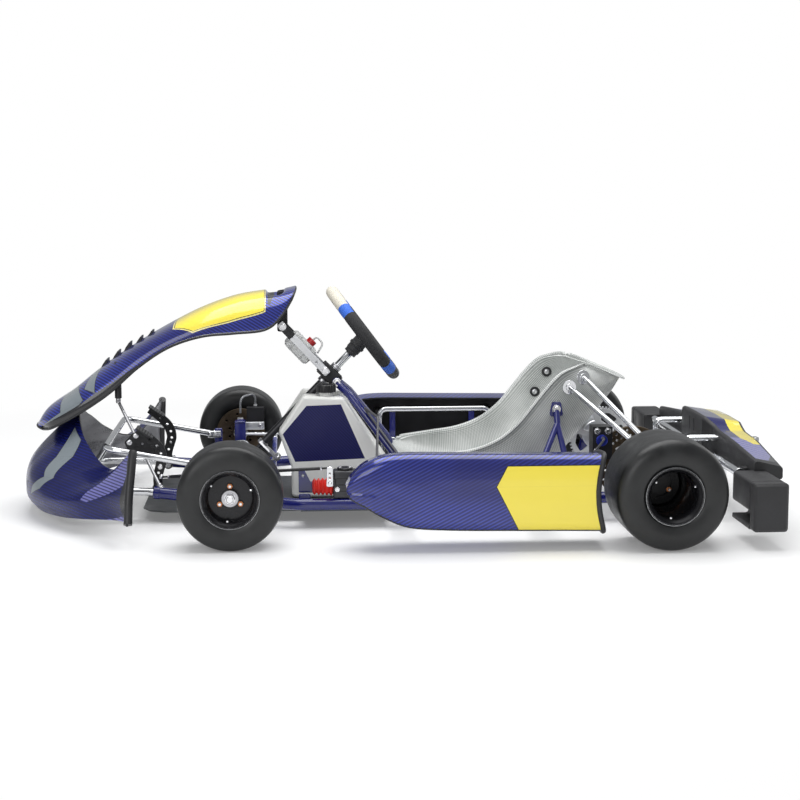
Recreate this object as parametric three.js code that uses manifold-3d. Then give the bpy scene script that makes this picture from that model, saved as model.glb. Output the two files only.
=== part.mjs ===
// Kart chassis: welded tube frame, bodywork, bucket seat, steering, brakes, live rear axle and wheels.
// Millimetres, +Z up. +X points to the back of the kart, -X to its nose, -Y to the driver's left.
// The model is drawn with the front axle line at X = 0 and Z = 0 on the ground, then moved so that
// the origin lies on the ground under the middle of the overall length and width.

import * as THREE from 'three';
import { mergeVertices } from 'three/addons/utils/BufferGeometryUtils.js';
import Module from 'manifold-3d';

const wasm = await Module();
wasm.setup();

// Driving dimensions

const wheelbase = 1045;
const frontOverhang = 564;
const rearOverhang = 320;
const overallLength = frontOverhang + wheelbase + rearOverhang;
const clearance = 0.3;
const weld = 0.0003;
const overrun = 5;

const tyreSides = 28;
const wheelSides = 16;
const holeSides = 10;
const discSides = 22;
const boreSides = 12;
const rodSides = 10;
const tubeSides = 8;
const nutSides = 6;
const bendSteps = 2;
const ballSides = { around: 8, up: 5 };
const facetShare = Math.cos(Math.PI / tyreSides);
const bead = { radius: 64, flange: 6, wall: 4 };
const frontWheel = { tyreRadius: 127.5, tyreWidth: 135, rimWidth: 130, middle: 547 };
const rearWheel = { tyreRadius: 136.5, tyreWidth: 212, rimWidth: 208, middle: 592 };
const frontAxleHeight = frontWheel.tyreRadius * facetShare;
const rearAxleHeight = rearWheel.tyreRadius * facetShare;
const beforeAxle = {
  railNarrow: 185,
  stayFoot: 169,
  crossTube: 140,
  caliperFront: 111,
  caliperRear: 59,
};
const behindAxle = {
  railEnd: 83,
  hoopFront: 152,
  endFront: 191,
  bumperFront: 211,
  barLength: 217,
  pocketRear: 231,
  hoopRear: 251,
  endRear: 275,
  padRear: 300,
};

// Solid helpers

function toSolid(geometry) {
  const bare = geometry.index ? geometry.toNonIndexed() : geometry.clone();
  bare.deleteAttribute('normal');
  bare.deleteAttribute('uv');
  const merged = mergeVertices(bare, weld);
  const corners = merged.attributes.position.array;
  const kept = [];
  for (let face = 0; face < merged.index.count; face += 3) {
    const [a, b, c] = [0, 1, 2].map((corner) => merged.index.getX(face + corner));
    if (a !== b && b !== c && c !== a) kept.push(a, b, c);
  }
  const point = (index) => new THREE.Vector3().fromArray(corners, index * 3);
  let volume = 0;
  for (let face = 0; face < kept.length; face += 3) {
    const [a, b, c] = [kept[face], kept[face + 1], kept[face + 2]].map(point);
    volume += a.dot(b.cross(c));
  }
  if (volume < 0) kept.reverse();
  return new wasm.Manifold(new wasm.Mesh({
    numProp: 3,
    vertProperties: new Float32Array(corners),
    triVerts: new Uint32Array(kept),
  }));
}

function toGeometry(solid) {
  const mesh = solid.getMesh();
  const geometry = new THREE.BufferGeometry();
  geometry.setAttribute('position', new THREE.BufferAttribute(new Float32Array(mesh.vertProperties), 3));
  geometry.setIndex(new THREE.BufferAttribute(new Uint32Array(mesh.triVerts), 1));
  return geometry;
}

function join(...solids) {
  return solids.reduce((whole, next) => whole.add(next));
}

function cut(solid, ...tools) {
  return tools.reduce((whole, tool) => whole.subtract(tool), solid);
}

// A straight block between two opposite corners.
function block([x0, y0, z0], [x1, y1, z1]) {
  const geometry = new THREE.BoxGeometry(Math.abs(x1 - x0), Math.abs(y1 - y0), Math.abs(z1 - z0));
  geometry.translate((x0 + x1) / 2, (y0 + y1) / 2, (z0 + z1) / 2);
  return toSolid(geometry);
}

// A block of length, width and height along its own axes, turned about Y by the pitch of its length.
function tiltedBlock([length, width, height], [x, y, z], pitch) {
  const geometry = new THREE.BoxGeometry(length, width, height);
  geometry.rotateY(-pitch);
  geometry.translate(x, y, z);
  return toSolid(geometry);
}

// A round bar between two points, with a second radius where it tapers.
function rod(start, end, radius, sides = rodSides, endRadius = radius) {
  const from = new THREE.Vector3(...start);
  const along = new THREE.Vector3(...end).sub(from);
  const geometry = new THREE.CylinderGeometry(endRadius, radius, along.length(), sides);
  geometry.translate(0, along.length() / 2, 0);
  const up = new THREE.Vector3(0, 1, 0);
  geometry.applyQuaternion(new THREE.Quaternion().setFromUnitVectors(up, along.normalize()));
  geometry.translate(from.x, from.y, from.z);
  return toSolid(geometry);
}

// The hole for a bar of the given radius: every flat of it stays the clearance away.
function bore(start, end, radius, sides = boreSides) {
  return rod(start, end, (radius + clearance) / Math.cos(Math.PI / sides), sides);
}

function ball([x, y, z], radius) {
  const geometry = new THREE.SphereGeometry(radius, ballSides.around, ballSides.up);
  geometry.translate(x, y, z);
  return toSolid(geometry);
}

// A line through corner points whose corners are rounded to one bend radius.
// Its points at equal steps are the ends of the straight runs and the steps of each bend.
class BentLine extends THREE.Curve {
  constructor(corners, bendRadius) {
    super();
    const points = corners.map((corner) => new THREE.Vector3(...corner));
    this.nodes = [points[0]];
    for (let index = 1; index < points.length - 1; index += 1) {
      const corner = points[index];
      const back = points[index - 1].clone().sub(corner);
      const ahead = points[index + 1].clone().sub(corner);
      const reach = Math.min(back.length(), ahead.length()) / 2;
      const half = back.angleTo(ahead) / 2;
      const run = Math.min(bendRadius / Math.tan(half), reach);
      const first = corner.clone().addScaledVector(back.normalize(), run);
      const last = corner.clone().addScaledVector(ahead.normalize(), run);
      const arc = new THREE.QuadraticBezierCurve3(first, corner, last);
      for (let step = 0; step <= bendSteps; step += 1) this.nodes.push(arc.getPoint(step / bendSteps));
    }
    this.nodes.push(points[points.length - 1]);
    this.steps = this.nodes.length - 1;
  }

  getPoint(share) {
    const place = share * this.steps;
    const index = Math.min(Math.floor(place), this.steps - 1);
    return this.nodes[index].clone().lerp(this.nodes[index + 1], place - index);
  }

  getPointAt(share) {
    return this.getPoint(share);
  }

  getTangentAt(share) {
    const index = Math.round(share * this.steps);
    const before = this.nodes[Math.max(index - 1, 0)];
    const after = this.nodes[Math.min(index + 1, this.steps)];
    return after.clone().sub(before).normalize();
  }
}

function circleShape(radius, sides) {
  const corners = [];
  for (let side = 0; side < sides; side += 1) {
    const angle = (side / sides) * Math.PI * 2;
    corners.push(new THREE.Vector2(Math.cos(angle) * radius, Math.sin(angle) * radius));
  }
  return new THREE.Shape(corners);
}

// A bent tube through corner points.
function tube(corners, radius, bendRadius, sides = tubeSides) {
  const line = new BentLine(corners, bendRadius);
  return toSolid(new THREE.ExtrudeGeometry(circleShape(radius, sides), {
    steps: line.steps,
    extrudePath: line,
    curveSegments: 1,
  }));
}

// A body turned about a line along Y: the profile holds [radius, place along Y] pairs.
function turned(profile, [x, y, z], sides, turn = 0) {
  const geometry = new THREE.LatheGeometry(profile.map(([r, along]) => new THREE.Vector2(r, along)), sides);
  geometry.rotateY(turn);
  geometry.translate(x, y, z);
  return toSolid(geometry);
}

// A flat plate whose outline lies in the XZ plane, from one Y to another, with round holes.
function plate(outline, fromY, toY, holes = []) {
  const shape = new THREE.Shape(outline.map(([x, z]) => new THREE.Vector2(x, z)));
  for (const [x, z, radius] of holes) {
    const hole = new THREE.Path();
    hole.absarc(x, z, radius / Math.cos(Math.PI / holeSides), 0, Math.PI * 2, true);
    shape.holes.push(hole);
  }
  const depth = Math.abs(toY - fromY);
  const geometry = new THREE.ExtrudeGeometry(shape, {
    depth,
    bevelEnabled: false,
    curveSegments: holeSides / 2,
  });
  geometry.rotateX(Math.PI / 2);
  geometry.translate(0, Math.max(fromY, toY), 0);
  return toSolid(geometry);
}

// A skin of one wall thickness under a surface pointAt(column share, row share).
// A negative wall lies on the other side of the surface; raise lifts the skin off its surface.
function shell(pointAt, columns, rows, wall, raise = 0) {
  const surface = [];
  for (let column = 0; column <= columns; column += 1) {
    for (let row = 0; row <= rows; row += 1) surface.push(pointAt(column / columns, row / rows));
  }
  const at = (column, row) => surface[column * (rows + 1) + row];
  const clamp = (value, most) => Math.min(Math.max(value, 0), most);
  const normals = surface.map((point, index) => {
    const column = Math.floor(index / (rows + 1));
    const row = index % (rows + 1);
    const along = at(clamp(column + 1, columns), row).clone().sub(at(clamp(column - 1, columns), row));
    const across = at(column, clamp(row + 1, rows)).clone().sub(at(column, clamp(row - 1, rows)));
    return along.cross(across).normalize();
  });
  const offset = (distance) => surface.map(
    (point, index) => point.clone().addScaledVector(normals[index], distance),
  );
  const outer = offset(raise * Math.sign(wall));
  const inner = offset(-wall);
  const quads = [];
  const quad = (a, b, c, d) => quads.push(a, b, c, a, c, d);
  for (let column = 0; column < columns; column += 1) {
    for (let row = 0; row < rows; row += 1) {
      const corners = [[column, row], [column + 1, row], [column + 1, row + 1], [column, row + 1]];
      const places = corners.map(([i, j]) => i * (rows + 1) + j);
      quad(...places.map((place) => outer[place]));
      quad(...places.reverse().map((place) => inner[place]));
    }
  }
  const border = [];
  for (let column = 0; column < columns; column += 1) border.push([column, 0]);
  for (let row = 0; row < rows; row += 1) border.push([columns, row]);
  for (let column = columns; column > 0; column -= 1) border.push([column, rows]);
  for (let row = rows; row > 0; row -= 1) border.push([0, row]);
  border.forEach(([column, row], index) => {
    const [nextColumn, nextRow] = border[(index + 1) % border.length];
    const here = column * (rows + 1) + row;
    const next = nextColumn * (rows + 1) + nextRow;
    quad(outer[next], outer[here], inner[here], inner[next]);
  });
  return toSolid(new THREE.BufferGeometry().setFromPoints(quads));
}

// A closed body through rings of equally many points, with flat fans at both ends.
function loft(rings) {
  const faces = [];
  const count = rings[0].length;
  for (let ring = 0; ring < rings.length - 1; ring += 1) {
    for (let index = 0; index < count; index += 1) {
      const next = (index + 1) % count;
      const [a, b] = [rings[ring][index], rings[ring][next]];
      const [c, d] = [rings[ring + 1][next], rings[ring + 1][index]];
      faces.push(a, b, c, a, c, d);
    }
  }
  const middle = (ring) => ring
    .reduce((sum, point) => sum.add(point), new THREE.Vector3())
    .divideScalar(count);
  const first = rings[0];
  const last = rings[rings.length - 1];
  const [firstMiddle, lastMiddle] = [middle(first), middle(last)];
  for (let index = 0; index < count; index += 1) {
    const next = (index + 1) % count;
    faces.push(firstMiddle, first[next], first[index]);
    faces.push(lastMiddle, last[index], last[next]);
  }
  return toSolid(new THREE.BufferGeometry().setFromPoints(faces));
}

// A smooth value from a table of evenly spaced shares.
function smooth(table, share) {
  const place = Math.min(Math.max(share, 0), 1) * (table.length - 1);
  const index = Math.min(Math.floor(place), table.length - 2);
  const at = (i) => table[Math.min(Math.max(i, 0), table.length - 1)];
  const t = place - index;
  const [a, b, c, d] = [at(index - 1), at(index), at(index + 1), at(index + 2)];
  const slopeB = (c - a) / 2;
  const slopeC = (d - b) / 2;
  const t2 = t * t;
  const t3 = t2 * t;
  return b * (2 * t3 - 3 * t2 + 1) + slopeB * (t3 - 2 * t2 + t) + c * (3 * t2 - 2 * t3) + slopeC * (t3 - t2);
}

const kart = new THREE.Group();
kart.position.x = frontOverhang - overallLength / 2;

// Finishes

const finishes = {
  bluePaint: { color: 0x1d2a86, roughness: 0.3, metalness: 0.6 },
  blueBodywork: { color: 0x1a1f8a, roughness: 0.2, metalness: 0.3 },
  chrome: { color: 0xd8dadd, roughness: 0.1, metalness: 1 },
  blackPlastic: { color: 0x222326, roughness: 0.5, metalness: 0 },
  blackMetal: { color: 0x1b1b1d, roughness: 0.4, metalness: 0.7 },
  tyreRubber: { color: 0x262827, roughness: 0.8, metalness: 0 },
  seatFibre: { color: 0xb9bcba, roughness: 0.35, metalness: 0.2 },
  whitePlastic: { color: 0xe9e9e3, roughness: 0.4, metalness: 0 },
  aluminium: { color: 0x9da0a3, roughness: 0.35, metalness: 1 },
  bronzeSteel: { color: 0x5e5347, roughness: 0.4, metalness: 0.9 },
  greyTray: { color: 0x77706a, roughness: 0.45, metalness: 0.6 },
  gripCover: { color: 0x1c1d20, roughness: 0.85, metalness: 0 },
  redRubber: { color: 0xd83a35, roughness: 0.6, metalness: 0 },
};

function place(name, solid, finish) {
  const mesh = new THREE.Mesh(toGeometry(solid), new THREE.MeshStandardMaterial(finishes[finish]));
  mesh.name = name;
  kart.add(mesh);
}

// The two sides of the kart: -1 is the driver's left.
const sides = [['left', -1], ['right', 1]];

// Steering geometry, shared by the column, its supports and the tie rods

const column = {
  hub: { x: 353, z: 456 },
  pitch: THREE.MathUtils.degToRad(45.7),
  radius: 10,
  endRadius: 6,
  armReach: 406,
  bearingReach: 142,
  footReach: 470,
  stubEnd: 482,
};
const columnAlong = { x: Math.cos(column.pitch), z: Math.sin(column.pitch) };

// A point at a distance down the column from the hub, raised square to the column.
function onColumn(down, y = 0, raised = 0) {
  return [
    column.hub.x - columnAlong.x * down - columnAlong.z * raised,
    y,
    column.hub.z - columnAlong.z * down + columnAlong.x * raised,
  ];
}

const pitmanArm = { reach: 56, thickness: 6, halfWidth: 26, holeSpread: 16, neck: 14 };
const tieRod = { eye: 7, radius: 5 };
const tieRodInner = onColumn(
  column.armReach + pitmanArm.thickness / 2 + clearance + tieRod.eye,
  0,
  -pitmanArm.reach,
);

// Front corner geometry

const kingpin = { y: 420, radius: 5, barrelRadius: 14, barrelHeight: 70 };
const yoke = { plate: 8, halfLength: 16, inner: 386, outer: 432, web: 8, pinReach: 12 };
const frontSpindle = { radius: 8.5, end: 606, nutRadius: 13, nutWidth: 11 };
const frontHub = { radius: 21, start: 455, end: 592, flangeRadius: 34, flange: 6 };
const frontDisc = { radius: 72, thickness: 5, y: 462 };
const frontWeb = { y: 574, thickness: 6 };
const frontCaliper = { x0: 18, x1: 70, z0: 138, z1: 204, inner: 440, outer: 476, slot: 0.9 };
const steeringArm = { thickness: 6, halfWidth: 10, boss: 11 };

// Seat surface: a bucket whose section sweeps from the front lip to the top of the back

const seat = {
  frontX: 430,
  length: 615,
  lowZ: 42,
  height: 343,
  halfWidth: 201,
  wall: 5,
  columns: 14,
  rows: 12,
};
const seatFullnessShare = 2.6;
const seatShares = {
  middleX: [0, 0.079, 0.191, 0.319, 0.447, 0.575, 0.688, 0.784, 0.88, 0.952, 1],
  middleZ: [0.259, 0.184, 0.076, 0.012, 0, 0.058, 0.198, 0.388, 0.592, 0.752, 0.878],
  rimX: [0.046, 0.095, 0.191, 0.314, 0.42, 0.505, 0.567, 0.63, 0.694, 0.761, 0.808],
  rimZ: [0.315, 0.324, 0.344, 0.376, 0.449, 0.566, 0.697, 0.837, 0.948, 0.991, 1],
  rimY: [0.82, 0.92, 0.975, 1, 1, 0.985, 0.975, 0.96, 0.925, 0.856, 0.746],
};
function seatPoint(columnShare, rowShare) {
  const across = rowShare * 2 - 1;
  const angle = (Math.abs(across) * Math.PI) / 2;
  const rise = 1 - Math.cos(angle) ** (2 / seatFullnessShare);
  const read = (key) => smooth(seatShares[key], columnShare);
  return new THREE.Vector3(
    seat.frontX + seat.length * THREE.MathUtils.lerp(read('middleX'), read('rimX'), rise),
    seat.halfWidth * read('rimY') * Math.sign(across) * Math.sin(angle) ** (2 / seatFullnessShare),
    seat.lowZ + seat.height * THREE.MathUtils.lerp(read('middleZ'), read('rimZ'), rise),
  );
}
const seatGrown = shell(seatPoint, seat.columns, seat.rows, -seat.wall * 2, clearance);

// Frame

const rail = {
  radius: 15,
  z: 61,
  bend: 90,
  frontX: -205,
  frontY: 235,
  frontZ: 78,
  kneeX: -20,
  kneeY: 262,
  wideX: 170,
  wideY: 340,
  seatX: 600,
  seatY: 345,
  narrowX: wheelbase - beforeAxle.railNarrow,
  rearY: 305,
  endX: wheelbase + behindAxle.railEnd,
};
const outrigger = { radius: 13, x: 0, innerY: 268 };
const barSocket = { depth: 40 };
const lowerBar = { radius: 10, x: -400, z: 86, bend: 55 };
const upperBar = { radius: 8.5, y: 275, frontX: -326, frontZ: 200, endX: -70, endZ: 151, bend: 45 };
const barPost = { radius: 8, y: 150 };
const barLug = { length: 22, forkLength: 18, width: 12, top: 168 };
const clevis = { cheek: 5, height: 20 };
const rearBars = { radius: 12, x: wheelbase + behindAxle.barLength, z: 150, reach: 470, bend: 38 };
const rearHoop = {
  radius: 7,
  y: 172,
  spread: 10,
  frontX: wheelbase + behindAxle.hoopFront,
  rearX: wheelbase + behindAxle.hoopRear,
  topZ: 193,
  bend: 18,
};
const hanger = { halfLength: 34, footHalf: 51, thickness: 7, top: 150, gap: 25 };
const pedalPivot = { x: -199, y: 200, z: 77, radius: 5, start: 232, end: 184 };
const stayShares = { front: 0.5236, top: 0.6748 };
const stay = {
  radius: 8,
  frontX: seat.frontX + seat.length * stayShares.front,
  rearX: wheelbase - beforeAxle.stayFoot,
  topX: seat.frontX + seat.length * stayShares.top,
  topY: 184,
  topZ: 277,
  tab: 18,
  tabThickness: 10,
};
const hose = { radius: 3.5, bend: 26, sides: 6 };
const crossTube = { radius: 13, frontX: 24, seatX: 440, rearX: wheelbase - beforeAxle.crossTube };

function railLine(side) {
  return [
    [rail.frontX, side * rail.frontY, rail.frontZ],
    [rail.kneeX, side * rail.kneeY, rail.z],
    [rail.wideX, side * rail.wideY, rail.z],
    [rail.seatX, side * rail.seatY, rail.z],
    [rail.narrowX, side * rail.rearY, rail.z],
    [rail.endX, side * rail.rearY, rail.z],
  ];
}

// The rail's distance from the middle of the kart at a place along it.
function railYAt(x) {
  const line = railLine(1);
  const index = Math.min(Math.max(line.findIndex(([end]) => end > x), 1), line.length - 1);
  const [x0, y0] = line[index - 1];
  const [x1, y1] = line[index];
  return y0 + ((y1 - y0) * (x - x0)) / (x1 - x0);
}

const pod = {
  frontX: 275,
  rearGap: 18.5,
  lowZ: 44,
  height: 191,
  outerY: 660,
  topInnerY: 562,
  lowInnerY: 522,
  lowFlange: 36,
  wall: 4,
  round: 24,
  roundShare: 0.2,
  bevelShare: 0.32,
  concave: 16,
  overrun: 20,
  rightDrop: 14,
};
const podLength = wheelbase - rearWheel.tyreRadius - pod.rearGap - pod.frontX;

const sideBarShares = { front: 0.24, rear: 0.7984 };
const sideBar = {
  radius: 10,
  frontX: pod.frontX + podLength * sideBarShares.front,
  rearX: pod.frontX + podLength * sideBarShares.rear,
  socketDepth: 10,
  socketReach: 30,
  socketRadius: 13,
  straight: 75,
  dropY: 500,
  outY: 575,
  lowZ: 82,
  topZ: 177,
  bend: 26,
  lowRadius: 8,
  strapFront: 41,
  strapRear: 57,
  strapHalf: 9,
  strapThickness: 4,
};

function barSocketCut(side) {
  const front = new THREE.Vector3(rail.frontX, side * rail.frontY, rail.frontZ);
  const knee = new THREE.Vector3(rail.kneeX, side * rail.kneeY, rail.z);
  const along = knee.sub(front).normalize();
  const deep = front.clone().addScaledVector(along, barSocket.depth);
  const out = front.clone().addScaledVector(along, -overrun);
  return { cut: bore(out.toArray(), deep.toArray(), lowerBar.radius), front, deep, along };
}

function makeRail(side) {
  const yokeTop = frontAxleHeight + kingpin.barrelHeight / 2 + clearance;
  const yokeBottom = frontAxleHeight - kingpin.barrelHeight / 2 - clearance;
  const outriggerEnd = [outrigger.x, side * (yoke.inner + yoke.web / 2), yokeBottom + yoke.plate];
  const yokePlate = (z0, z1) => block(
    [-yoke.halfLength, side * yoke.inner, z0],
    [yoke.halfLength, side * yoke.outer, z1],
  );
  const yokeWeb = block(
    [-yoke.halfLength, side * yoke.inner, yokeBottom - yoke.plate],
    [yoke.halfLength, side * (yoke.inner + yoke.web), yokeTop + yoke.plate],
  );
  const pin = rod(
    [0, side * kingpin.y, yokeBottom - yoke.pinReach],
    [0, side * kingpin.y, yokeTop + yoke.pinReach],
    kingpin.radius,
  );
  const lug = block(
    [upperBar.endX, side * (upperBar.y - barLug.width / 2), rail.z],
    [upperBar.endX + barLug.length, side * (upperBar.y + barLug.width / 2), barLug.top],
  );
  const lugFoot = block(
    [upperBar.endX, side * (railYAt(upperBar.endX) - barLug.width / 2), rail.z - barLug.width / 2],
    [upperBar.endX + barLug.length, side * (upperBar.y + barLug.width / 2), rail.z + barLug.width],
  );
  const pivot = rod(
    [pedalPivot.x, side * pedalPivot.start, pedalPivot.z],
    [pedalPivot.x, side * pedalPivot.end, pedalPivot.z],
    pedalPivot.radius,
  );
  const stayLeg = (x) => rod(
    [x, side * railYAt(x), rail.z],
    [stay.topX, side * (stay.topY + stay.radius), stay.topZ],
    stay.radius,
    tubeSides,
  );
  const stayTab = plate(
    [
      [stay.topX - stay.tab, stay.topZ - stay.tab],
      [stay.topX + stay.tab, stay.topZ - stay.tab],
      [stay.topX + stay.tab / 2, stay.topZ + stay.tab],
      [stay.topX - stay.tab / 2, stay.topZ + stay.tab],
    ],
    side * stay.topY,
    side * (stay.topY + stay.tabThickness),
  );
  const hangerPlate = (offset) => plate(
    [
      [wheelbase - hanger.footHalf, rail.z],
      [wheelbase + hanger.footHalf, rail.z],
      [wheelbase + hanger.halfLength, hanger.top],
      [wheelbase - hanger.halfLength, hanger.top],
    ],
    side * (rail.rearY + offset),
    side * (rail.rearY + offset + hanger.thickness),
  );
  const axleHole = bore(
    [wheelbase, side * (rail.rearY - hanger.gap), rearAxleHeight],
    [wheelbase, side * (rail.rearY + hanger.gap), rearAxleHeight],
    carrier.radius,
    discSides,
  );
  const innerPlate = hangerPlate(-hanger.gap / 2 - hanger.thickness / 2);
  const outerPlate = hangerPlate(hanger.gap / 2 - hanger.thickness / 2);
  const hangers = cut(join(innerPlate, outerPlate), axleHole);
  const rearSocket = bore(
    [rail.endX - barSocket.depth, side * rail.rearY, rail.z],
    [rail.endX + overrun, side * rail.rearY, rail.z],
    rearBars.radius,
  );
  const sideSocket = (x) => rod(
    [x, side * railYAt(x), rail.z],
    [x, side * (railYAt(x) + sideBar.socketReach), rail.z],
    sideBar.socketRadius,
  );
  const socketBore = (x) => bore(
    [x, side * (railYAt(x) + sideBar.socketDepth - clearance), rail.z],
    [x, side * (railYAt(x) + sideBar.socketReach + overrun), rail.z],
    sideBar.radius,
  );
  const body = join(
    tube(railLine(side), rail.radius, rail.bend),
    tube([[outrigger.x, side * outrigger.innerY, rail.z], outriggerEnd], outrigger.radius, rail.bend),
    yokePlate(yokeTop, yokeTop + yoke.plate),
    yokePlate(yokeBottom - yoke.plate, yokeBottom),
    yokeWeb,
    pin,
    lug,
    lugFoot,
    pivot,
    stayLeg(stay.frontX),
    stayLeg(stay.rearX),
    stayTab,
    hangers,
    sideSocket(sideBar.frontX),
    sideSocket(sideBar.rearX),
  );
  const bores = [socketBore(sideBar.frontX), socketBore(sideBar.rearX)];
  return cut(body, barSocketCut(side).cut, rearSocket, ...bores, seatGrown);
}

const carrier = {
  radius: 42,
  innerHalf: 26,
  outerRadius: 38,
  outerStart: 13,
  boreStart: 39,
  lugTop: 214,
  lugHalf: 30,
  lugThickness: 8,
  lugY: 368,
};

for (const [name, side] of sides) place(`${name}_main_rail`, makeRail(side), 'bluePaint');

// Cross tubes end on the rails, cut to the rails' round with the clearance.
function railGrown(side) {
  return tube(railLine(side), rail.radius + clearance, rail.bend);
}

function makeCrossTube(x, extra = []) {
  const reach = railYAt(x);
  const body = join(rod([x, -reach, rail.z], [x, reach, rail.z], crossTube.radius), ...extra);
  return cut(body, railGrown(-1), railGrown(1));
}

const footBlock = { length: 30, width: 34, height: 34 };
const columnFoot = cut(
  join(
    tiltedBlock(
      [footBlock.length, footBlock.width, footBlock.height],
      onColumn(column.footReach),
      column.pitch,
    ),
    block(
      [crossTube.frontX - crossTube.radius, -footBlock.width / 2, rail.z],
      [crossTube.frontX + crossTube.radius, footBlock.width / 2, onColumn(column.footReach)[2]],
    ),
  ),
  bore(
    onColumn(column.footReach - footBlock.length),
    onColumn(column.stubEnd + overrun),
    column.endRadius,
  ),
);
place('front_cross_tube', makeCrossTube(crossTube.frontX, [columnFoot]), 'bluePaint');
place('seat_cross_tube', makeCrossTube(crossTube.seatX), 'bluePaint');
place('rear_cross_tube', makeCrossTube(crossTube.rearX), 'bluePaint');

// Steering support: two legs that meet at the bearing block

const support = {
  radius: 11,
  topX: 273,
  topY: 33,
  topZ: 334,
  shoulderX: 309,
  shoulderY: 62,
  shoulderZ: 301,
  kneeX: 424,
  kneeY: 152,
  kneeZ: 152,
  footY: 192,
  bend: 60,
  eye: 13,
  eyeThickness: 8,
};
const bearingBlock = { length: 34, width: 44, height: 62 };

function supportLeg(side, grown = 0) {
  return tube(
    [
      [support.topX, side * support.topY, support.topZ],
      [support.shoulderX, side * support.shoulderY, support.shoulderZ],
      [support.kneeX, side * support.kneeY, support.kneeZ],
      [crossTube.seatX, side * support.footY, rail.z],
    ],
    support.radius + grown,
    support.bend,
  );
}

const seatTubeGrown = rod(
  [crossTube.seatX, -rail.seatY, rail.z],
  [crossTube.seatX, rail.seatY, rail.z],
  crossTube.radius + clearance,
);
const bearingCentre = onColumn(column.bearingReach);
const supportBridge = rod(
  [support.topX, -support.topY - support.eyeThickness / 2, support.topZ],
  [support.topX, support.topY + support.eyeThickness / 2, support.topZ],
  support.eye,
);
const bearingSize = [bearingBlock.length, bearingBlock.width, bearingBlock.height];
const blockGrown = tiltedBlock(
  bearingSize.map((length) => length + 2 * clearance),
  bearingCentre,
  column.pitch,
);
place('steering_support', cut(
  join(supportLeg(-1), supportLeg(1), supportBridge),
  blockGrown,
  seatTubeGrown,
  bore(onColumn(0), onColumn(column.footReach), column.radius + clearance),
), 'bluePaint');

const columnBore = bore(
  onColumn(column.bearingReach - bearingBlock.length),
  onColumn(column.bearingReach + bearingBlock.length),
  column.radius,
);
place('column_bearing_block', cut(
  tiltedBlock(bearingSize, bearingCentre, column.pitch),
  columnBore,
), 'blackPlastic');

// Steering column with the pitman arm at its foot

const pitmanOutline = [
  [pitmanArm.neck, -pitmanArm.neck],
  [pitmanArm.neck, pitmanArm.neck],
  [-pitmanArm.reach / 2, pitmanArm.halfWidth],
  [-pitmanArm.reach - pitmanArm.neck / 2, pitmanArm.halfWidth],
  [-pitmanArm.reach - pitmanArm.neck / 2, -pitmanArm.halfWidth],
  [-pitmanArm.reach / 2, -pitmanArm.halfWidth],
];
const pitmanShape = new THREE.Shape(pitmanOutline.map(([raised, y]) => new THREE.Vector2(y, raised)));
const pitmanGeometry = new THREE.ExtrudeGeometry(pitmanShape, {
  depth: pitmanArm.thickness,
  bevelEnabled: false,
});
pitmanGeometry.translate(0, 0, -pitmanArm.thickness / 2);
pitmanGeometry.applyMatrix4(new THREE.Matrix4().makeBasis(
  new THREE.Vector3(0, -1, 0),
  new THREE.Vector3(-columnAlong.z, 0, columnAlong.x),
  new THREE.Vector3(-columnAlong.x, 0, -columnAlong.z),
));
pitmanGeometry.translate(...onColumn(column.armReach));
const boss = { length: 46, socketEnd: 64, radius: 21, neck: 17, plateRadius: 29, plate: 6 };
place('steering_column', join(
  rod(onColumn(boss.length), onColumn(column.armReach + pitmanArm.thickness), column.radius, boreSides),
  rod(onColumn(column.armReach), onColumn(column.stubEnd), column.endRadius, boreSides),
  toSolid(pitmanGeometry),
), 'chrome');

// Steering wheel, tilted a little flatter than the column by its boss

const wheel = {
  pitch: THREE.MathUtils.degToRad(36.9),
  radius: 154,
  gripHalf: 16.5,
  drop: 12.7,
  spokeWidth: 26,
  spokeThickness: 5,
  hubRadius: 32,
  gripSides: 6,
  turns: 24,
};
const spokeTurnShares = [0.75, 0.06, 0.44];
const wheelAlong = { x: Math.cos(wheel.pitch), z: Math.sin(wheel.pitch) };

// A point in the wheel's own frame: across the kart, up the wheel's plane, and out along its normal.
function onWheel(y, up, out) {
  return [
    column.hub.x - wheelAlong.z * (up + wheel.drop) + wheelAlong.x * out,
    y,
    column.hub.z + wheelAlong.x * (up + wheel.drop) + wheelAlong.z * out,
  ];
}

const wheelBasis = new THREE.Matrix4().makeBasis(
  new THREE.Vector3(0, 1, 0),
  new THREE.Vector3(-wheelAlong.z, 0, wheelAlong.x),
  new THREE.Vector3(wheelAlong.x, 0, wheelAlong.z),
);
const ringRadius = wheel.radius - wheel.gripHalf;
const gripGeometry = new THREE.TorusGeometry(ringRadius, wheel.gripHalf, wheel.gripSides, wheel.turns);
gripGeometry.applyMatrix4(wheelBasis);
gripGeometry.translate(...onWheel(0, 0, 0));
const spokes = spokeTurnShares.map((turnShare) => {
  const angle = turnShare * Math.PI * 2;
  const geometry = new THREE.BoxGeometry(ringRadius, wheel.spokeWidth, wheel.spokeThickness);
  geometry.translate(ringRadius / 2, 0, 0);
  geometry.rotateZ(Math.atan2(Math.sin(angle) * ringRadius + wheel.drop, Math.cos(angle) * ringRadius));
  geometry.translate(0, -wheel.drop, 0);
  geometry.applyMatrix4(wheelBasis);
  geometry.translate(...onWheel(0, 0, 0));
  return toSolid(geometry);
});
const wheelHub = rod(
  onWheel(0, -wheel.drop, -wheel.spokeThickness / 2),
  onWheel(0, -wheel.drop, wheel.spokeThickness),
  wheel.hubRadius,
  wheelSides,
);
place('steering_wheel', join(toSolid(gripGeometry), ...spokes, wheelHub), 'gripCover');

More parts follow.
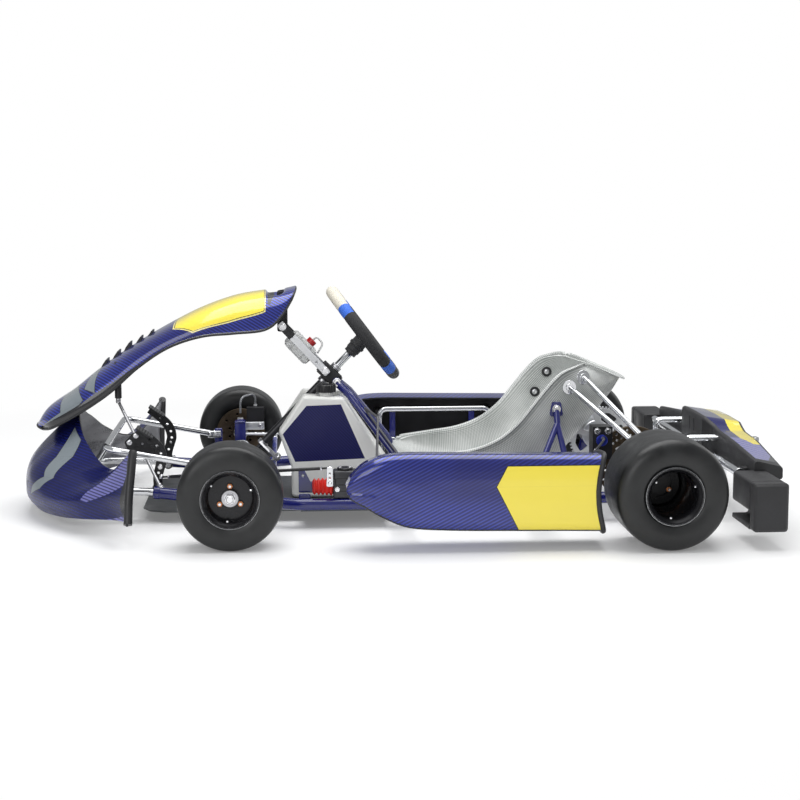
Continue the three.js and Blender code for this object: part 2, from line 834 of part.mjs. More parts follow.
const bossTop = onWheel(0, -wheel.drop, -wheel.spokeThickness / 2 - clearance);
const bossPlateBottom = onWheel(0, -wheel.drop, -wheel.spokeThickness / 2 - clearance - boss.plate);
const shaftSocket = bore(onColumn(boss.length - clearance), onColumn(boss.length * 2), column.radius);
place('steering_boss', cut(
  join(
    rod(bossPlateBottom, bossTop, boss.plateRadius, wheelSides),
    rod(onColumn(boss.socketEnd), bossPlateBottom, boss.neck, boreSides, boss.radius),
  ),
  shaftSocket,
), 'blackMetal');

// Front corners

for (const [name, side] of sides) {
  const at = (x, y, z) => [x, side * y, z];
  const armZ = tieRodInner[2] + tieRod.eye + clearance;
  const armEnd = [tieRodInner[0], side * (kingpin.y - steeringArm.boss), armZ];
  const barrel = rod(
    at(0, kingpin.y, frontAxleHeight - kingpin.barrelHeight / 2),
    at(0, kingpin.y, frontAxleHeight + kingpin.barrelHeight / 2),
    kingpin.barrelRadius,
    boreSides,
  );
  const spindleEnd = at(0, frontSpindle.end, frontAxleHeight);
  const spindle = rod(at(0, kingpin.y, frontAxleHeight), spindleEnd, frontSpindle.radius);
  const shoulder = rod(
    at(0, kingpin.y, frontAxleHeight),
    at(0, frontHub.start - clearance, frontAxleHeight),
    kingpin.barrelRadius,
  );
  const nut = rod(
    at(0, frontHub.end + clearance, frontAxleHeight),
    at(0, frontHub.end + clearance + frontSpindle.nutWidth, frontAxleHeight),
    frontSpindle.nutRadius,
    nutSides,
  );
  const armLength = Math.hypot(armEnd[0], armEnd[1] - side * kingpin.y);
  const armGeometry = new THREE.BoxGeometry(armLength, steeringArm.halfWidth * 2, steeringArm.thickness);
  armGeometry.translate(armLength / 2, 0, 0);
  armGeometry.rotateZ(Math.atan2(armEnd[1] - side * kingpin.y, armEnd[0]));
  armGeometry.translate(0, side * kingpin.y, armZ + steeringArm.thickness / 2);
  const armBoss = rod(armEnd, [armEnd[0], armEnd[1], armZ + steeringArm.thickness], steeringArm.boss);
  const bracketTop = frontAxleHeight + kingpin.barrelHeight / 2 - clearance;
  const caliperBracket = block(
    at(0, frontCaliper.inner - clearance, frontCaliper.z0),
    at(frontCaliper.x1, frontCaliper.inner - clearance - steeringArm.thickness, bracketTop),
  );
  const bracketRoot = block(
    at(0, kingpin.y, frontCaliper.z0),
    at(kingpin.barrelRadius, frontCaliper.inner - clearance, bracketTop),
  );
  place(`${name}_stub_axle`, cut(
    join(barrel, shoulder, spindle, nut, toSolid(armGeometry), armBoss, caliperBracket, bracketRoot),
    bore(at(0, kingpin.y, 0), at(0, kingpin.y, frontAxleHeight * 2), kingpin.radius),
  ), 'aluminium');

  const discHalf = frontDisc.thickness / 2;
  const flangeOuter = frontWeb.y - frontWeb.thickness / 2 - clearance - frontDisc.y;
  const flangeInner = flangeOuter - frontHub.flange;
  place(`${name}_front_hub`, cut(
    turned([
      [0, side * (frontHub.start - frontDisc.y)],
      [frontHub.radius, side * (frontHub.start - frontDisc.y)],
      [frontHub.radius, side * -discHalf],
      [frontDisc.radius, side * -discHalf],
      [frontDisc.radius, side * discHalf],
      [frontHub.radius, side * discHalf],
      [frontHub.radius, side * flangeInner],
      [frontHub.flangeRadius, side * flangeInner],
      [frontHub.flangeRadius, side * flangeOuter],
      [frontHub.radius - clearance, side * flangeOuter],
      [frontHub.radius - clearance, side * (frontHub.end - frontDisc.y)],
      [0, side * (frontHub.end - frontDisc.y)],
    ], at(0, frontDisc.y, frontAxleHeight), wheelSides),
    bore(at(0, kingpin.y, frontAxleHeight), spindleEnd, frontSpindle.radius),
  ), 'bronzeSteel');

  const slotHalf = discHalf + frontCaliper.slot;
  place(`${name}_front_caliper`, cut(
    block(
      at(frontCaliper.x0, frontCaliper.inner, frontCaliper.z0),
      at(frontCaliper.x1, frontCaliper.outer, frontCaliper.z1),
    ),
    bore(
      at(0, frontDisc.y - slotHalf, frontAxleHeight),
      at(0, frontDisc.y + slotHalf, frontAxleHeight),
      frontDisc.radius + frontCaliper.slot,
      discSides,
    ),
  ), 'blackMetal');
}

// Tie rods run level across the kart from the pitman arm to the steering arms.
for (const [name, side] of sides) {
  const innerEye = [tieRodInner[0], side * pitmanArm.holeSpread, tieRodInner[2]];
  const outerEye = [tieRodInner[0], side * (kingpin.y - steeringArm.boss), tieRodInner[2]];
  place(`${name}_tie_rod`, join(
    rod(innerEye, outerEye, tieRod.radius),
    ball(innerEye, tieRod.eye),
    ball(outerEye, tieRod.eye),
  ), 'aluminium');
}

// Wheels

// The tyre's section from bead to tread: shares of its height and of its half width.
const tyreShares = [[0, 0.86], [0.3, 0.99], [0.66, 0.98], [0.88, 0.9], [0.97, 0.78], [1, 0.5]];

function tyreProfile(tyre) {
  const half = tyre.tyreWidth / 2;
  const rise = tyre.tyreRadius - (bead.radius + clearance) / facetShare;
  const inner = (bead.radius + clearance) / facetShare;
  const outer = tyreShares.map(([up, wide]) => [inner + rise * up, half * wide]);
  const mirrored = outer.map(([radius, wide]) => [radius, -wide]).reverse();
  return [...outer, ...mirrored, outer[0]];
}

function rimProfile(tyre, webY, webThickness, boreRadius) {
  const half = tyre.rimWidth / 2;
  const seat = bead.radius;
  const lip = seat + bead.flange;
  const edge = bead.wall;
  const tyreEdge = (tyre.tyreWidth / 2) * tyreShares[0][1] + clearance;
  return [
    [boreRadius, webY - webThickness / 2],
    [seat - bead.wall * 2, webY - webThickness / 2],
    [seat - bead.wall, -half],
    [lip, -half],
    [lip, -Math.max(half - edge, tyreEdge)],
    [seat, -tyreEdge],
    [seat, tyreEdge],
    [lip, Math.max(half - edge, tyreEdge)],
    [lip, half],
    [seat - bead.wall, half],
    [seat - bead.wall * 2, webY + webThickness / 2],
    [boreRadius, webY + webThickness / 2],
    [boreRadius, webY - webThickness / 2],
  ];
}

const rearWeb = { y: 512, thickness: 7 };
const rearHub = { flangeRadius: 40, flange: 8, radius: 33, length: 70 };
const axle = { radius: 25, halfLength: 520 };

for (const [name, side] of sides) {
  const corners = [
    ['front', frontWheel, 0, frontAxleHeight, frontWeb, frontHub.radius],
    ['rear', rearWheel, wheelbase, rearAxleHeight, rearWeb, axle.radius + rearHub.flange],
  ];
  for (const [end, tyre, x, z, web, bore] of corners) {
    const centre = [x, side * tyre.middle, z];
    const facing = (profile) => profile.map(([radius, along]) => [radius, side * along]);
    place(
      `${name}_${end}_tyre`,
      turned(facing(tyreProfile(tyre)), centre, tyreSides, Math.PI / tyreSides),
      'tyreRubber',
    );
    place(
      `${name}_${end}_rim`,
      turned(facing(rimProfile(tyre, web.y - tyre.middle, web.thickness, bore)), centre, wheelSides),
      'blackMetal',
    );
  }
}

// Rear axle with its two hubs, turning in bearing carriers on the rails

const hubOuter = rearWeb.y - rearWeb.thickness / 2 - clearance;
place('rear_axle', join(
  rod(
    [wheelbase, -axle.halfLength, rearAxleHeight],
    [wheelbase, axle.halfLength, rearAxleHeight],
    axle.radius,
    wheelSides,
  ),
  ...sides.flatMap(([, side]) => [
    rod(
      [wheelbase, side * (hubOuter - rearHub.length), rearAxleHeight],
      [wheelbase, side * hubOuter, rearAxleHeight],
      rearHub.radius,
      wheelSides,
    ),
    rod(
      [wheelbase, side * (hubOuter - rearHub.flange), rearAxleHeight],
      [wheelbase, side * hubOuter, rearAxleHeight],
      rearHub.flangeRadius,
      wheelSides,
    ),
  ]),
), 'chrome');

for (const [name, side] of sides) {
  const lugInner = carrier.lugY - carrier.lugThickness / 2;
  const lugOuter = carrier.lugY + carrier.lugThickness / 2;
  place(`${name}_axle_carrier`, cut(
    join(
      rod(
        [wheelbase, side * (rail.rearY - carrier.innerHalf), rearAxleHeight],
        [wheelbase, side * (rail.rearY + carrier.innerHalf), rearAxleHeight],
        carrier.radius,
        discSides,
      ),
      rod(
        [wheelbase, side * (rail.rearY + carrier.outerStart), rearAxleHeight],
        [wheelbase, side * lugOuter, rearAxleHeight],
        carrier.outerRadius,
        discSides,
      ),
      plate(
        [
          [wheelbase - carrier.lugHalf, rearAxleHeight],
          [wheelbase + carrier.lugHalf, rearAxleHeight],
          [wheelbase + carrier.lugHalf, carrier.lugTop],
          [wheelbase - carrier.lugHalf, carrier.lugTop],
        ],
        side * lugInner,
        side * lugOuter,
      ),
    ),
    bore(
      [wheelbase, side * (rail.rearY - carrier.boreStart), rearAxleHeight],
      [wheelbase, side * (lugOuter + overrun), rearAxleHeight],
      axle.radius,
      wheelSides,
    ),
  ), 'aluminium');
}

// Rear brake disc and sprocket are clamped to the axle inboard of the carriers.
const rearDisc = { y: 215, radius: 98, thickness: 12, collar: 36, collarWidth: 34 };
const sprocket = { y: 215, radius: 92, thickness: 6 };

function clampedDisc(y, radius, thickness) {
  return cut(
    join(
      rod(
        [wheelbase, y - thickness / 2, rearAxleHeight],
        [wheelbase, y + thickness / 2, rearAxleHeight],
        radius,
        discSides,
      ),
      rod(
        [wheelbase, y - rearDisc.collarWidth / 2, rearAxleHeight],
        [wheelbase, y + rearDisc.collarWidth / 2, rearAxleHeight],
        rearDisc.collar,
        wheelSides,
      ),
    ),
    bore(
      [wheelbase, y - rearDisc.collarWidth, rearAxleHeight],
      [wheelbase, y + rearDisc.collarWidth, rearAxleHeight],
      axle.radius,
      wheelSides,
    ),
  );
}

place('rear_brake_disc', clampedDisc(-rearDisc.y, rearDisc.radius, rearDisc.thickness), 'bronzeSteel');
place('sprocket', clampedDisc(sprocket.y, sprocket.radius, sprocket.thickness), 'aluminium');

const rearCaliper = {
  x0: wheelbase - beforeAxle.caliperFront,
  x1: wheelbase - beforeAxle.caliperRear,
  y0: 190,
  y1: 240,
  z0: 150,
  z1: 236,
  slot: 1,
  armWidth: 14,
};
place('rear_brake_caliper', cut(
  join(
    block(
      [rearCaliper.x0, -rearCaliper.y0, rearCaliper.z0],
      [rearCaliper.x1, -rearCaliper.y1, rearCaliper.z1],
    ),
    block(
      [rearCaliper.x0, -rearCaliper.y1 + rearCaliper.armWidth, rail.z],
      [rearCaliper.x0 + rearCaliper.armWidth, -rail.rearY, rail.z + rearCaliper.armWidth],
    ),
    block(
      [rearCaliper.x0, -rearCaliper.y1 + rearCaliper.armWidth, rail.z],
      [rearCaliper.x0 + rearCaliper.armWidth, -rearCaliper.y1, rearCaliper.z1],
    ),
  ),
  bore(
    [wheelbase, -rearDisc.y - rearDisc.thickness / 2 - rearCaliper.slot, rearAxleHeight],
    [wheelbase, -rearDisc.y + rearDisc.thickness / 2 + rearCaliper.slot, rearAxleHeight],
    rearDisc.radius + 2 * rearCaliper.slot,
    discSides,
  ),
  railGrown(-1),
), 'blackMetal');

// Floor tray, a shallow pan whose turned-up sides reach the rails

const tray = { frontX: -238, rearX: 402, halfWidth: 252, z: 27, sheet: 3, frontRound: 60, frontBevel: 20 };
const trayOuterY = railYAt(rail.wideX) - rail.radius;
const trayOutline = (frontX, halfWidth) => new THREE.Shape([
  [frontX, -halfWidth + tray.frontRound],
  [frontX + tray.frontBevel, -halfWidth + tray.frontBevel],
  [frontX + tray.frontRound, -halfWidth],
  [tray.rearX, -halfWidth],
  [tray.rearX, halfWidth],
  [frontX + tray.frontRound, halfWidth],
  [frontX + tray.frontBevel, halfWidth - tray.frontBevel],
  [frontX, halfWidth - tray.frontRound],
].map(([x, y]) => new THREE.Vector2(x, y)));
const trayFloor = new THREE.ExtrudeGeometry(trayOutline(tray.frontX, tray.halfWidth), {
  depth: tray.sheet,
  bevelEnabled: false,
});
trayFloor.translate(0, 0, tray.z);
const traySides = sides.map(([, side]) => {
  const top = rail.z - rail.radius - clearance;
  const corner = (x, y, z) => new THREE.Vector3(x, side * y, z);
  const ring = (x) => [
    corner(x, tray.halfWidth - tray.sheet, tray.z),
    corner(x, tray.halfWidth, tray.z),
    corner(x, trayOuterY, top - tray.sheet),
    corner(x, trayOuterY + rail.radius, top - tray.sheet),
    corner(x, trayOuterY + rail.radius, top),
    corner(x, trayOuterY - tray.sheet, top),
    corner(x, tray.halfWidth - tray.sheet, tray.z + tray.sheet),
  ];
  return loft([ring(rail.wideX), ring(tray.rearX)]);
});
place('floor_tray', cut(
  join(toSolid(trayFloor), ...traySides),
  railGrown(-1),
  railGrown(1),
), 'greyTray');

// Front bumper bars

const lowerLine = (side) => {
  const { front, deep, along } = barSocketCut(side);
  return [
    deep.clone().addScaledVector(along, -clearance).toArray(),
    front.clone().addScaledVector(along, -rail.radius).toArray(),
    [lowerBar.x, side * rail.frontY, lowerBar.z],
  ];
};
const upperCorner = (x, side, z) => [x, side * upperBar.y, z];
const upperLine = [
  upperCorner(upperBar.endX, -1, upperBar.endZ),
  upperCorner(upperBar.frontX, -1, upperBar.frontZ),
  upperCorner(upperBar.frontX, 1, upperBar.frontZ),
  upperCorner(upperBar.endX, 1, upperBar.endZ),
];
const upperBarSolid = tube(upperLine, upperBar.radius, upperBar.bend);
const forks = sides.flatMap(([, side]) => [-1, 1].map((cheek) => {
  const inner = side * upperBar.y + cheek * (barLug.width / 2 + clearance);
  const outer = inner + cheek * clevis.cheek;
  return block(
    [upperBar.endX - clevis.height / 2, inner, upperBar.endZ - clevis.height / 2],
    [upperBar.endX + barLug.forkLength, outer, upperBar.endZ + clevis.height / 2],
  );
}));
const headHalf = barLug.width / 2 + clevis.cheek;
const forkHeads = sides.map(([, side]) => block(
  [upperBar.endX - clevis.height, side * upperBar.y - headHalf, upperBar.endZ - clevis.height / 2],
  [upperBar.endX - clearance, side * upperBar.y + headHalf, upperBar.endZ + clevis.height / 2],
));
const lugsGrown = sides.map(([, side]) => block(
  [upperBar.endX - clearance, side * (upperBar.y - barLug.width / 2 - clearance), rail.z],
  [upperBar.endX + barLug.length * 2, side * (upperBar.y + barLug.width / 2 + clearance), barLug.top * 2],
));
place('front_bumper_upper_bar', cut(join(upperBarSolid, ...forkHeads, ...forks), ...lugsGrown), 'chrome');

const posts = sides.map(([, side]) => rod(
  [lowerBar.x, side * barPost.y, lowerBar.z],
  [upperBar.frontX, side * barPost.y, upperBar.frontZ],
  barPost.radius,
  tubeSides,
));
const lowerBarSolid = tube([...lowerLine(-1), ...lowerLine(1).reverse()], lowerBar.radius, lowerBar.bend);
place('front_bumper_lower_bar', cut(
  join(lowerBarSolid, ...posts),
  tube(upperLine, upperBar.radius + clearance, upperBar.bend),
), 'chrome');

// Nose fairing: a wrapped skin from its lower edge over a belly to its upper edge, with a wing at each end

const nose = {
  halfWidth: 560,
  length: 326,
  height: 250,
  lowZ: 22,
  wall: 4,
  lugDepth: 20,
  lugInner: 118,
  lugOuter: 134,
  columns: 18,
  rows: 7,
};
const noseShares = {
  lowX: [0.955, 0.9, 0.79, 0.62, 0.43, 0.1, 0.03],
  lowZ: [0, 0, 0, 0.02, 0.07, 0.12, 0.14],
  bellyX: [1, 0.965, 0.88, 0.72, 0.5, 0.2, 0.02],
  bellyZ: [0.16, 0.16, 0.17, 0.2, 0.26, 0.34, 0.4],
  midX: [0.94, 0.9, 0.8, 0.6, 0.36, 0.14, 0.005],
  midZ: [0.5, 0.48, 0.45, 0.4, 0.42, 0.56, 0.66],
  highX: [0.56, 0.52, 0.42, 0.27, 0.13, 0.03, 0],
  highZ: [1, 0.87, 0.68, 0.53, 0.56, 0.78, 0.82],
  highY: [0, 1, 1, 0.97, 0.92, 0.9, 0.88],
};
const noseMiddleShare = 0.17;
const noseTipX = -frontOverhang;
function nosePoint(columnShare, rowShare) {
  const across = 1 - columnShare * 2;
  const out = Math.abs(across);
  const rowX = ['lowX', 'bellyX', 'midX', 'highX'].map((row) => smooth(noseShares[row], out));
  const rowZ = ['lowZ', 'bellyZ', 'midZ', 'highZ'].map((row) => smooth(noseShares[row], out));
  const narrow = smooth(noseShares.highY, Math.max(out, noseMiddleShare));
  const narrowing = THREE.MathUtils.lerp(1, narrow, rowShare);
  return new THREE.Vector3(
    noseTipX + nose.length * (1 - smooth(rowX, rowShare)),
    across * nose.halfWidth * narrowing,
    nose.lowZ + nose.height * smooth(rowZ, rowShare),
  );
}
const noseLugs = sides.map(([, side]) => block(
  [lowerBar.x - lowerBar.radius - clearance, side * nose.lugInner, lowerBar.z - lowerBar.radius],
  [noseTipX + nose.lugDepth, side * nose.lugOuter, lowerBar.z + lowerBar.radius],
));
const noseSkin = shell(nosePoint, nose.columns, nose.rows, nose.wall);
place('nose_fairing', join(noseSkin, ...noseLugs), 'blueBodywork');

// Front panel: a ridged shield from over the nose up to the steering wheel

const panel = {
  wall: 4,
  startX: -529,
  length: 693,
  lowZ: 224,
  height: 369,
  halfWidth: 140,
  columns: 14,
  rows: 8,
};
const panelFallShare = 2.4;
const panelWidenShare = 0.9;
const panelShares = {
  ridgeX: [0, 0.045, 0.141, 0.255, 0.374, 0.504, 0.633, 0.763, 0.879, 0.948, 1],
  ridgeZ: [0.022, 0.141, 0.266, 0.434, 0.585, 0.726, 0.848, 0.935, 0.973, 0.981, 1],
  edgeX: [0.03, 0.079, 0.183, 0.297, 0.403, 0.518, 0.641, 0.763, 0.879, 0.939, 0.983],
  edgeZ: [0, 0.033, 0.141, 0.285, 0.461, 0.602, 0.678, 0.699, 0.721, 0.802, 0.927],
  edgeY: [0.443, 0.8, 0.943, 0.979, 0.993, 1, 1, 0.986, 0.957, 0.871, 0.686],
};
function panelPoint(columnShare, rowShare) {
  const across = rowShare * 2 - 1;
  const out = Math.abs(across);
  const read = (key) => smooth(panelShares[key], columnShare);
  const fall = out ** panelFallShare;
  const wide = Math.sin((out * Math.PI) / 2) ** panelWidenShare;
  return new THREE.Vector3(
    panel.startX + panel.length * THREE.MathUtils.lerp(read('ridgeX'), read('edgeX'), fall),
    panel.halfWidth * read('edgeY') * Math.sign(across) * wide,
    panel.lowZ + panel.height * THREE.MathUtils.lerp(read('ridgeZ'), read('edgeZ'), fall),
  );
}
const panelSolid = shell(panelPoint, panel.columns, panel.rows, panel.wall);

// Mount bars from the bearing block up to the panel, and a strut from the nose

const panelMountShares = { bars: 0.948, strut: 0.3218 };
const mountBar = {
  y: 38,
  width: 20,
  thickness: 5,
  topX: panel.startX + panel.length * panelMountShares.bars,
  topZ: 487,
  footRaised: 18,
  bolt: 7,
};
const barFoot = onColumn(column.bearingReach, 0, mountBar.footRaised);
const barLength = Math.hypot(barFoot[0] - mountBar.topX, mountBar.topZ - barFoot[2]);
const barPitch = Math.atan2(barFoot[2] - mountBar.topZ, barFoot[0] - mountBar.topX);
const mountBars = sides.map(([, side]) => tiltedBlock(
  [barLength + mountBar.width * 2, mountBar.thickness, mountBar.width],
  [(barFoot[0] + mountBar.topX) / 2, side * mountBar.y, (barFoot[2] + mountBar.topZ) / 2],
  barPitch,
));
const mountBolt = rod(
  [mountBar.topX, -mountBar.y - mountBar.thickness, mountBar.topZ],
  [mountBar.topX, mountBar.y + mountBar.thickness, mountBar.topZ],
  mountBar.bolt,
);
const blockBolts = sides.map(([, side]) => rod(
  [barFoot[0], side * (bearingBlock.width / 2 + clearance), barFoot[2]],
  [barFoot[0], side * (mountBar.y + mountBar.thickness), barFoot[2]],
  mountBar.bolt,
));
place('panel_mount_bars', join(...mountBars, mountBolt, ...blockBolts), 'aluminium');

const panelLug = { x: mountBar.topX, halfLength: 14, thickness: 8, topZ: 584 };
const panelHook = sides.map(([, side]) => cut(
  plate(
    [
      [panelLug.x - panelLug.halfLength, mountBar.topZ - panelLug.halfLength],
      [panelLug.x + panelLug.halfLength, mountBar.topZ - panelLug.halfLength],
      [panelLug.x + panelLug.halfLength, panelLug.topZ],
      [panelLug.x - panelLug.halfLength, panelLug.topZ - panel.wall / 2],
    ],
    side * (mountBar.y - mountBar.thickness),
    side * (mountBar.y - mountBar.thickness - panelLug.thickness),
  ),
  rod(
    [mountBar.topX, -mountBar.y, mountBar.topZ],
    [mountBar.topX, mountBar.y, mountBar.topZ],
    mountBar.bolt + clearance,
  ),
));
const strut = {
  radius: 4,
  topX: panel.startX + panel.length * panelMountShares.strut,
  topY: 96,
  topZ: 297,
  footX: -192,
  bossTopZ: 403,
  head: 9,
  joint: 6.3,
};
const strutBoss = rod(
  [strut.topX, -strut.topY, strut.topZ + strut.head],
  [strut.topX, -strut.topY, strut.bossTopZ],
  strut.head,
);
place('front_panel', join(panelSolid, ...panelHook, strutBoss), 'blueBodywork');

const railSlope = (rail.frontZ - rail.z) / (rail.kneeX - rail.frontX);
const railTopAtStrut = rail.z + railSlope * (rail.kneeX - strut.footX) + rail.radius;
const strutFootY = -railYAt(strut.footX);
place('panel_strut', join(
  rod(
    [strut.topX, -strut.topY, strut.topZ],
    [strut.footX, strutFootY, railTopAtStrut + strut.radius + 2 * clearance],
    strut.radius,
    tubeSides,
  ),
  rod(
    [strut.topX, -strut.topY, strut.topZ - strut.head / 2],
    [strut.topX, -strut.topY, strut.topZ + strut.head - clearance],
    strut.joint,
  ),
  ball([strut.footX, strutFootY, railTopAtStrut + strut.joint + clearance], strut.joint),
), 'aluminium');

// Overflow bottle between the mount bars

const bottle = { length: 84, height: 50, sunk: 5.4 };
const bottleAlongShare = 0.46;
place('overflow_bottle', tiltedBlock(
  [bottle.length, 2 * (mountBar.y - mountBar.thickness / 2 - clearance), bottle.height],
  [
    THREE.MathUtils.lerp(mountBar.topX, barFoot[0], bottleAlongShare) + Math.sin(barPitch) * bottle.sunk,
    0,
    THREE.MathUtils.lerp(mountBar.topZ, barFoot[2], bottleAlongShare) - Math.cos(barPitch) * bottle.sunk,
  ],
  barPitch,
), 'whitePlastic');

// Fuel tank: two lobes with a groove between them for the column, and a screwed cap

const tank = {
  frontX: 115,
  length: 300,
  halfWidth: 90,
  height: 275,
  grooveWidth: 40,
  groove: 18,
  legGap: 2.7,
};
const tankZ = tray.z + tray.sheet + clearance;
const tankShares = [
  [0.22, 1],
  [0.578, 0.98],
  [1, 0.3],
  [0.922, 0.25],
  [0.922, 0],
  [0.112, 0],
  [0.112, 0.3],
  [0.053, 0.475],
  [0, 0.646],
];
const tankOutline = tankShares.map(([x, z]) => [tank.frontX + tank.length * x, tankZ + tank.height * z]);
const cap = { x: 243, y: 58, radius: 26.5, height: 21, neck: 18, neckStart: 275, neckTop: 312 };
const columnGroove = tiltedBlock(
  [column.footReach * 2, tank.grooveWidth, tank.height],
  onColumn(column.footReach / 2, 0, tank.height / 2 - tank.groove),
  column.pitch,
);
place('fuel_tank', join(
  cut(
    plate(tankOutline, -tank.halfWidth, tank.halfWidth),
    columnGroove,
    supportLeg(-1, tank.legGap),
    supportLeg(1, tank.legGap),
  ),
  rod([cap.x, -cap.y, cap.neckStart], [cap.x, -cap.y, cap.neckTop], cap.neck, wheelSides),
), 'whitePlastic');
place('fuel_cap', rod(
  [cap.x, -cap.y, cap.neckTop + clearance],
  [cap.x, -cap.y, cap.neckTop + clearance + cap.height],
  cap.radius,
  wheelSides,
), 'blackPlastic');

// Side bars and side pods

const podShares = {
  x: [0, 0.02, 0.07, 0.14, 0.24, 0.4, 0.62, 0.84, 1],
  top: [0.58, 0.72, 0.88, 0.97, 1, 0.995, 0.985, 0.975, 0.968],
  low: [0.53, 0.43, 0.33, 0.2, 0.075, 0.035, 0.02, 0.01, 0],
  outer: [0.72, 0.82, 0.9, 0.95, 0.975, 0.985, 0.99, 0.995, 1],
};
const lastRing = podShares.x.length - 1;

// One ring of the pod's skin, drawn in by the inset and run out through its open inner side.
function podRing(side, index, inset, runOut) {
  const drop = side > 0 ? pod.rightDrop : 0;
  const top = pod.lowZ + pod.height * podShares.top[index] - inset - drop;
  const low = pod.lowZ + pod.height * podShares.low[index] + inset - drop;
  const outer = pod.topInnerY + (pod.outerY - pod.topInnerY) * podShares.outer[index] - inset;
  const startInset = index === 0 ? 2 * inset : 0;
  const endInset = index === lastRing ? inset : 0;
  const x = pod.frontX + podLength * podShares.x[index] + startInset - endInset;
  const round = Math.min((top - low) * pod.roundShare, pod.round);
  const bevel = round * pod.bevelShare;
  const middle = (top + low) / 2;
  const points = [
    [pod.topInnerY - runOut, top - bevel],
    [outer - round, top],
    [outer - bevel, top - bevel],
    [outer, top - round],
    [outer, middle],
    [outer - pod.wall / 2, low + round],
    [outer - bevel, low + bevel],
    [outer - round, low],
    [Math.min(pod.lowInnerY, outer - pod.lowFlange) - runOut, low],
  ];
  return points.map(([y, z]) => {
    const off = (z - middle) / ((top - low) / 2);
    const bow = index === lastRing ? pod.concave * (1 - off * off) : 0;
    return new THREE.Vector3(x - bow, side * y, z);
  });
}
for (const [name, side] of sides) {
  const bar = (x) => [
    [x, side * (railYAt(x) + sideBar.socketDepth), rail.z],
    [x, side * (railYAt(x) + sideBar.straight), rail.z],
    [x, side * sideBar.dropY, sideBar.lowZ],
    [x, side * sideBar.outY, sideBar.lowZ],
    [x, side * sideBar.outY, sideBar.topZ],
  ];
  const corners = [...bar(sideBar.frontX), ...bar(sideBar.rearX).reverse()];
  const lowBar = rod(
    [sideBar.frontX, side * sideBar.outY, sideBar.lowZ],
    [sideBar.rearX, side * sideBar.outY, sideBar.lowZ],
    sideBar.lowRadius,
  );
  const straps = [sideBar.frontX + sideBar.strapFront, sideBar.rearX - sideBar.strapRear].map((x) => block(
    [x - sideBar.strapHalf, side * (sideBar.outY - sideBar.strapThickness / 2), sideBar.lowZ],
    [x + sideBar.strapHalf, side * (sideBar.outY + sideBar.strapThickness / 2), sideBar.topZ],
  ));
  place(`${name}_side_bar`, join(tube(corners, sideBar.radius, sideBar.bend), lowBar, ...straps), 'chrome');
  const skin = cut(
    loft(podShares.x.map((share, index) => podRing(side, index, 0, 0))),
    loft(podShares.x.map((share, index) => podRing(side, index, pod.wall, pod.overrun))),
  );
  const pads = [sideBar.frontX, sideBar.rearX].map((x) => block(
    [x - sideBar.radius, side * (sideBar.outY + sideBar.radius + clearance), sideBar.topZ - sideBar.radius],
    [x + sideBar.radius, side * (pod.outerY - pod.wall), sideBar.topZ + sideBar.radius],
  ));
  place(`${name}_side_pod`, join(skin, ...pads), 'blueBodywork');
}

place('seat_shell', shell(seatPoint, seat.columns, seat.rows, -seat.wall), 'seatFibre');

// Seat struts from bolted feet on the seat's back down to the lugs of the axle carriers

const seatStrut = {
  radius: 7,
  foot: 12,
  footThickness: 4,
  eye: 9,
  eyeThickness: 9,
  eyeZ: 203,
  eyeSpread: 16,
};
const strutRowShare = 0.05;
const strutColumnShares = { front: 0.79, rear: 0.88 };
const probeShare = 0.01;
const strutPlaces = [
  ['left_front_seat_strut', -1, strutColumnShares.front, wheelbase - seatStrut.eyeSpread],
  ['left_rear_seat_strut', -1, strutColumnShares.rear, wheelbase + seatStrut.eyeSpread],
  ['right_seat_strut', 1, strutColumnShares.front, wheelbase - seatStrut.eyeSpread],
];
for (const [name, side, columnShare, eyeX] of strutPlaces) {
  const row = side < 0 ? strutRowShare : 1 - strutRowShare;
  const onSeat = seatPoint(columnShare, row);
  const along = seatPoint(columnShare + probeShare, row).sub(seatPoint(columnShare - probeShare, row));
  const across = seatPoint(columnShare, row + probeShare).sub(seatPoint(columnShare, row - probeShare));
  const outward = across.cross(along).normalize();
  const footTop = onSeat.clone().addScaledVector(outward, seatStrut.footThickness);
  const footBase = onSeat.clone().addScaledVector(outward, -seatStrut.footThickness);
  const outer = carrier.lugY - carrier.lugThickness / 2 - clearance;
  const inner = outer - seatStrut.eyeThickness;
  place(name, cut(
    join(
      rod(footBase.toArray(), footTop.toArray(), seatStrut.foot),
      rod(onSeat.toArray(), [eyeX, side * inner, seatStrut.eyeZ], seatStrut.radius),
      rod([eyeX, side * inner, seatStrut.eyeZ], [eyeX, side * outer, seatStrut.eyeZ], seatStrut.eye),
    ),
    seatGrown,
  ), 'chrome');
}

// Rear bumper bars and the bumper body they carry

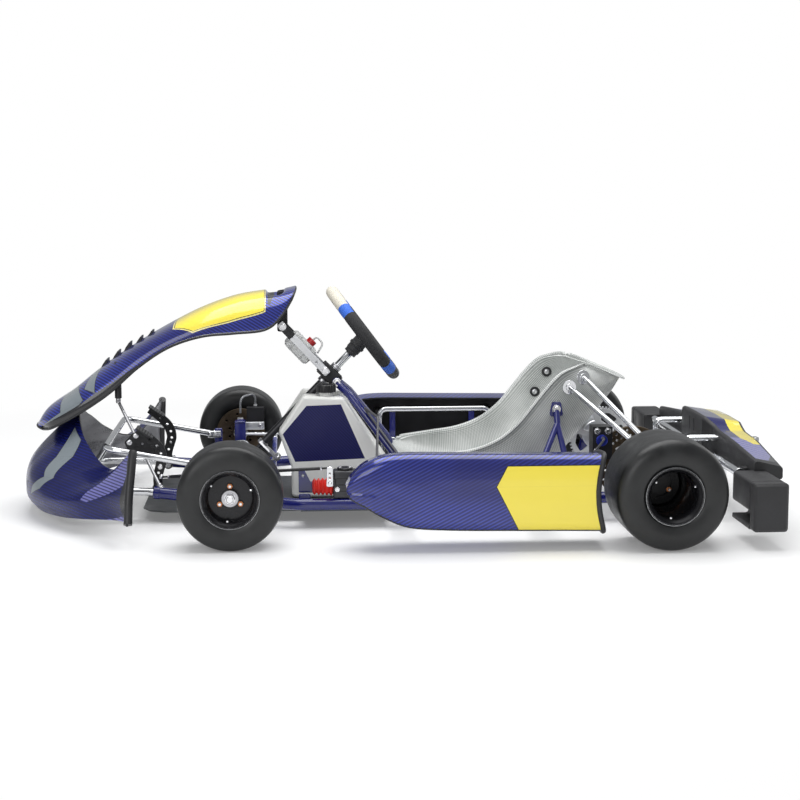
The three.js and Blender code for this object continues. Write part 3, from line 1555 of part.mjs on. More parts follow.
const bumperPad = { y: 445, halfWidth: 12, rearX: wheelbase + behindAxle.padRear };
const socketEnd = rail.endX - barSocket.depth + clearance;
const uprights = sides.map(([, side]) => tube(
  [
    [socketEnd, side * rail.rearY, rail.z],
    [rearBars.x, side * rail.rearY, rail.z],
    [rearBars.x, side * rail.rearY, rearBars.z],
  ],
  rearBars.radius,
  rearBars.bend,
));
function hoopTube(y, radius, further = 0) {
  return tube(
    [
      [rearBars.x, y, rearBars.z],
      [rearHoop.frontX, y, rearBars.z],
      [rearHoop.frontX, y, rearHoop.topZ],
      [rearHoop.rearX + further, y, rearHoop.topZ],
    ],
    radius,
    rearHoop.bend,
    hose.sides,
  );
}
const hoopPlaces = [-1, 1].flatMap((side) => [-1, 1].map(
  (pair) => side * rearHoop.y + pair * rearHoop.spread,
));
place('rear_bumper_bars', join(
  rod(
    [rearBars.x, -rearBars.reach, rearBars.z],
    [rearBars.x, rearBars.reach, rearBars.z],
    rearBars.radius,
  ),
  ...uprights,
  ...hoopPlaces.map((y) => hoopTube(y, rearHoop.radius)),
), 'chrome');

const bumper = {
  frontX: wheelbase + behindAxle.bumperFront,
  length: rearOverhang - behindAxle.bumperFront,
  halfWidth: 512,
  lowZ: 128,
  height: 116,
  round: 10,
};

// The bumper's section at places from its middle to its end, as shares of its width, length and height.
const bumperShares = [
  { out: 0, front: 0, top: 1, rear: 1, rearTop: 0.862, low: 0 },
  { out: 0.2188, front: 0.009, top: 0.983, rear: 1, rearTop: 0.845, low: 0 },
  { out: 0.2734, front: 0.202, top: 0.81, rear: 0.991, rearTop: 0.776, low: 0 },
  { out: 0.3359, front: 0.239, top: 0.724, rear: 0.982, rearTop: 0.707, low: 0 },
  { out: 0.5859, front: 0.257, top: 0.664, rear: 0.963, rearTop: 0.647, low: 0.034 },
  { out: 1, front: 0.275, top: 0.517, rear: 0.936, rearTop: 0.371, low: 0.103 },
];
function bumperRing(shares, side) {
  const [frontX, rearX] = [shares.front, shares.rear].map((share) => bumper.frontX + bumper.length * share);
  const heights = [shares.top, shares.rearTop, shares.low];
  const [topZ, rearTopZ, lowZ] = heights.map((share) => bumper.lowZ + bumper.height * share);
  return [
    [frontX, lowZ],
    [frontX, topZ - bumper.round],
    [frontX + bumper.round, topZ],
    [rearX - bumper.round, rearTopZ],
    [rearX, rearTopZ - bumper.round],
    [rearX, lowZ + bumper.round],
    [rearX - bumper.round, lowZ],
  ].map(([x, z]) => new THREE.Vector3(x, side * shares.out * bumper.halfWidth, z));
}
const bumperRings = [
  ...bumperShares.slice(1).reverse().map((shares) => bumperRing(shares, -1)),
  ...bumperShares.map((shares) => bumperRing(shares, 1)),
];
const bumperEnd = {
  innerY: 500,
  outerY: 690,
  frontX: wheelbase + behindAxle.endFront,
  rearX: wheelbase + behindAxle.endRear,
  lowZ: 45,
  topZ: 162,
  round: 9,
  wall: 40,
};
const bumperPocket = { rearX: wheelbase + behindAxle.pocketRear, lowZ: 57, topZ: 88 };
const bumperEndOutline = [
  [bumperEnd.frontX, bumperEnd.lowZ],
  [bumperEnd.rearX - bumperEnd.round, bumperEnd.lowZ],
  [bumperEnd.rearX, bumperEnd.lowZ + bumperEnd.round],
  [bumperEnd.rearX, bumperEnd.topZ - bumperEnd.round],
  [bumperEnd.rearX - bumperEnd.round, bumperEnd.topZ],
  [bumperEnd.frontX + bumperEnd.round, bumperEnd.topZ],
  [bumperEnd.frontX, bumperEnd.topZ - bumperEnd.round],
  [bumperEnd.frontX, bumperPocket.topZ],
  [bumperPocket.rearX, bumperPocket.topZ],
  [bumperPocket.rearX, bumperPocket.lowZ],
  [bumperEnd.frontX, bumperPocket.lowZ],
];
const bumperEndWall = bumperEndOutline.slice(0, -4);
const padFront = rearBars.x + rearBars.radius + clearance;
const tubeNotch = block(
  [bumperEnd.frontX, -rearBars.reach - overrun, 0],
  [padFront, rearBars.reach + overrun, rearBars.z + rearBars.radius + clearance],
);
place('rear_bumper', cut(
  join(
    loft(bumperRings),
    ...sides.map(([, side]) => plate(bumperEndOutline, side * bumperEnd.innerY, side * bumperEnd.outerY)),
    ...sides.map(([, side]) => plate(
      bumperEndWall,
      side * (bumperEnd.outerY - bumperEnd.wall),
      side * bumperEnd.outerY,
    )),
    ...sides.map(([, side]) => block(
      [padFront, side * (bumperPad.y - bumperPad.halfWidth), rearBars.z - rearBars.radius],
      [bumperPad.rearX, side * (bumperPad.y + bumperPad.halfWidth), rearBars.z + rearBars.radius],
    )),
  ),
  tubeNotch,
  ...hoopPlaces.map((y) => hoopTube(y, rearHoop.radius + clearance, clearance)),
), 'blackPlastic');

// Brake pump on the left rail, with its bellows, bracket and pivot for the lever

const pump = {
  frontX: 252,
  rearX: 313,
  y: 326,
  halfWidth: 24,
  topZ: 147,
  z: 101,
  lidRadius: 20,
  lidHeight: 6,
  cheekGap: 1,
};
const pumpBase = rail.z + rail.radius + clearance;
const bellows = { frontX: 199, radius: 23, neck: 16, ribs: 3 };
const pumpBracket = {
  frontX: 165,
  uprightX: 180,
  shoulderX: 195,
  rearX: 267,
  topZ: 143,
  thickness: 6,
  lowZ: 84,
};
const lever = { x: 243, z: 118, y: 357, thickness: 5, pin: 4, halfWidth: 8, topZ: 160, holeZ: 156 };
const ribLength = (pump.frontX - bellows.frontX) / bellows.ribs;
const ribs = Array.from({ length: bellows.ribs }, (unused, index) => rod(
  [bellows.frontX + ribLength * index, -pump.y, pump.z],
  [bellows.frontX + ribLength * (index + 1) + clearance, -pump.y, pump.z],
  bellows.neck,
  rodSides,
  bellows.radius,
));
const bracketOuterY = -pump.y + pump.halfWidth;
place('brake_pump', join(
  block(
    [pump.frontX, -pump.y - pump.halfWidth, pumpBase],
    [pump.rearX, -pump.y + pump.halfWidth, pump.topZ],
  ),
  rod(
    [(pump.frontX + pump.rearX) / 2, -pump.y, pump.topZ],
    [(pump.frontX + pump.rearX) / 2, -pump.y, pump.topZ + pump.lidHeight],
    pump.lidRadius,
    boreSides,
  ),
  ...ribs,
  plate(
    [
      [pumpBracket.rearX, pumpBracket.lowZ],
      [pumpBracket.rearX, lever.z],
      [pumpBracket.shoulderX, lever.z - pumpBracket.thickness],
      [pumpBracket.uprightX, pumpBracket.topZ],
      [pumpBracket.frontX, pumpBracket.topZ],
      [pumpBracket.frontX, pumpBracket.lowZ],
    ],
    bracketOuterY,
    bracketOuterY + pumpBracket.thickness,
  ),
  block(
    [lever.x - lever.halfWidth, -pump.y - pump.halfWidth + overrun, lever.z - lever.halfWidth],
    [pump.frontX + overrun, -lever.y + pump.cheekGap, lever.z + lever.halfWidth],
  ),
  rod(
    [lever.x, -pump.y - pump.halfWidth, lever.z],
    [lever.x, -lever.y - lever.thickness * 2, lever.z],
    lever.pin,
  ),
), 'aluminium');

place('pump_lever', plate(
  [
    [lever.x - lever.halfWidth, lever.z - lever.halfWidth],
    [lever.x + lever.halfWidth, lever.z - lever.halfWidth],
    [lever.x + lever.halfWidth - 2 * clearance, lever.topZ],
    [lever.x - lever.halfWidth + 2 * clearance, lever.topZ],
  ],
  -lever.y,
  -lever.y - lever.thickness,
  [[lever.x, lever.z, lever.pin + clearance]],
), 'chrome');

// Pedals, and the rod from the brake pedal to the pump lever

const pedal = {
  height: 161,
  armY: 192,
  armHalf: 4,
  bossRadius: 12,
  bossHalf: 5,
  padInnerY: 175,
  padOuterY: 228,
  padThickness: 5,
};

// The pedal's middle line from its pivot up to its pad, as shares of the pedal's height.
const pedalShares = [
  { forward: 0, up: 0, half: 0.0683 },
  { forward: -0.0373, up: 0.2174, half: 0.0683 },
  { forward: -0.1056, up: 0.3913, half: 0.0683 },
  { forward: -0.1242, up: 0.5031, half: 0.0745 },
  { forward: -0.0559, up: 0.6584, half: 0.0745 },
  { forward: 0.0932, up: 0.8137, half: 0.0621 },
  { forward: 0.2919, up: 1, half: 0.0435 },
];
const pedalLine = pedalShares.map((shares) => ({
  forward: shares.forward * pedal.height,
  up: shares.up * pedal.height,
  half: shares.half * pedal.height,
}));
function ribbon(points) {
  const sidePoints = (sign) => points.map(({ x, z, half }, index) => {
    const before = points[Math.max(index - 1, 0)];
    const after = points[Math.min(index + 1, points.length - 1)];
    const run = new THREE.Vector2(after.x - before.x, after.z - before.z).normalize();
    return [x - run.y * half * sign, z + run.x * half * sign];
  });
  return [...sidePoints(1), ...sidePoints(-1).reverse()];
}
const pedalTop = pedalLine[pedalLine.length - 1];
const pedalBend = pedalLine[pedalLine.length - 2];
const padPitch = Math.atan2(pedalBend.up - pedalTop.up, pedalTop.forward - pedalBend.forward);
const padRun = Math.hypot(pedalTop.forward - pedalBend.forward, pedalTop.up - pedalBend.up);
const padLength = padRun + pedal.bossRadius;
const pedals = [['brake_pedal', -1], ['throttle_pedal', 1]];
for (const [name, side] of pedals) {
  const points = pedalLine.map(({ forward, up, half }) => {
    return { x: pedalPivot.x - forward, z: pedalPivot.z + up, half };
  });
  const pad = tiltedBlock(
    [padLength, pedal.padOuterY - pedal.padInnerY, pedal.padThickness],
    [
      pedalPivot.x - (pedalTop.forward + pedalBend.forward) / 2 + pedalTop.half * Math.sin(-padPitch),
      (side * (pedal.padOuterY + pedal.padInnerY)) / 2,
      pedalPivot.z + (pedalTop.up + pedalBend.up) / 2 + pedalTop.half * Math.cos(padPitch),
    ],
    padPitch,
  );
  place(name, cut(
    join(
      plate(ribbon(points), side * (pedal.armY - pedal.armHalf), side * (pedal.armY + pedal.armHalf)),
      rod(
        [pedalPivot.x, side * (pedal.armY - pedal.bossHalf), pedalPivot.z],
        [pedalPivot.x, side * (pedal.armY + pedal.bossHalf), pedalPivot.z],
        pedal.bossRadius,
        boreSides,
      ),
      pad,
    ),
    rod(
      [pedalPivot.x, side * (pedal.armY - pedal.bossHalf - overrun), pedalPivot.z],
      [pedalPivot.x, side * (pedal.armY + pedal.bossHalf + overrun), pedalPivot.z],
      pedalPivot.radius + clearance,
    ),
  ), 'blackMetal');
}

const link = {
  radius: 4,
  frontEye: 6,
  rearEye: 5,
  behindPivot: 9,
  frontY: 202.4,
  frontUp: 35,
  rearY: 351.6,
};
const linkFront = [pedalPivot.x + link.behindPivot, -link.frontY, pedalPivot.z + link.frontUp];
const linkRear = [lever.x, -link.rearY, lever.holeZ];
place('brake_rod', join(
  rod(linkFront, linkRear, link.radius, tubeSides),
  ball(linkFront, link.frontEye),
  ball(linkRear, link.rearEye),
), 'aluminium');

// Brake hoses

const hoseStart = { x: 362 };
const hoseMiddle = [
  { x: 374, y: 205, z: 262 },
  { x: 339, y: 96, z: 278 },
  { x: 375, y: 122, z: 230 },
  { x: 428, y: 170, z: 158 },
  { x: 452, y: 222, z: 96 },
  { x: 520, y: 280, z: 88 },
  { x: 640, y: 304, z: 88 },
  { x: 850, y: 268, z: 90 },
  { x: 905, y: 264, z: 94 },
  { x: 938, y: 264, z: 178 },
];
const hoseEnd = { x: 960, y: 264, z: 206 };
place('rear_brake_hose', tube(
  [
    [pump.rearX + clearance, -pump.y, lever.z],
    [hoseStart.x, -pump.y, lever.z],
    ...hoseMiddle.map(({ x, y, z }) => [x, -y, z]),
    [hoseEnd.x, -hoseEnd.y, hoseEnd.z],
    [hoseEnd.x, -rearCaliper.y1 - clearance, hoseEnd.z],
  ],
  hose.radius,
  hose.bend,
  hose.sides,
), 'blackPlastic');

const frontHose = { topZ: 244, innerTopZ: 238, innerTopY: 428, endY: 424, endZ: 190 };
for (const [name, side] of sides) {
  const middleX = (frontCaliper.x0 + frontCaliper.x1) / 2;
  const middleY = (frontCaliper.inner + frontCaliper.outer) / 2;
  place(`${name}_front_brake_hose`, tube(
    [
      [middleX, side * middleY, frontCaliper.z1 + clearance],
      [middleX, side * middleY, frontHose.topZ],
      [0, side * frontHose.innerTopY, frontHose.innerTopZ],
      [0, side * frontHose.endY, frontHose.endZ],
    ],
    hose.radius,
    hose.bend,
    hose.sides,
  ), 'blackPlastic');
}

export default kart;
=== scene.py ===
"""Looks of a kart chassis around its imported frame: bodywork, seat, wheels, brakes and the studio they stand in.

Sizes are in millimetres, drawn with the front axle line at X = 0, and become metres in the frame's place when a
piece is made. +X points to the back of the kart, -Y to the driver's left and +Z up.
"""
import logging
import math
from dataclasses import dataclass, field
from enum import Enum
from itertools import chain
from typing import Sequence

import bmesh
import bpy
import numpy as np
from mathutils import Matrix, Vector


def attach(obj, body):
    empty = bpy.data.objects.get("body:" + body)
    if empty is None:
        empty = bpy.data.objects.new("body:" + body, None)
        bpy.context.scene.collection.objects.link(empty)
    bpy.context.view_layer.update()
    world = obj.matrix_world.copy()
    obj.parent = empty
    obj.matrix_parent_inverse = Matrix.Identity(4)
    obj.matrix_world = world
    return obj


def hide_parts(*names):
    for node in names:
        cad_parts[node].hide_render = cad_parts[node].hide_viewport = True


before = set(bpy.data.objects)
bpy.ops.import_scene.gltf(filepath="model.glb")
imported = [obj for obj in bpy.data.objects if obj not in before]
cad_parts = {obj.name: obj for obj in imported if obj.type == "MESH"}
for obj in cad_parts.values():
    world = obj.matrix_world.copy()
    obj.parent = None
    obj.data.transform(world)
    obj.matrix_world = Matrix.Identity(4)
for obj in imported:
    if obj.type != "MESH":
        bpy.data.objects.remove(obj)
log = logging.getLogger("kart")

MM = 0.001
DATUM_X = 400.5
WELD_GAP = 2e-6
SMOOTH_ANGLE = math.radians(32)
SIDES = (("left", -1), ("right", 1))
ACROSS = (0, 1, 0)
UP = (0, 0, 1)
UPRIGHT_PLATE = ((1, 0, 0), UP, (0, -1, 0))
SIXTHS = np.arange(6) * np.pi / 3
THIRDS = np.radians((90, 210, 330))

Array = np.ndarray
Point = Sequence[float]


class Body(str, Enum):
    """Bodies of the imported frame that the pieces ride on."""

    CHASSIS = "chassis"
    STEERING = "steering"
    REAR_WHEELS = "rear_wheels"
    BRAKE_PEDAL = "brake_pedal_body"
    THROTTLE_PEDAL = "throttle_pedal_body"
    BRAKE_ROD = "brake_rod_body"
    PUMP_LEVER = "pump_lever_body"
    FUEL_CAP = "fuel_cap_body"


# ---------------------------------------------------------------------------------------------------------------
# Numbers and lines


def smooth(table: Sequence[float], share: Array) -> Array:
    """Reads a table of evenly spaced values with a Catmull-Rom curve.

    Args:
        table: values at equal steps.
        share: places from 0 at the first value to 1 at the last.

    Returns:
        The value at each place, a cubic whose slope at a value is half the step between its neighbours.
    """
    values = np.asarray(table, float)
    last = len(values) - 1
    place = np.clip(share, 0, 1) * last
    index = np.minimum(place.astype(int), last - 1)
    t = place - index
    a, b, c, d = (values[np.clip(index + k, 0, last)] for k in (-1, 0, 1, 2))
    slope_b, slope_c = (c - a) / 2, (d - b) / 2
    rise = t * t * (3 - 2 * t)
    return b * (1 - rise) + c * rise + slope_b * (t**3 - 2 * t**2 + t) + slope_c * (t**3 - t**2)


def smooth_rows(rows: Sequence[Array], share: Array) -> Array:
    """Reads a Catmull-Rom curve through whole arrays, one array for each step.

    Args:
        rows: arrays of one shape, at equal steps of the share.
        share: places from 0 to 1, in the arrays' shape.

    Returns:
        The value at each place.
    """
    stack = np.stack(rows)
    last = len(stack) - 1
    place = np.clip(share, 0, 1) * last
    index = np.minimum(place.astype(int), last - 1)
    t = place - index

    def at(k: int) -> Array:
        """Row index + k, kept inside the stack."""
        return np.take_along_axis(stack, np.clip(index + k, 0, last)[None], 0)[0]

    a, b, c, d = at(-1), at(0), at(1), at(2)
    slope_b, slope_c = (c - a) / 2, (d - b) / 2
    rise = t * t * (3 - 2 * t)
    return b * (1 - rise) + c * rise + slope_b * (t**3 - 2 * t**2 + t) + slope_c * (t**3 - t**2)


def unit(vector: Point) -> Array:
    """The vector at length one."""
    v = np.asarray(vector, float)
    return v / np.linalg.norm(v)


def bent_line(corners: Sequence[Point], bend: float, steps: int = 8) -> Array:
    """Rounds a line's corners: each corner becomes a quadratic arc that starts and ends on its two runs.

    Args:
        corners: the line's corner points.
        bend: bend radius.
        steps: steps of each arc.

    Returns:
        Points of the rounded line.
    """
    pts = np.asarray(corners, float)
    line = [pts[:1]]
    for before, corner, after in zip(pts[:-2], pts[1:-1], pts[2:]):
        back, ahead = before - corner, after - corner
        reach = min(np.linalg.norm(back), np.linalg.norm(ahead)) / 2
        half = math.acos(np.clip(unit(back) @ unit(ahead), -1, 1)) / 2
        run = min(bend / math.tan(half), reach)
        first, last = corner + unit(back) * run, corner + unit(ahead) * run
        t = np.linspace(0, 1, steps + 1)[:, None]
        line.append((1 - t) ** 2 * first + 2 * t * (1 - t) * corner + t**2 * last)
    line.append(pts[-1:])
    path = np.vstack(line)
    step = np.linalg.norm(np.diff(path, axis=0), axis=1)
    return path[np.concatenate([[True], step > WELD_GAP])]


def basis(axis: Point) -> tuple[Array, Array, Array]:
    """Three square directions, the last along the axis; an axis along Y gives +-X and Z, so bands start alike."""
    n = unit(axis)
    helper = np.array([0.0, 0.0, 1.0]) if abs(n[2]) < 0.9 else np.array([1.0, 0.0, 0.0])
    e1 = unit(np.cross(helper, n))
    return e1, np.cross(n, e1), n


# ---------------------------------------------------------------------------------------------------------------
# Shapes as whole arrays


@dataclass
class Form:
    """A closed shape: points in millimetres, faces by index, a finish number for each face and a map place for
    each point."""

    points: Array
    faces: list[tuple[int, ...]]
    marks: list[int]
    places: Array | None = None

    def mirrored(self) -> "Form":
        """The shape on the kart's other side, with its faces turned to point outwards again."""
        flipped = [face[::-1] for face in self.faces]
        return Form(self.points * [1, -1, 1], flipped, self.marks, self.places)


def outward(form: Form) -> Form:
    """Turns a closed shape's faces outwards, by the sign of the sum of its faces' cones to the origin."""
    sizes = np.fromiter(map(len, form.faces), int)
    flat = np.fromiter(chain.from_iterable(form.faces), int, sizes.sum())
    starts = np.concatenate([[0], np.cumsum(sizes)[:-1]])
    following = np.roll(flat, -1)
    following[starts + sizes - 1] = flat[starts]
    first = np.repeat(flat[starts], sizes)
    middle = form.points.mean(axis=0)
    p = form.points - middle
    volume = np.einsum("ij,ij->", p[first], np.cross(p[flat], p[following]))
    if volume < 0:
        form.faces = [face[::-1] for face in form.faces]
    return form


def joined(*forms: Form) -> Form:
    """Several shapes as one, each with its own points."""
    base = np.cumsum([0] + [len(f.points) for f in forms])
    faces = [tuple(i + b for i in face) for f, b in zip(forms, base) for face in f.faces]
    marks = [mark for f in forms for mark in f.marks]
    places = np.vstack([np.zeros((len(f.points), 2)) if f.places is None else f.places for f in forms])
    return Form(np.vstack([f.points for f in forms]), faces, marks, places)


def grid(points: Array, wrap: tuple[bool, bool] = (False, False), caps: bool = False) -> Form:
    """A surface over a grid of points, as a closed shape.

    Args:
        points: rows x columns x 3 places.
        wrap: whether the rows and the columns run round.
        caps: flat faces over the first and the last row.

    Returns:
        The shape with its faces outwards.
    """
    rows, columns = points.shape[:2]
    ids = np.arange(rows * columns).reshape(rows, columns)
    round_ids = np.vstack([ids, ids[:1]]) if wrap[0] else ids
    round_ids = np.hstack([round_ids, round_ids[:, :1]]) if wrap[1] else round_ids
    corners = (round_ids[:-1, :-1], round_ids[1:, :-1], round_ids[1:, 1:], round_ids[:-1, 1:])
    faces = [tuple(q) for q in np.stack(corners, axis=-1).reshape(-1, 4).tolist()]
    if caps:
        faces += [tuple(ids[0, ::-1].tolist()), tuple(ids[-1].tolist())]
    return outward(Form(points.reshape(-1, 3), faces, [0] * len(faces)))


def skin(points: Array, wall: float, marks: tuple[int, int, int] = (0, 0, 0), places: Array | None = None) -> Form:
    """A sheet with a wall: a second surface lies the wall's thickness along the normals, and a strip closes the rim.

    Args:
        points: rows x columns x 3 places of the outer surface.
        wall: thickness, towards the side that its sign gives.
        marks: finish numbers of the outer side, the inner side and the rim.
        places: rows x columns x 2 map places.

    Returns:
        The closed shape with its faces outwards.
    """
    rows, columns = points.shape[:2]
    normal = np.cross(np.gradient(points, axis=0), np.gradient(points, axis=1))
    normal /= np.maximum(np.linalg.norm(normal, axis=2, keepdims=True), 1e-9)
    inner = points - normal * wall
    ids = np.arange(rows * columns).reshape(rows, columns)
    corners = np.stack((ids[:-1, :-1], ids[1:, :-1], ids[1:, 1:], ids[:-1, 1:]), axis=-1).reshape(-1, 4)
    rim = np.concatenate([ids[:-1, 0], ids[-1, :-1], ids[:0:-1, -1], ids[0, :0:-1]])
    after = np.roll(rim, -1)
    shift = rows * columns
    strip = np.stack([after, rim, rim + shift, after + shift], axis=-1)
    faces = [tuple(q) for q in np.vstack([corners, corners[:, ::-1] + shift, strip]).tolist()]
    counts = (len(corners), len(corners), len(strip))
    all_marks = [mark for mark, count in zip(marks, counts) for _ in range(count)]
    flat = None if places is None else np.tile(places.reshape(-1, 2), (2, 1))
    both = np.vstack([points.reshape(-1, 3), inner.reshape(-1, 3)])
    return outward(Form(both, faces, all_marks, flat))


def tube(path: Array, radius: float | Array, sides: int = 18, closed: bool = False) -> Form:
    """A round bar along a line: rings of equal angles, whose directions are carried along without twisting.

    Args:
        path: points of the line.
        radius: one radius, or one for each point.
        sides: points of each ring.
        closed: whether the line runs round.

    Returns:
        The closed shape, with flat ends where the line is open.
    """
    pts = np.asarray(path, float)
    before, after = np.roll(pts, 1, axis=0), np.roll(pts, -1, axis=0)
    if not closed:
        before[0], after[-1] = pts[0], pts[-1]
    along = after - before
    along /= np.linalg.norm(along, axis=1, keepdims=True)
    normal = np.empty_like(pts)
    normal[0] = basis(along[0])[0]
    for k in range(1, len(pts)):
        carried = normal[k - 1] - along[k] * (normal[k - 1] @ along[k])
        normal[k] = carried / np.linalg.norm(carried)
    across = np.cross(along, normal)
    angle = np.linspace(0, 2 * np.pi, sides + 1)
    reach = np.broadcast_to(np.asarray(radius, float), len(pts))[:, None, None]
    ring = normal[:, None] * np.cos(angle)[None, :, None] + across[:, None] * np.sin(angle)[None, :, None]
    form = grid(pts[:, None] + reach * ring, (closed, False), not closed)
    length = np.concatenate([[0], np.cumsum(np.linalg.norm(np.diff(pts, axis=0), axis=1))])
    around = angle[None] * float(np.max(reach))
    form.places = np.stack(np.broadcast_arrays(length[:, None], around), -1).reshape(-1, 2)
    return form


def lathe(
    profile: Sequence[tuple[float, float]],
    origin: Point,
    axis: Point = (0, 1, 0),
    sides: int = 48,
    loop: bool = False,
) -> Form:
    """Turns a profile about an axis.

    Args:
        profile: pairs of radius and distance along the axis; open ones start and end on the axis or get flat ends.
        origin: point that the distances start from.
        axis: direction of the axis.
        sides: steps round.
        loop: whether the profile runs round, as a ring's does.

    Returns:
        The closed shape.
    """
    e1, e2, n = basis(axis)
    radius, along = np.asarray(profile, float).T
    angle = np.linspace(0, 2 * np.pi, sides + 1)
    ring = e1 * np.cos(angle)[:, None] + e2 * np.sin(angle)[:, None]
    points = np.asarray(origin, float) + along[:, None, None] * n + radius[:, None, None] * ring
    form = grid(points, (loop, False), not loop)
    form.places = np.stack(np.broadcast_arrays(angle[None], radius[:, None]), -1).reshape(-1, 2)
    return form


def rod(start: Point, end: Point, radius: float, sides: int = 24, chamfer: float = 0.6) -> Form:
    """A round bar between two points with chamfered ends."""
    axis = np.subtract(end, start)
    length = float(np.linalg.norm(axis))
    edge = min(chamfer, radius / 3, length / 3)
    profile = [
        (0, 0), (radius - edge, 0), (radius, edge), (radius, length - edge), (radius - edge, length), (0, length),
    ]
    return lathe(profile, start, axis, sides)


def ball(centre: Point, radius: float) -> Form:
    """A ball: the profile is a half circle."""
    t = np.linspace(0, np.pi, 13)
    return lathe(np.stack([radius * np.sin(t), -radius * np.cos(t)], -1), centre, (0, 0, 1), 20)


def nut(centre: Point, axis: Point, across: float, height: float) -> Form:
    """A hexagon nut or head standing on a point: six flats whose corners are taken off at both faces."""
    corner = across / math.sqrt(3)
    edge = height * 0.18
    low = corner * 0.9
    profile = [(0, 0), (low, 0), (corner, edge), (corner, height - edge), (low, height), (0, height)]
    return lathe(profile, centre, axis, 6)


def bolt(centre: Point, axis: Point, radius: float, height: float = 0) -> Form:
    """A washer and a socket head with its recess, standing on a point, for a thread of the radius."""
    tall = height or radius * 1.3
    n = unit(axis)
    washer = rod(centre, np.add(centre, n * radius * 0.35), radius * 2.1, 20, radius * 0.1)
    head = radius * 1.6
    profile = [
        (0, 0), (head, 0), (head, tall * 0.85), (head * 0.88, tall),
        (head * 0.5, tall), (head * 0.5, tall * 0.45), (0, tall * 0.45),
    ]
    return joined(washer, lathe(profile, np.add(centre, n * radius * 0.35), axis, 20))


def rounded_box(
    centre: Point,
    size: Point,
    radius: float,
    axes: Sequence[Point] = ((1, 0, 0), (0, 1, 0), (0, 0, 1)),
    steps: int = 3,
) -> Form:
    """A box with round edges: the eighths of a ball, pushed out to the corners of the inner box.

    Args:
        centre: middle of the box.
        size: full length along each of its axes.
        radius: radius of the edges.
        axes: the box's own directions.
        steps: steps of each quarter round.

    Returns:
        The closed shape.
    """
    edge = min(radius, min(size) / 2 * 0.98)
    quarter = np.linspace(0, np.pi / 2, steps + 1)
    around = np.concatenate([quarter + k * np.pi / 2 for k in range(4)])
    sx = np.repeat([1, -1, -1, 1], steps + 1)
    sy = np.repeat([1, 1, -1, -1], steps + 1)
    up = np.concatenate([quarter - np.pi / 2, quarter])
    sz = np.repeat([-1, 1], steps + 1)
    lat, lon = up[:, None], around[None]
    dx, dy = np.cos(lat) * np.cos(lon), np.cos(lat) * np.sin(lon)
    dz = np.broadcast_to(np.sin(lat), dx.shape)
    half = np.asarray(size, float) / 2 - edge
    local = np.stack(
        [sx[None] * half[0] + edge * dx, sy[None] * half[1] + edge * dy, sz[:, None] * half[2] + edge * dz], -1,
    )
    frame_axes = np.array([unit(a) for a in axes])
    return grid(np.asarray(centre, float) + local @ frame_axes, (False, True), True)


def loft(rings: Array) -> Form:
    """A closed shape through rings of equally many points, with flat ends."""
    return grid(rings, (False, True), True)


def flat_plate(
    outline: Array,
    holes: Sequence[Array],
    thickness: float,
    origin: Point,
    axes: Sequence[Point],
    bevel: float = 0.5,
) -> Form:
    """A flat plate with holes and soft edges, filled as a flat curve and made a mesh.

    Args:
        outline: points of the rim, in the plate's own two directions.
        holes: points of each hole's rim.
        thickness: thickness, half on each side of the plane.
        origin: point of the plane that the outline starts from.
        axes: the plate's two directions and its normal.
        bevel: size of the soft edge.

    Returns:
        The closed shape.
    """
    curve = bpy.data.curves.new("plate", "CURVE")
    curve.dimensions = "2D"
    curve.fill_mode = "BOTH"
    edge = min(bevel, thickness / 3)
    curve.extrude = (thickness / 2 - edge) * MM
    curve.bevel_depth = edge * MM
    curve.bevel_resolution = 0
    curve.offset = -edge * MM
    for ring in [outline, *holes]:
        spline = curve.splines.new("POLY")
        spline.points.add(len(ring) - 1)
        spline.points.foreach_set("co", np.c_[np.asarray(ring) * MM, np.zeros(len(ring)), np.ones(len(ring))].ravel())
        spline.use_cyclic_u = True
    holder = bpy.data.objects.new("plate", curve)
    mesh = bpy.data.meshes.new_from_object(holder)
    work = bmesh.new()
    work.from_mesh(mesh)
    bmesh.ops.remove_doubles(work, verts=work.verts, dist=WELD_GAP)
    bmesh.ops.recalc_face_normals(work, faces=work.faces)
    work.to_mesh(mesh)
    work.free()
    local = np.empty(len(mesh.vertices) * 3)
    mesh.vertices.foreach_get("co", local)
    local = local.reshape(-1, 3) / MM
    faces = [tuple(p.vertices) for p in mesh.polygons]
    bpy.data.objects.remove(holder)
    bpy.data.curves.remove(curve)
    bpy.data.meshes.remove(mesh)
    points = np.asarray(origin, float) + local @ np.array([unit(a) for a in axes])
    return outward(Form(points, faces, [0] * len(faces)))


def circle(x: float, y: float, radius: float, steps: int = 24) -> Array:
    """Points of a circle."""
    angle = np.linspace(0, 2 * np.pi, steps, endpoint=False)
    return np.stack([x + radius * np.cos(angle), y + radius * np.sin(angle)], -1)


def rounded_outline(corners: Sequence[Point], radius: float, steps: int = 5) -> Array:
    """A flat outline with its corners rounded by quadratic arcs."""
    pts = [np.array([*c, 0.0]) for c in corners]
    ring = []
    for before, corner, after in zip(pts[-1:] + pts[:-1], pts, pts[1:] + pts[:1]):
        ring.append(bent_line([(before + corner) / 2, corner, (corner + after) / 2], radius, steps)[1:-1, :2])
    return np.vstack(ring)


# ---------------------------------------------------------------------------------------------------------------
# Finishes


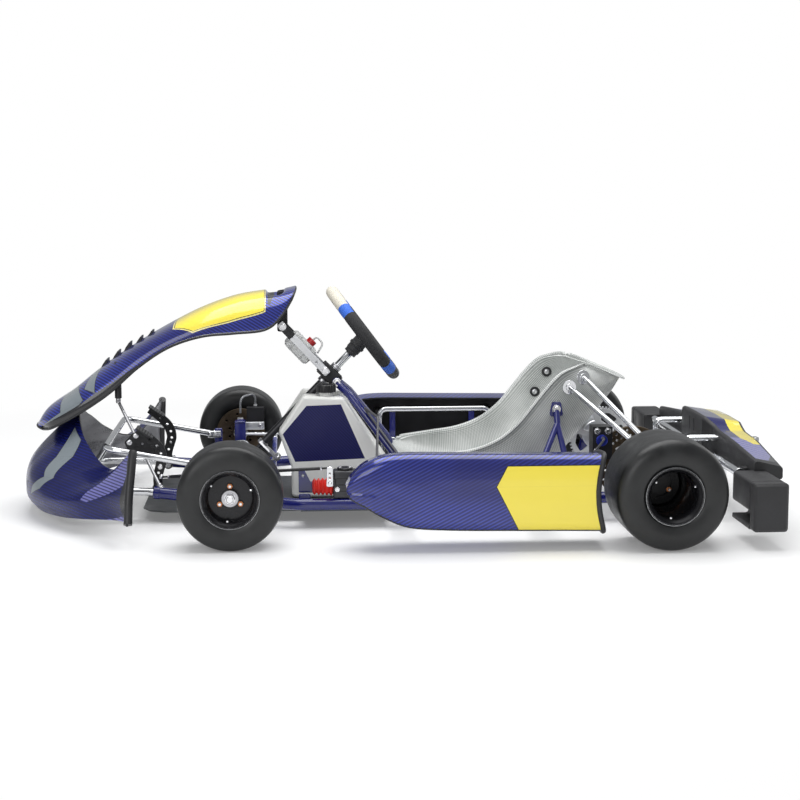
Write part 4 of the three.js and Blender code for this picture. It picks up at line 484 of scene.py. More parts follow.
class Tree:
    """A material's node tree while it is being put together."""

    def __init__(self, name: str) -> None:
        """Starts a material with its shader and output.

        Args:
            name: the material's name.
        """
        self.material = bpy.data.materials.new(name)
        self.material.use_nodes = True
        self.nodes = self.material.node_tree.nodes
        self.nodes.clear()
        self.shader = self.nodes.new("ShaderNodeBsdfPrincipled")
        self.output = self.nodes.new("ShaderNodeOutputMaterial")
        self.link(self.shader.outputs["BSDF"], self.output.inputs["Surface"])
        self._coords: bpy.types.Node | None = None

    def link(self, source: bpy.types.NodeSocket, target: bpy.types.NodeSocket) -> None:
        """Joins an output to an input."""
        self.material.node_tree.links.new(source, target)

    def feed(self, socket: bpy.types.NodeSocket, value: object) -> None:
        """Gives an input a link or a plain value."""
        if isinstance(value, bpy.types.NodeSocket):
            self.link(value, socket)
        else:
            socket.default_value = value

    def coords(self, kind: str = "Object") -> bpy.types.NodeSocket:
        """The object's own coordinates, or its UV map."""
        if self._coords is None:
            self._coords = self.nodes.new("ShaderNodeTexCoord")
        return self._coords.outputs[kind]

    def math(self, operation: str, a: object, b: object = 0.0, clamp: bool = False) -> bpy.types.NodeSocket:
        """One Math node."""
        node = self.nodes.new("ShaderNodeMath")
        node.operation = operation
        node.use_clamp = clamp
        self.feed(node.inputs[0], a)
        self.feed(node.inputs[1], b)
        return node.outputs[0]

    def dot(self, vector: object, direction: Point) -> bpy.types.NodeSocket:
        """Distance along a direction."""
        node = self.nodes.new("ShaderNodeVectorMath")
        node.operation = "DOT_PRODUCT"
        self.feed(node.inputs[0], vector)
        node.inputs[1].default_value = direction
        return node.outputs["Value"]

    def noise(
        self, scale: float, detail: float = 3.0, vector: object = None, squeeze: Point = (1, 1, 1),
    ) -> bpy.types.NodeSocket:
        """Noise of so many cells a metre, stretched by the squeeze."""
        place = self.nodes.new("ShaderNodeMapping")
        place.inputs["Scale"].default_value = squeeze
        self.feed(place.inputs["Vector"], vector or self.coords())
        node = self.nodes.new("ShaderNodeTexNoise")
        node.inputs["Scale"].default_value = scale
        node.inputs["Detail"].default_value = detail
        self.link(place.outputs["Vector"], node.inputs["Vector"])
        return node.outputs["Fac"]

    def ranged(self, value: object, low: float, high: float, to_low: float, to_high: float) -> bpy.types.NodeSocket:
        """A value moved from one range to another."""
        node = self.nodes.new("ShaderNodeMapRange")
        for socket, number in zip(list(node.inputs)[1:5], (low, high, to_low, to_high)):
            socket.default_value = number
        self.feed(node.inputs[0], value)
        return node.outputs[0]

    def mix(self, share: object, a: object, b: object) -> bpy.types.NodeSocket:
        """A colour between two, read from the node's own colour sockets."""
        node = self.nodes.new("ShaderNodeMix")
        node.data_type = "RGBA"
        self.feed(node.inputs[0], share)
        for index, value in ((6, a), (7, b)):
            self.feed(node.inputs[index], (*value, 1.0) if isinstance(value, tuple) else value)
        return node.outputs[2]

    def bump(self, height: object, depth: float, strength: float = 1.0) -> None:
        """Raises the surface by a height of so many metres, after any bump already made."""
        node = self.nodes.new("ShaderNodeBump")
        node.inputs["Strength"].default_value = strength
        node.inputs["Distance"].default_value = depth
        self.feed(node.inputs["Height"], height)
        earlier = self.shader.inputs["Normal"].links
        if earlier:
            self.link(earlier[0].from_socket, node.inputs["Normal"])
        self.link(node.outputs["Normal"], self.shader.inputs["Normal"])

    def inside(self, corners: Sequence[tuple[float, float]], plane: "Plane") -> bpy.types.NodeSocket:
        """Distance into a convex outline, least of the distances from its edges, in metres.

        Args:
            corners: the outline's corners in millimetres, in either turn.
            plane: the coordinates that they are drawn in.

        Returns:
            A positive value inside and a negative one outside.
        """
        pts = np.asarray(corners, float) * MM
        following = np.roll(pts, -1, axis=0)
        turn = np.sign(np.sum(pts[:, 0] * following[:, 1] - pts[:, 1] * following[:, 0]))
        depth: bpy.types.NodeSocket | None = None
        for start, end in zip(pts, following):
            run = unit(end - start) * turn
            normal = (-run[1], run[0])
            across = self.dot(plane.read(self), plane.spread(normal))
            edge = self.math("SUBTRACT", across, float(np.dot(normal, start)))
            depth = edge if depth is None else self.math("MINIMUM", depth, edge)
        return depth


class Plane(Enum):
    """Coordinates that a block of colour is drawn in."""

    SURFACE = ("UV", 0, 1)
    SIDE = ("Object", 0, 2)
    TOP = ("Object", 0, 1)

    def read(self, tree: Tree) -> bpy.types.NodeSocket:
        """The coordinate socket."""
        return tree.coords(self.value[0])

    def spread(self, pair: tuple[float, float]) -> tuple[float, float, float]:
        """A direction of the plane as a vector of the coordinates."""
        vector = [0.0, 0.0, 0.0]
        vector[self.value[1]], vector[self.value[2]] = pair
        return tuple(vector)


@dataclass(frozen=True)
class Finish:
    """A plain finish: one colour that varies a little, gloss that varies, and a fine grain."""

    name: str
    color: tuple[float, float, float]
    roughness: float = 0.4
    metallic: float = 0.0
    coat: float = 0.0
    vary: float = 0.12
    patch: float = 14.0
    grain: float = 900.0
    depth: float = 0.00004
    squeeze: tuple[float, float, float] = (1, 1, 1)
    dust: float = 0.0

    def make(self) -> bpy.types.Material:
        """Builds the material."""
        tree = Tree(self.name)
        self.fill(tree)
        return tree.material

    def fill(self, tree: Tree) -> None:
        """Puts the finish's colour, gloss and grain into the tree."""
        broad = tree.noise(self.patch, 4)
        dark = tuple(c * (1 - self.vary) for c in self.color)
        pale = tuple(min(c * (1 + self.vary) + self.dust, 1) for c in self.color)
        tree.link(tree.mix(tree.ranged(broad, 0.3, 0.7, 0, 1), dark, pale), tree.shader.inputs["Base Color"])
        tree.shader.inputs["Metallic"].default_value = self.metallic
        self.polish(tree, broad)

    def polish(self, tree: Tree, broad: bpy.types.NodeSocket) -> None:
        """Sets the gloss, which worn places lose, the clear coat and the grain."""
        fine = tree.noise(self.grain, 2, squeeze=self.squeeze)
        worn = tree.math("ADD", tree.math("MULTIPLY", broad, 0.7), tree.math("MULTIPLY", fine, 0.3))
        spread = self.roughness * 0.35
        rough = tree.ranged(worn, 0.3, 0.7, max(self.roughness - spread, 0.02), min(self.roughness + spread, 1))
        tree.link(rough, tree.shader.inputs["Roughness"])
        tree.shader.inputs["Coat Weight"].default_value = self.coat
        tree.shader.inputs["Coat Roughness"].default_value = 0.06
        tree.bump(fine, self.depth)


@dataclass(frozen=True)
class Block:
    """A block of flat colour on bodywork: convex outlines in millimetres, with a dark and a pale line round it."""

    outlines: tuple[tuple[tuple[float, float], ...], ...]
    color: tuple[float, float, float]
    dark_line: float = 0.0
    white_line: float = 0.0
    striped: float = 0.0
    rim: tuple[float, float, float] = (0.75, 0.76, 0.8)
    shine: float = 0.0


@dataclass(frozen=True)
class Bodywork(Finish):
    """Glossy deep blue sheet with fine slanting stripes, and blocks of other colours on it."""

    plane: Plane = Plane.SURFACE
    blocks: tuple[Block, ...] = ()
    stripe_run: tuple[float, float, float] = (0.36, 0.2, 0.91)
    stripe_pitch: float = 0.0075
    stripe_color: tuple[float, float, float] = (0.05, 0.08, 0.52)
    stripe_show: float = 0.8
    gloss: float = 0.4
    stripe_shine: float = 0.55

    def fill(self, tree: Tree) -> None:
        """Adds the stripes and the blocks of colour."""
        broad = tree.noise(self.patch, 4)
        along = tree.dot(tree.coords(), self.stripe_run)
        wave = tree.math("SINE", tree.math("MULTIPLY", along, 2 * math.pi / self.stripe_pitch))
        line = tree.ranged(wave, -0.2, 0.75, 0, 1)
        fade = tree.ranged(tree.noise(5.5, 1, squeeze=(1, 1, 2)), 0.35, 0.65, 0.3, 1)
        show = tree.math("MULTIPLY", tree.math("MULTIPLY", line, fade), self.stripe_show)
        color = tree.mix(show, self.color, self.stripe_color)
        bare: object = 1.0
        for block in self.blocks:
            depth: bpy.types.NodeSocket | None = None
            for outline in block.outlines:
                part = tree.inside(outline, self.plane)
                depth = part if depth is None else tree.math("MAXIMUM", depth, part)
            rings = []
            if block.white_line:
                rings.append((block.dark_line + block.white_line, block.rim))
            if block.dark_line:
                rings.append((block.dark_line, INK))
            for reach, shade in rings:
                color = tree.mix(tree.ranged(depth, -(reach + 0.3) * MM, -(reach - 0.3) * MM, 0, 1), color, shade)
            fill = block.color
            if block.striped:
                other = tuple(min(c * (1 + block.striped), 1) for c in block.color)
                fill = tree.mix(line, block.color, other)
            color = tree.mix(tree.ranged(depth, -0.0003, 0.0003, 0, 1), color, fill)
            bare = tree.math("MULTIPLY", bare, tree.ranged(depth, -0.0003, 0.0003, 1, block.shine))
        tree.link(color, tree.shader.inputs["Base Color"])
        tree.link(
            tree.math("MULTIPLY", tree.math("MULTIPLY", show, bare), self.stripe_shine),
            tree.shader.inputs["Metallic"],
        )
        tree.shader.inputs["Specular IOR Level"].default_value = self.gloss
        self.polish(tree, broad)


@dataclass(frozen=True)
class Weave(Finish):
    """Silver-grey glass cloth: crossing threads seen through clear resin."""

    thread: float = 0.0075
    pale: tuple[float, float, float] = (0.93, 0.94, 0.92)
    plane: Plane = Plane.SURFACE

    def fill(self, tree: Tree) -> None:
        """Adds the threads, lighter and raised where they cross over."""
        broad = tree.noise(self.patch, 4)
        place = self.plane.read(tree)
        turns = 2 * math.pi / self.thread
        waves = [
            tree.math("SINE", tree.math("MULTIPLY", tree.dot(place, run), turns))
            for run in (self.plane.spread((0.7, 0.7)), self.plane.spread((0.7, -0.7)))
        ]
        over = tree.math("MULTIPLY", waves[0], waves[1])
        share = tree.math("ADD", tree.ranged(over, -0.9, 0.9, 0.05, 0.8), tree.ranged(broad, 0.3, 0.7, -0.15, 0.2))
        tree.link(tree.mix(share, self.color, self.pale), tree.shader.inputs["Base Color"])
        tree.shader.inputs["Metallic"].default_value = self.metallic
        self.polish(tree, broad)
        tree.bump(over, 0.00012, 0.6)


@dataclass(frozen=True)
class Dimples(Finish):
    """Tyre rubber with rows of small round wear holes."""

    around: float = 0.052
    across: float = 0.034

    def fill(self, tree: Tree) -> None:
        """Adds the holes on the tread, in the map's steps round and across, darkened with painted shade."""
        super().fill(tree)
        place = tree.coords("UV")
        cells = []
        for direction, step in (((1, 0, 0), self.around), ((0, 1, 0), self.across)):
            cell = tree.math("FRACT", tree.math("DIVIDE", tree.dot(place, direction), step))
            centred = tree.math("MULTIPLY", tree.math("SUBTRACT", cell, 0.5), step)
            cells.append(tree.math("POWER", tree.math("ABSOLUTE", centred), 2.0))
        reach = tree.math("SQRT", tree.math("ADD", cells[0], cells[1]))
        hole = tree.ranged(reach, 0.0018, 0.0026, 0, 1)
        tread = tree.ranged(tree.math("ABSOLUTE", tree.dot(place, (0, 1, 0))), 0.048, 0.052, 0, 1)
        flat = tree.math("MAXIMUM", hole, tread)
        base = tree.shader.inputs["Base Color"]
        rubber = base.links[0].from_socket
        # The holes get a near-black colour, which is painted shade in the recesses; the same mask sinks them with the
        # bump below.
        tree.link(tree.mix(flat, (0.004, 0.004, 0.005), rubber), base)
        tree.bump(flat, 0.0012, 0.8)


@dataclass(frozen=True)
class Braid(Finish):
    """Braided steel over a hose: two sets of strands that run round it against each other."""

    strand: float = 0.0022

    def fill(self, tree: Tree) -> None:
        """Adds the strands, from the map's run along and round the hose."""
        super().fill(tree)
        place = tree.coords("UV")
        turns = 2 * math.pi / self.strand
        waves = [
            tree.math(
                "SINE", tree.math("MULTIPLY", tree.dot(place, run), turns),
            ) for run in ((0.7, 0.7, 0), (0.7, -0.7, 0))
        ]
        over = tree.math("MULTIPLY", waves[0], waves[1])
        base = tree.shader.inputs["Base Color"]
        steel = base.links[0].from_socket
        tree.link(tree.mix(tree.ranged(over, -0.8, 0.4, 0, 1), (0.03, 0.03, 0.035), steel), base)
        tree.bump(over, 0.0002)


@dataclass(frozen=True)
class Clear(Finish):
    """A pale plastic that lets light through."""

    through: float = 0.3

    def fill(self, tree: Tree) -> None:
        """Adds the light that passes through."""
        super().fill(tree)
        tree.shader.inputs["Transmission Weight"].default_value = self.through
        tree.shader.inputs["Subsurface Weight"].default_value = 0.3
        tree.shader.inputs["Subsurface Radius"].default_value = (0.02, 0.02, 0.02)
        tree.shader.inputs["Subsurface Scale"].default_value = 0.4


NAVY = (0.009, 0.01, 0.105)
YELLOW = (0.93, 0.77, 0.08)
SILVER = (0.2, 0.23, 0.25)
LAVENDER = (0.18, 0.18, 0.47)
INK = (0.012, 0.012, 0.015)


@dataclass
class Workshop:
    """Every finish of the kart, made once."""

    made: dict[str, bpy.types.Material] = field(default_factory=dict)
    plain: tuple[Finish, ...] = (
        Finish("blue_paint", (0.012, 0.016, 0.16), 0.22, coat=0.6, vary=0.2, grain=1600, depth=0.00001),
        Finish("chrome", (0.72, 0.73, 0.75), 0.14, 1.0, vary=0.06, grain=500, depth=0.000008),
        Finish("dull_steel", (0.5, 0.5, 0.52), 0.32, 1.0, vary=0.15, grain=700, depth=0.00003),
        Finish("cast_aluminium", (0.74, 0.75, 0.77), 0.36, 0.9, vary=0.12, grain=800, depth=0.00005),
        Finish("bright_bolt", (0.8, 0.8, 0.82), 0.2, 1.0, vary=0.1, grain=900, depth=0.00001),
        Finish("black_plastic", (0.018, 0.018, 0.02), 0.42, vary=0.25, grain=1500, depth=0.00006, dust=0.003),
        Finish("rough_plastic", (0.02, 0.02, 0.022), 0.55, vary=0.3, grain=750, depth=0.0002, dust=0.006),
        Finish("black_metal", (0.014, 0.014, 0.016), 0.34, 0.2, vary=0.3, grain=900, depth=0.00004, dust=0.004),
        Finish("bead_black", (0.012, 0.012, 0.014), 0.26, 0.3, vary=0.25, grain=900, depth=0.00004),
        Finish("bronze_steel", (0.1, 0.075, 0.05), 0.36, 0.9, vary=0.3, grain=300, depth=0.00003, squeeze=(1, 0.2, 1)),
        Finish("copper", (0.62, 0.24, 0.1), 0.3, 1.0, vary=0.2, grain=600, depth=0.00003),
        Finish("red_rubber", (0.68, 0.03, 0.02), 0.45, vary=0.15, grain=500, depth=0.00005),
        Finish("red_plastic", (0.45, 0.01, 0.012), 0.35, vary=0.1),
        Finish("blue_anodised", (0.02, 0.035, 0.32), 0.3, 0.6, vary=0.15),
        Finish("tray_sheet", (0.1, 0.105, 0.11), 0.42, 0.7, vary=0.2, grain=420, depth=0.00004, squeeze=(0.1, 1, 1)),
        Finish("grip_suede", (0.024, 0.024, 0.026), 0.85, vary=0.35, grain=1400, depth=0.00025, dust=0.006),
        Finish("grip_cream", (0.72, 0.68, 0.58), 0.75, vary=0.08, grain=1400, depth=0.0002),
        Finish("grip_blue", (0.04, 0.15, 0.66), 0.6, vary=0.15, grain=1400, depth=0.0002),
        Finish("spoke_black", (0.02, 0.02, 0.023), 0.3, 0.5, vary=0.3, grain=700, depth=0.00003),
        Finish("inner_black", (0.012, 0.012, 0.014), 0.6, vary=0.3, grain=500, depth=0.0001),
        Finish("inner_grey", (0.3, 0.3, 0.32), 0.3, 0.35, vary=0.3, patch=7, grain=300, depth=0.0001),
        Finish("dark_casting", (0.05, 0.05, 0.055), 0.4, 0.5, vary=0.3, grain=600, depth=0.0001, dust=0.01),
        Finish("white_plastic", (0.8, 0.8, 0.78), 0.4, vary=0.05, grain=900, depth=0.00005),
        Clear("milky_plastic", (0.82, 0.83, 0.82), 0.35, vary=0.04, grain=700, depth=0.00008),
        Dimples("tyre_rubber", (0.009, 0.0095, 0.01), 0.4, vary=0.3, patch=22, grain=700, depth=0.0001, dust=0.004),
        Weave("seat_cloth", (0.2, 0.22, 0.21), 0.36, 0.0, coat=0.3, vary=0.1, patch=9, grain=900, depth=0.00004),
        Braid("braided_steel", (0.45, 0.46, 0.48), 0.35, 0.9, vary=0.1),
        Braid("dark_braid", (0.16, 0.16, 0.17), 0.4, 0.5, vary=0.2, strand=0.005),
    )

    def __getitem__(self, name: str) -> bpy.types.Material:
        """The material of a finish's name."""
        if name not in self.made:
            self.made[name] = next(f for f in self.plain if f.name == name).make()
        return self.made[name]

    def special(self, finish: Finish) -> bpy.types.Material:
        """A finish that one piece brings with it."""
        if finish.name not in self.made:
            self.made[finish.name] = finish.make()
        return self.made[finish.name]


shop = Workshop()


@dataclass
class Maker:
    """Turns forms into pieces: each finish's forms go in with that finish's name."""

    made: int = 0

    def piece(
        self,
        name: str,
        parts: dict[str, Sequence[Form]],
        body: str,
        nodes: Sequence[str] = (),
        angle: float = SMOOTH_ANGLE,
    ) -> bpy.types.Object:
        """Makes one piece of the kart.

        Args:
            name: the piece's name.
            parts: forms by finish name; a tuple of names, joined by "+", serves forms that carry their own marks.
            body: body of the frame that it rides on.
            nodes: CAD nodes that it stands for.
            angle: edges sharper than this stay sharp.

        Returns:
            The piece's object.
        """
        forms, coats = [], []
        for names, group in parts.items():
            base = len(coats)
            coats += names.split("+")
            forms += [Form(f.points, f.faces, [mark + base for mark in f.marks], f.places) for f in group]
        form = joined(*forms)
        mesh = bpy.data.meshes.new(name)
        mesh.from_pydata(((form.points - [DATUM_X, 0, 0]) * MM).tolist(), [], form.faces)
        mesh.polygons.foreach_set("material_index", form.marks)
        corners = np.empty(len(mesh.loops), int)
        mesh.loops.foreach_get("vertex_index", corners)
        layer = mesh.uv_layers.new(name="UVMap")
        layer.data.foreach_set("uv", (form.places[corners] * MM).ravel())
        work = bmesh.new()
        work.from_mesh(mesh)
        bmesh.ops.remove_doubles(work, verts=work.verts, dist=WELD_GAP)
        bmesh.ops.dissolve_degenerate(work, edges=work.edges, dist=WELD_GAP)
        work.to_mesh(mesh)
        work.free()
        mesh.polygons.foreach_set("use_smooth", np.ones(len(mesh.polygons), bool))
        mesh.set_sharp_from_angle(angle=angle)
        for coat in coats:
            mesh.materials.append(shop[coat])
        obj = bpy.data.objects.new(name, mesh)
        bpy.context.scene.collection.objects.link(obj)
        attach(obj, str(body.value if isinstance(body, Body) else body))
        if nodes:
            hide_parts(*nodes)
        self.made += 1
        log.info("%s: %d faces on %s", name, len(mesh.polygons), body)
        return obj


maker = Maker()


# ---------------------------------------------------------------------------------------------------------------
# Places that several classes share

WHEELBASE = 1045.0
KINGPIN_Y = 420
WHEEL_DROP = 12.7
BEARING_DOWN = 142
TIE_DOWN, TIE_RAISED = 416.3, -56
TIE_INNER_Y, TIE_OUTER_Y = 16, 409
RAIL_Z = 61
AXLE_BOLT_X, AXLE_LUG_Z = 16, 203.0
FRONT_AXLE_Z = 126.70
REAR_AXLE_Z = 135.64
COLUMN_COS, COLUMN_SIN = 0.6984, 0.7157
WHEEL_COS, WHEEL_SIN = 0.7997, 0.6004
HUB = (353.0, 456.0)
RAIL_LINE = ((-205, 235, 78), (-20, 262, 61), (170, 340, 61), (600, 345, 61), (860, 305, 61), (1128, 305, 61))
COLUMN_AXES = ((COLUMN_COS, 0, COLUMN_SIN), ACROSS, (-COLUMN_SIN, 0, COLUMN_COS))
WHEEL_AXES = (ACROSS, (-WHEEL_SIN, 0, WHEEL_COS), (WHEEL_COS, 0, WHEEL_SIN))
DOWN_COLUMN = (-COLUMN_COS, 0, -COLUMN_SIN)


def on_column(down: float, y: float = 0.0, raised: float = 0.0) -> Array:
    """A point so far down the steering column from its hub, and raised square to it."""
    return np.array([
        HUB[0] - COLUMN_COS * down - COLUMN_SIN * raised, y, HUB[1] - COLUMN_SIN * down + COLUMN_COS * raised,
    ])


def on_wheel(y: Array | float, up: Array | float, out: Array | float) -> Array:
    """A point in the steering wheel's frame: across the kart, up the wheel's plane and out along its normal."""
    return np.stack(np.broadcast_arrays(
        HUB[0] - WHEEL_SIN * (up + WHEEL_DROP) + WHEEL_COS * out, y,
        HUB[1] + WHEEL_COS * (up + WHEEL_DROP) + WHEEL_SIN * out,
    ), -1)


def rail_y(x: float) -> float:
    """The rail's distance from the kart's middle at a place along it."""
    return float(np.interp(x, [p[0] for p in RAIL_LINE], [p[1] for p in RAIL_LINE]))


def mirror_all(forms: Sequence[Form], side: int) -> list[Form]:
    """Forms drawn for the right side, as they are there or mirrored to the left one."""
    return [f if side > 0 else f.mirrored() for f in forms]


def polar(reach: float, angle: float) -> tuple[float, float]:
    """A point of a flat outline at a distance and an angle."""
    return reach * math.cos(angle), reach * math.sin(angle)


def section_box(x: tuple[float, float], y: tuple[float, float], z: tuple[float, float], radius: float = 1.5) -> Form:
    """A box between two corners with round edges."""
    low, high = np.array([x[0], y[0], z[0]], float), np.array([x[1], y[1], z[1]], float)
    return rounded_box((low + high) / 2, high - low, radius)


# ---------------------------------------------------------------------------------------------------------------
# Studio


@dataclass
class Studio:
    """Pale floor, soft lamps and the camera of the photograph."""

    camera_place: tuple[float, float, float] = (-0.2693, -4.4022, 0.8617)
    yaw: float = 0.07143
    pitch: float = 0.13096
    roll: float = -0.00123
    lens: float = 73.31
    floor_reach: float = 14.0
    floor_facets: int = 96
    floor_drop: float = 0.0004
    lamps: tuple[tuple[str, tuple[float, float, float], tuple[float, float, float], float, float], ...] = (
        ("overhead", (0.1, 0.0, 3.2), (0.0, 0.0, 0.0), 3.2, 112.0),
        ("left_front", (-2.2, -4.0, 2.0), (0.0, 0.0, 0.25), 2.4, 52.0),
        ("right_rear", (3.4, 1.6, 1.9), (0.2, 0.0, 0.2), 2.4, 24.0),
    )

    def build(self) -> None:
        """Makes the floor, the world, the lamps and the camera."""
        bpy.context.scene.view_settings.view_transform = "Standard"
        self.floor()
        self.world()
        for name, place, target, size, power in self.lamps:
            self.lamp(name, place, target, size, power)
        self.camera()

    def floor(self) -> None:
        """Lays a disc whose colour meets the white background far out and keeps the kart's shadow close in."""
        facets, reach = self.floor_facets, self.floor_reach
        angle = np.linspace(0, 2 * np.pi, facets, endpoint=False)
        ring = np.stack([reach * np.cos(angle), reach * np.sin(angle), np.full(facets, -self.floor_drop)], -1)
        mesh = bpy.data.meshes.new("floor")
        mesh.from_pydata(ring.tolist(), [], [tuple(range(facets))])
        floor = bpy.data.objects.new("floor", mesh)
        bpy.context.scene.collection.objects.link(floor)
        tree = Tree("floor_paper")
        shader = tree.shader
        grain = tree.noise(260, 2)
        tree.link(tree.mix(grain, (0.93, 0.93, 0.93), (0.95, 0.95, 0.95)), shader.inputs["Base Color"])
        shader.inputs["Roughness"].default_value = 0.9
        shader.inputs["Specular IOR Level"].default_value = 0.1
        light = tree.nodes.new("ShaderNodeEmission")
        light.inputs["Color"].default_value = (1, 1, 1, 1)
        light.inputs["Strength"].default_value = 1.0
        rays = tree.nodes.new("ShaderNodeLightPath")
        seen = tree.math("MAXIMUM", rays.outputs["Is Camera Ray"], rays.outputs["Is Glossy Ray"])
        seen = tree.math("MAXIMUM", seen, rays.outputs["Is Transmission Ray"])
        flat = tree.nodes.new("ShaderNodeVectorMath")
        flat.operation = "LENGTH"
        tree.link(tree.coords(), flat.inputs[0])
        away = tree.ranged(flat.outputs["Value"], 0.9, 2.4, 0.16, 1.0)
        mixer = tree.nodes.new("ShaderNodeMixShader")
        tree.link(tree.math("MULTIPLY", seen, away), mixer.inputs[0])
        tree.link(shader.outputs[0], mixer.inputs[1])
        tree.link(light.outputs[0], mixer.inputs[2])
        tree.link(mixer.outputs[0], tree.output.inputs["Surface"])
        mesh.materials.append(tree.material)

    def world(self) -> None:
        """Makes the room: soft white light, and plain white where it is seen."""
        world = bpy.data.worlds.new("room")
        world.use_nodes = True
        nodes, links = world.node_tree.nodes, world.node_tree.links
        nodes.clear()
        out = nodes.new("ShaderNodeOutputWorld")
        rays = nodes.new("ShaderNodeLightPath")
        seen = nodes.new("ShaderNodeMath")
        seen.operation = "MAXIMUM"
        links.new(rays.outputs["Is Camera Ray"], seen.inputs[0])
        links.new(rays.outputs["Is Transmission Ray"], seen.inputs[1])
        room = nodes.new("ShaderNodeBackground")
        room.inputs["Color"].default_value = (0.96, 0.98, 1.0, 1)
        room.inputs["Strength"].default_value = 0.4
        white = nodes.new("ShaderNodeBackground")
        white.inputs["Color"].default_value = (1, 1, 1, 1)
        mixer = nodes.new("ShaderNodeMixShader")
        links.new(seen.outputs[0], mixer.inputs[0])
        links.new(room.outputs[0], mixer.inputs[1])
        links.new(white.outputs[0], mixer.inputs[2])
        links.new(mixer.outputs[0], out.inputs["Surface"])
        bpy.context.scene.world = world

    def lamp(self, name: str, place: Point, target: Point, size: float, power: float) -> None:
        """Hangs one soft square lamp that looks at a target."""
        light = bpy.data.lights.new(name, "AREA")
        light.shape = "SQUARE"
        light.size = size
        light.energy = power
        lamp = bpy.data.objects.new(name, light)
        lamp.location = place
        lamp.rotation_euler = (Vector(target) - Vector(place)).to_track_quat("-Z", "Y").to_euler()
        lamp.visible_camera = False
        bpy.context.scene.collection.objects.link(lamp)

    def camera(self) -> None:
        """Sets the camera where the photograph was taken from."""
        forward = Vector((
            math.sin(self.yaw) * math.cos(self.pitch), math.cos(self.yaw) * math.cos(self.pitch), -math.sin(self.pitch),
        ))
        right = Vector((math.cos(self.yaw), -math.sin(self.yaw), 0))
        up = right.cross(forward)
        turned_right = right * math.cos(self.roll) + up * math.sin(self.roll)
        turned_up = up * math.cos(self.roll) - right * math.sin(self.roll)
        data = bpy.data.cameras.new("camera")
        data.sensor_width = 36
        data.lens = self.lens
        data.clip_end = 60
        camera = bpy.data.objects.new("camera", data)
        matrix = Matrix((turned_right, turned_up, -forward)).transposed().to_4x4()
        matrix.translation = self.camera_place
        camera.matrix_world = matrix
        bpy.context.scene.collection.objects.link(camera)
        bpy.context.scene.camera = camera


# ---------------------------------------------------------------------------------------------------------------
# Frame


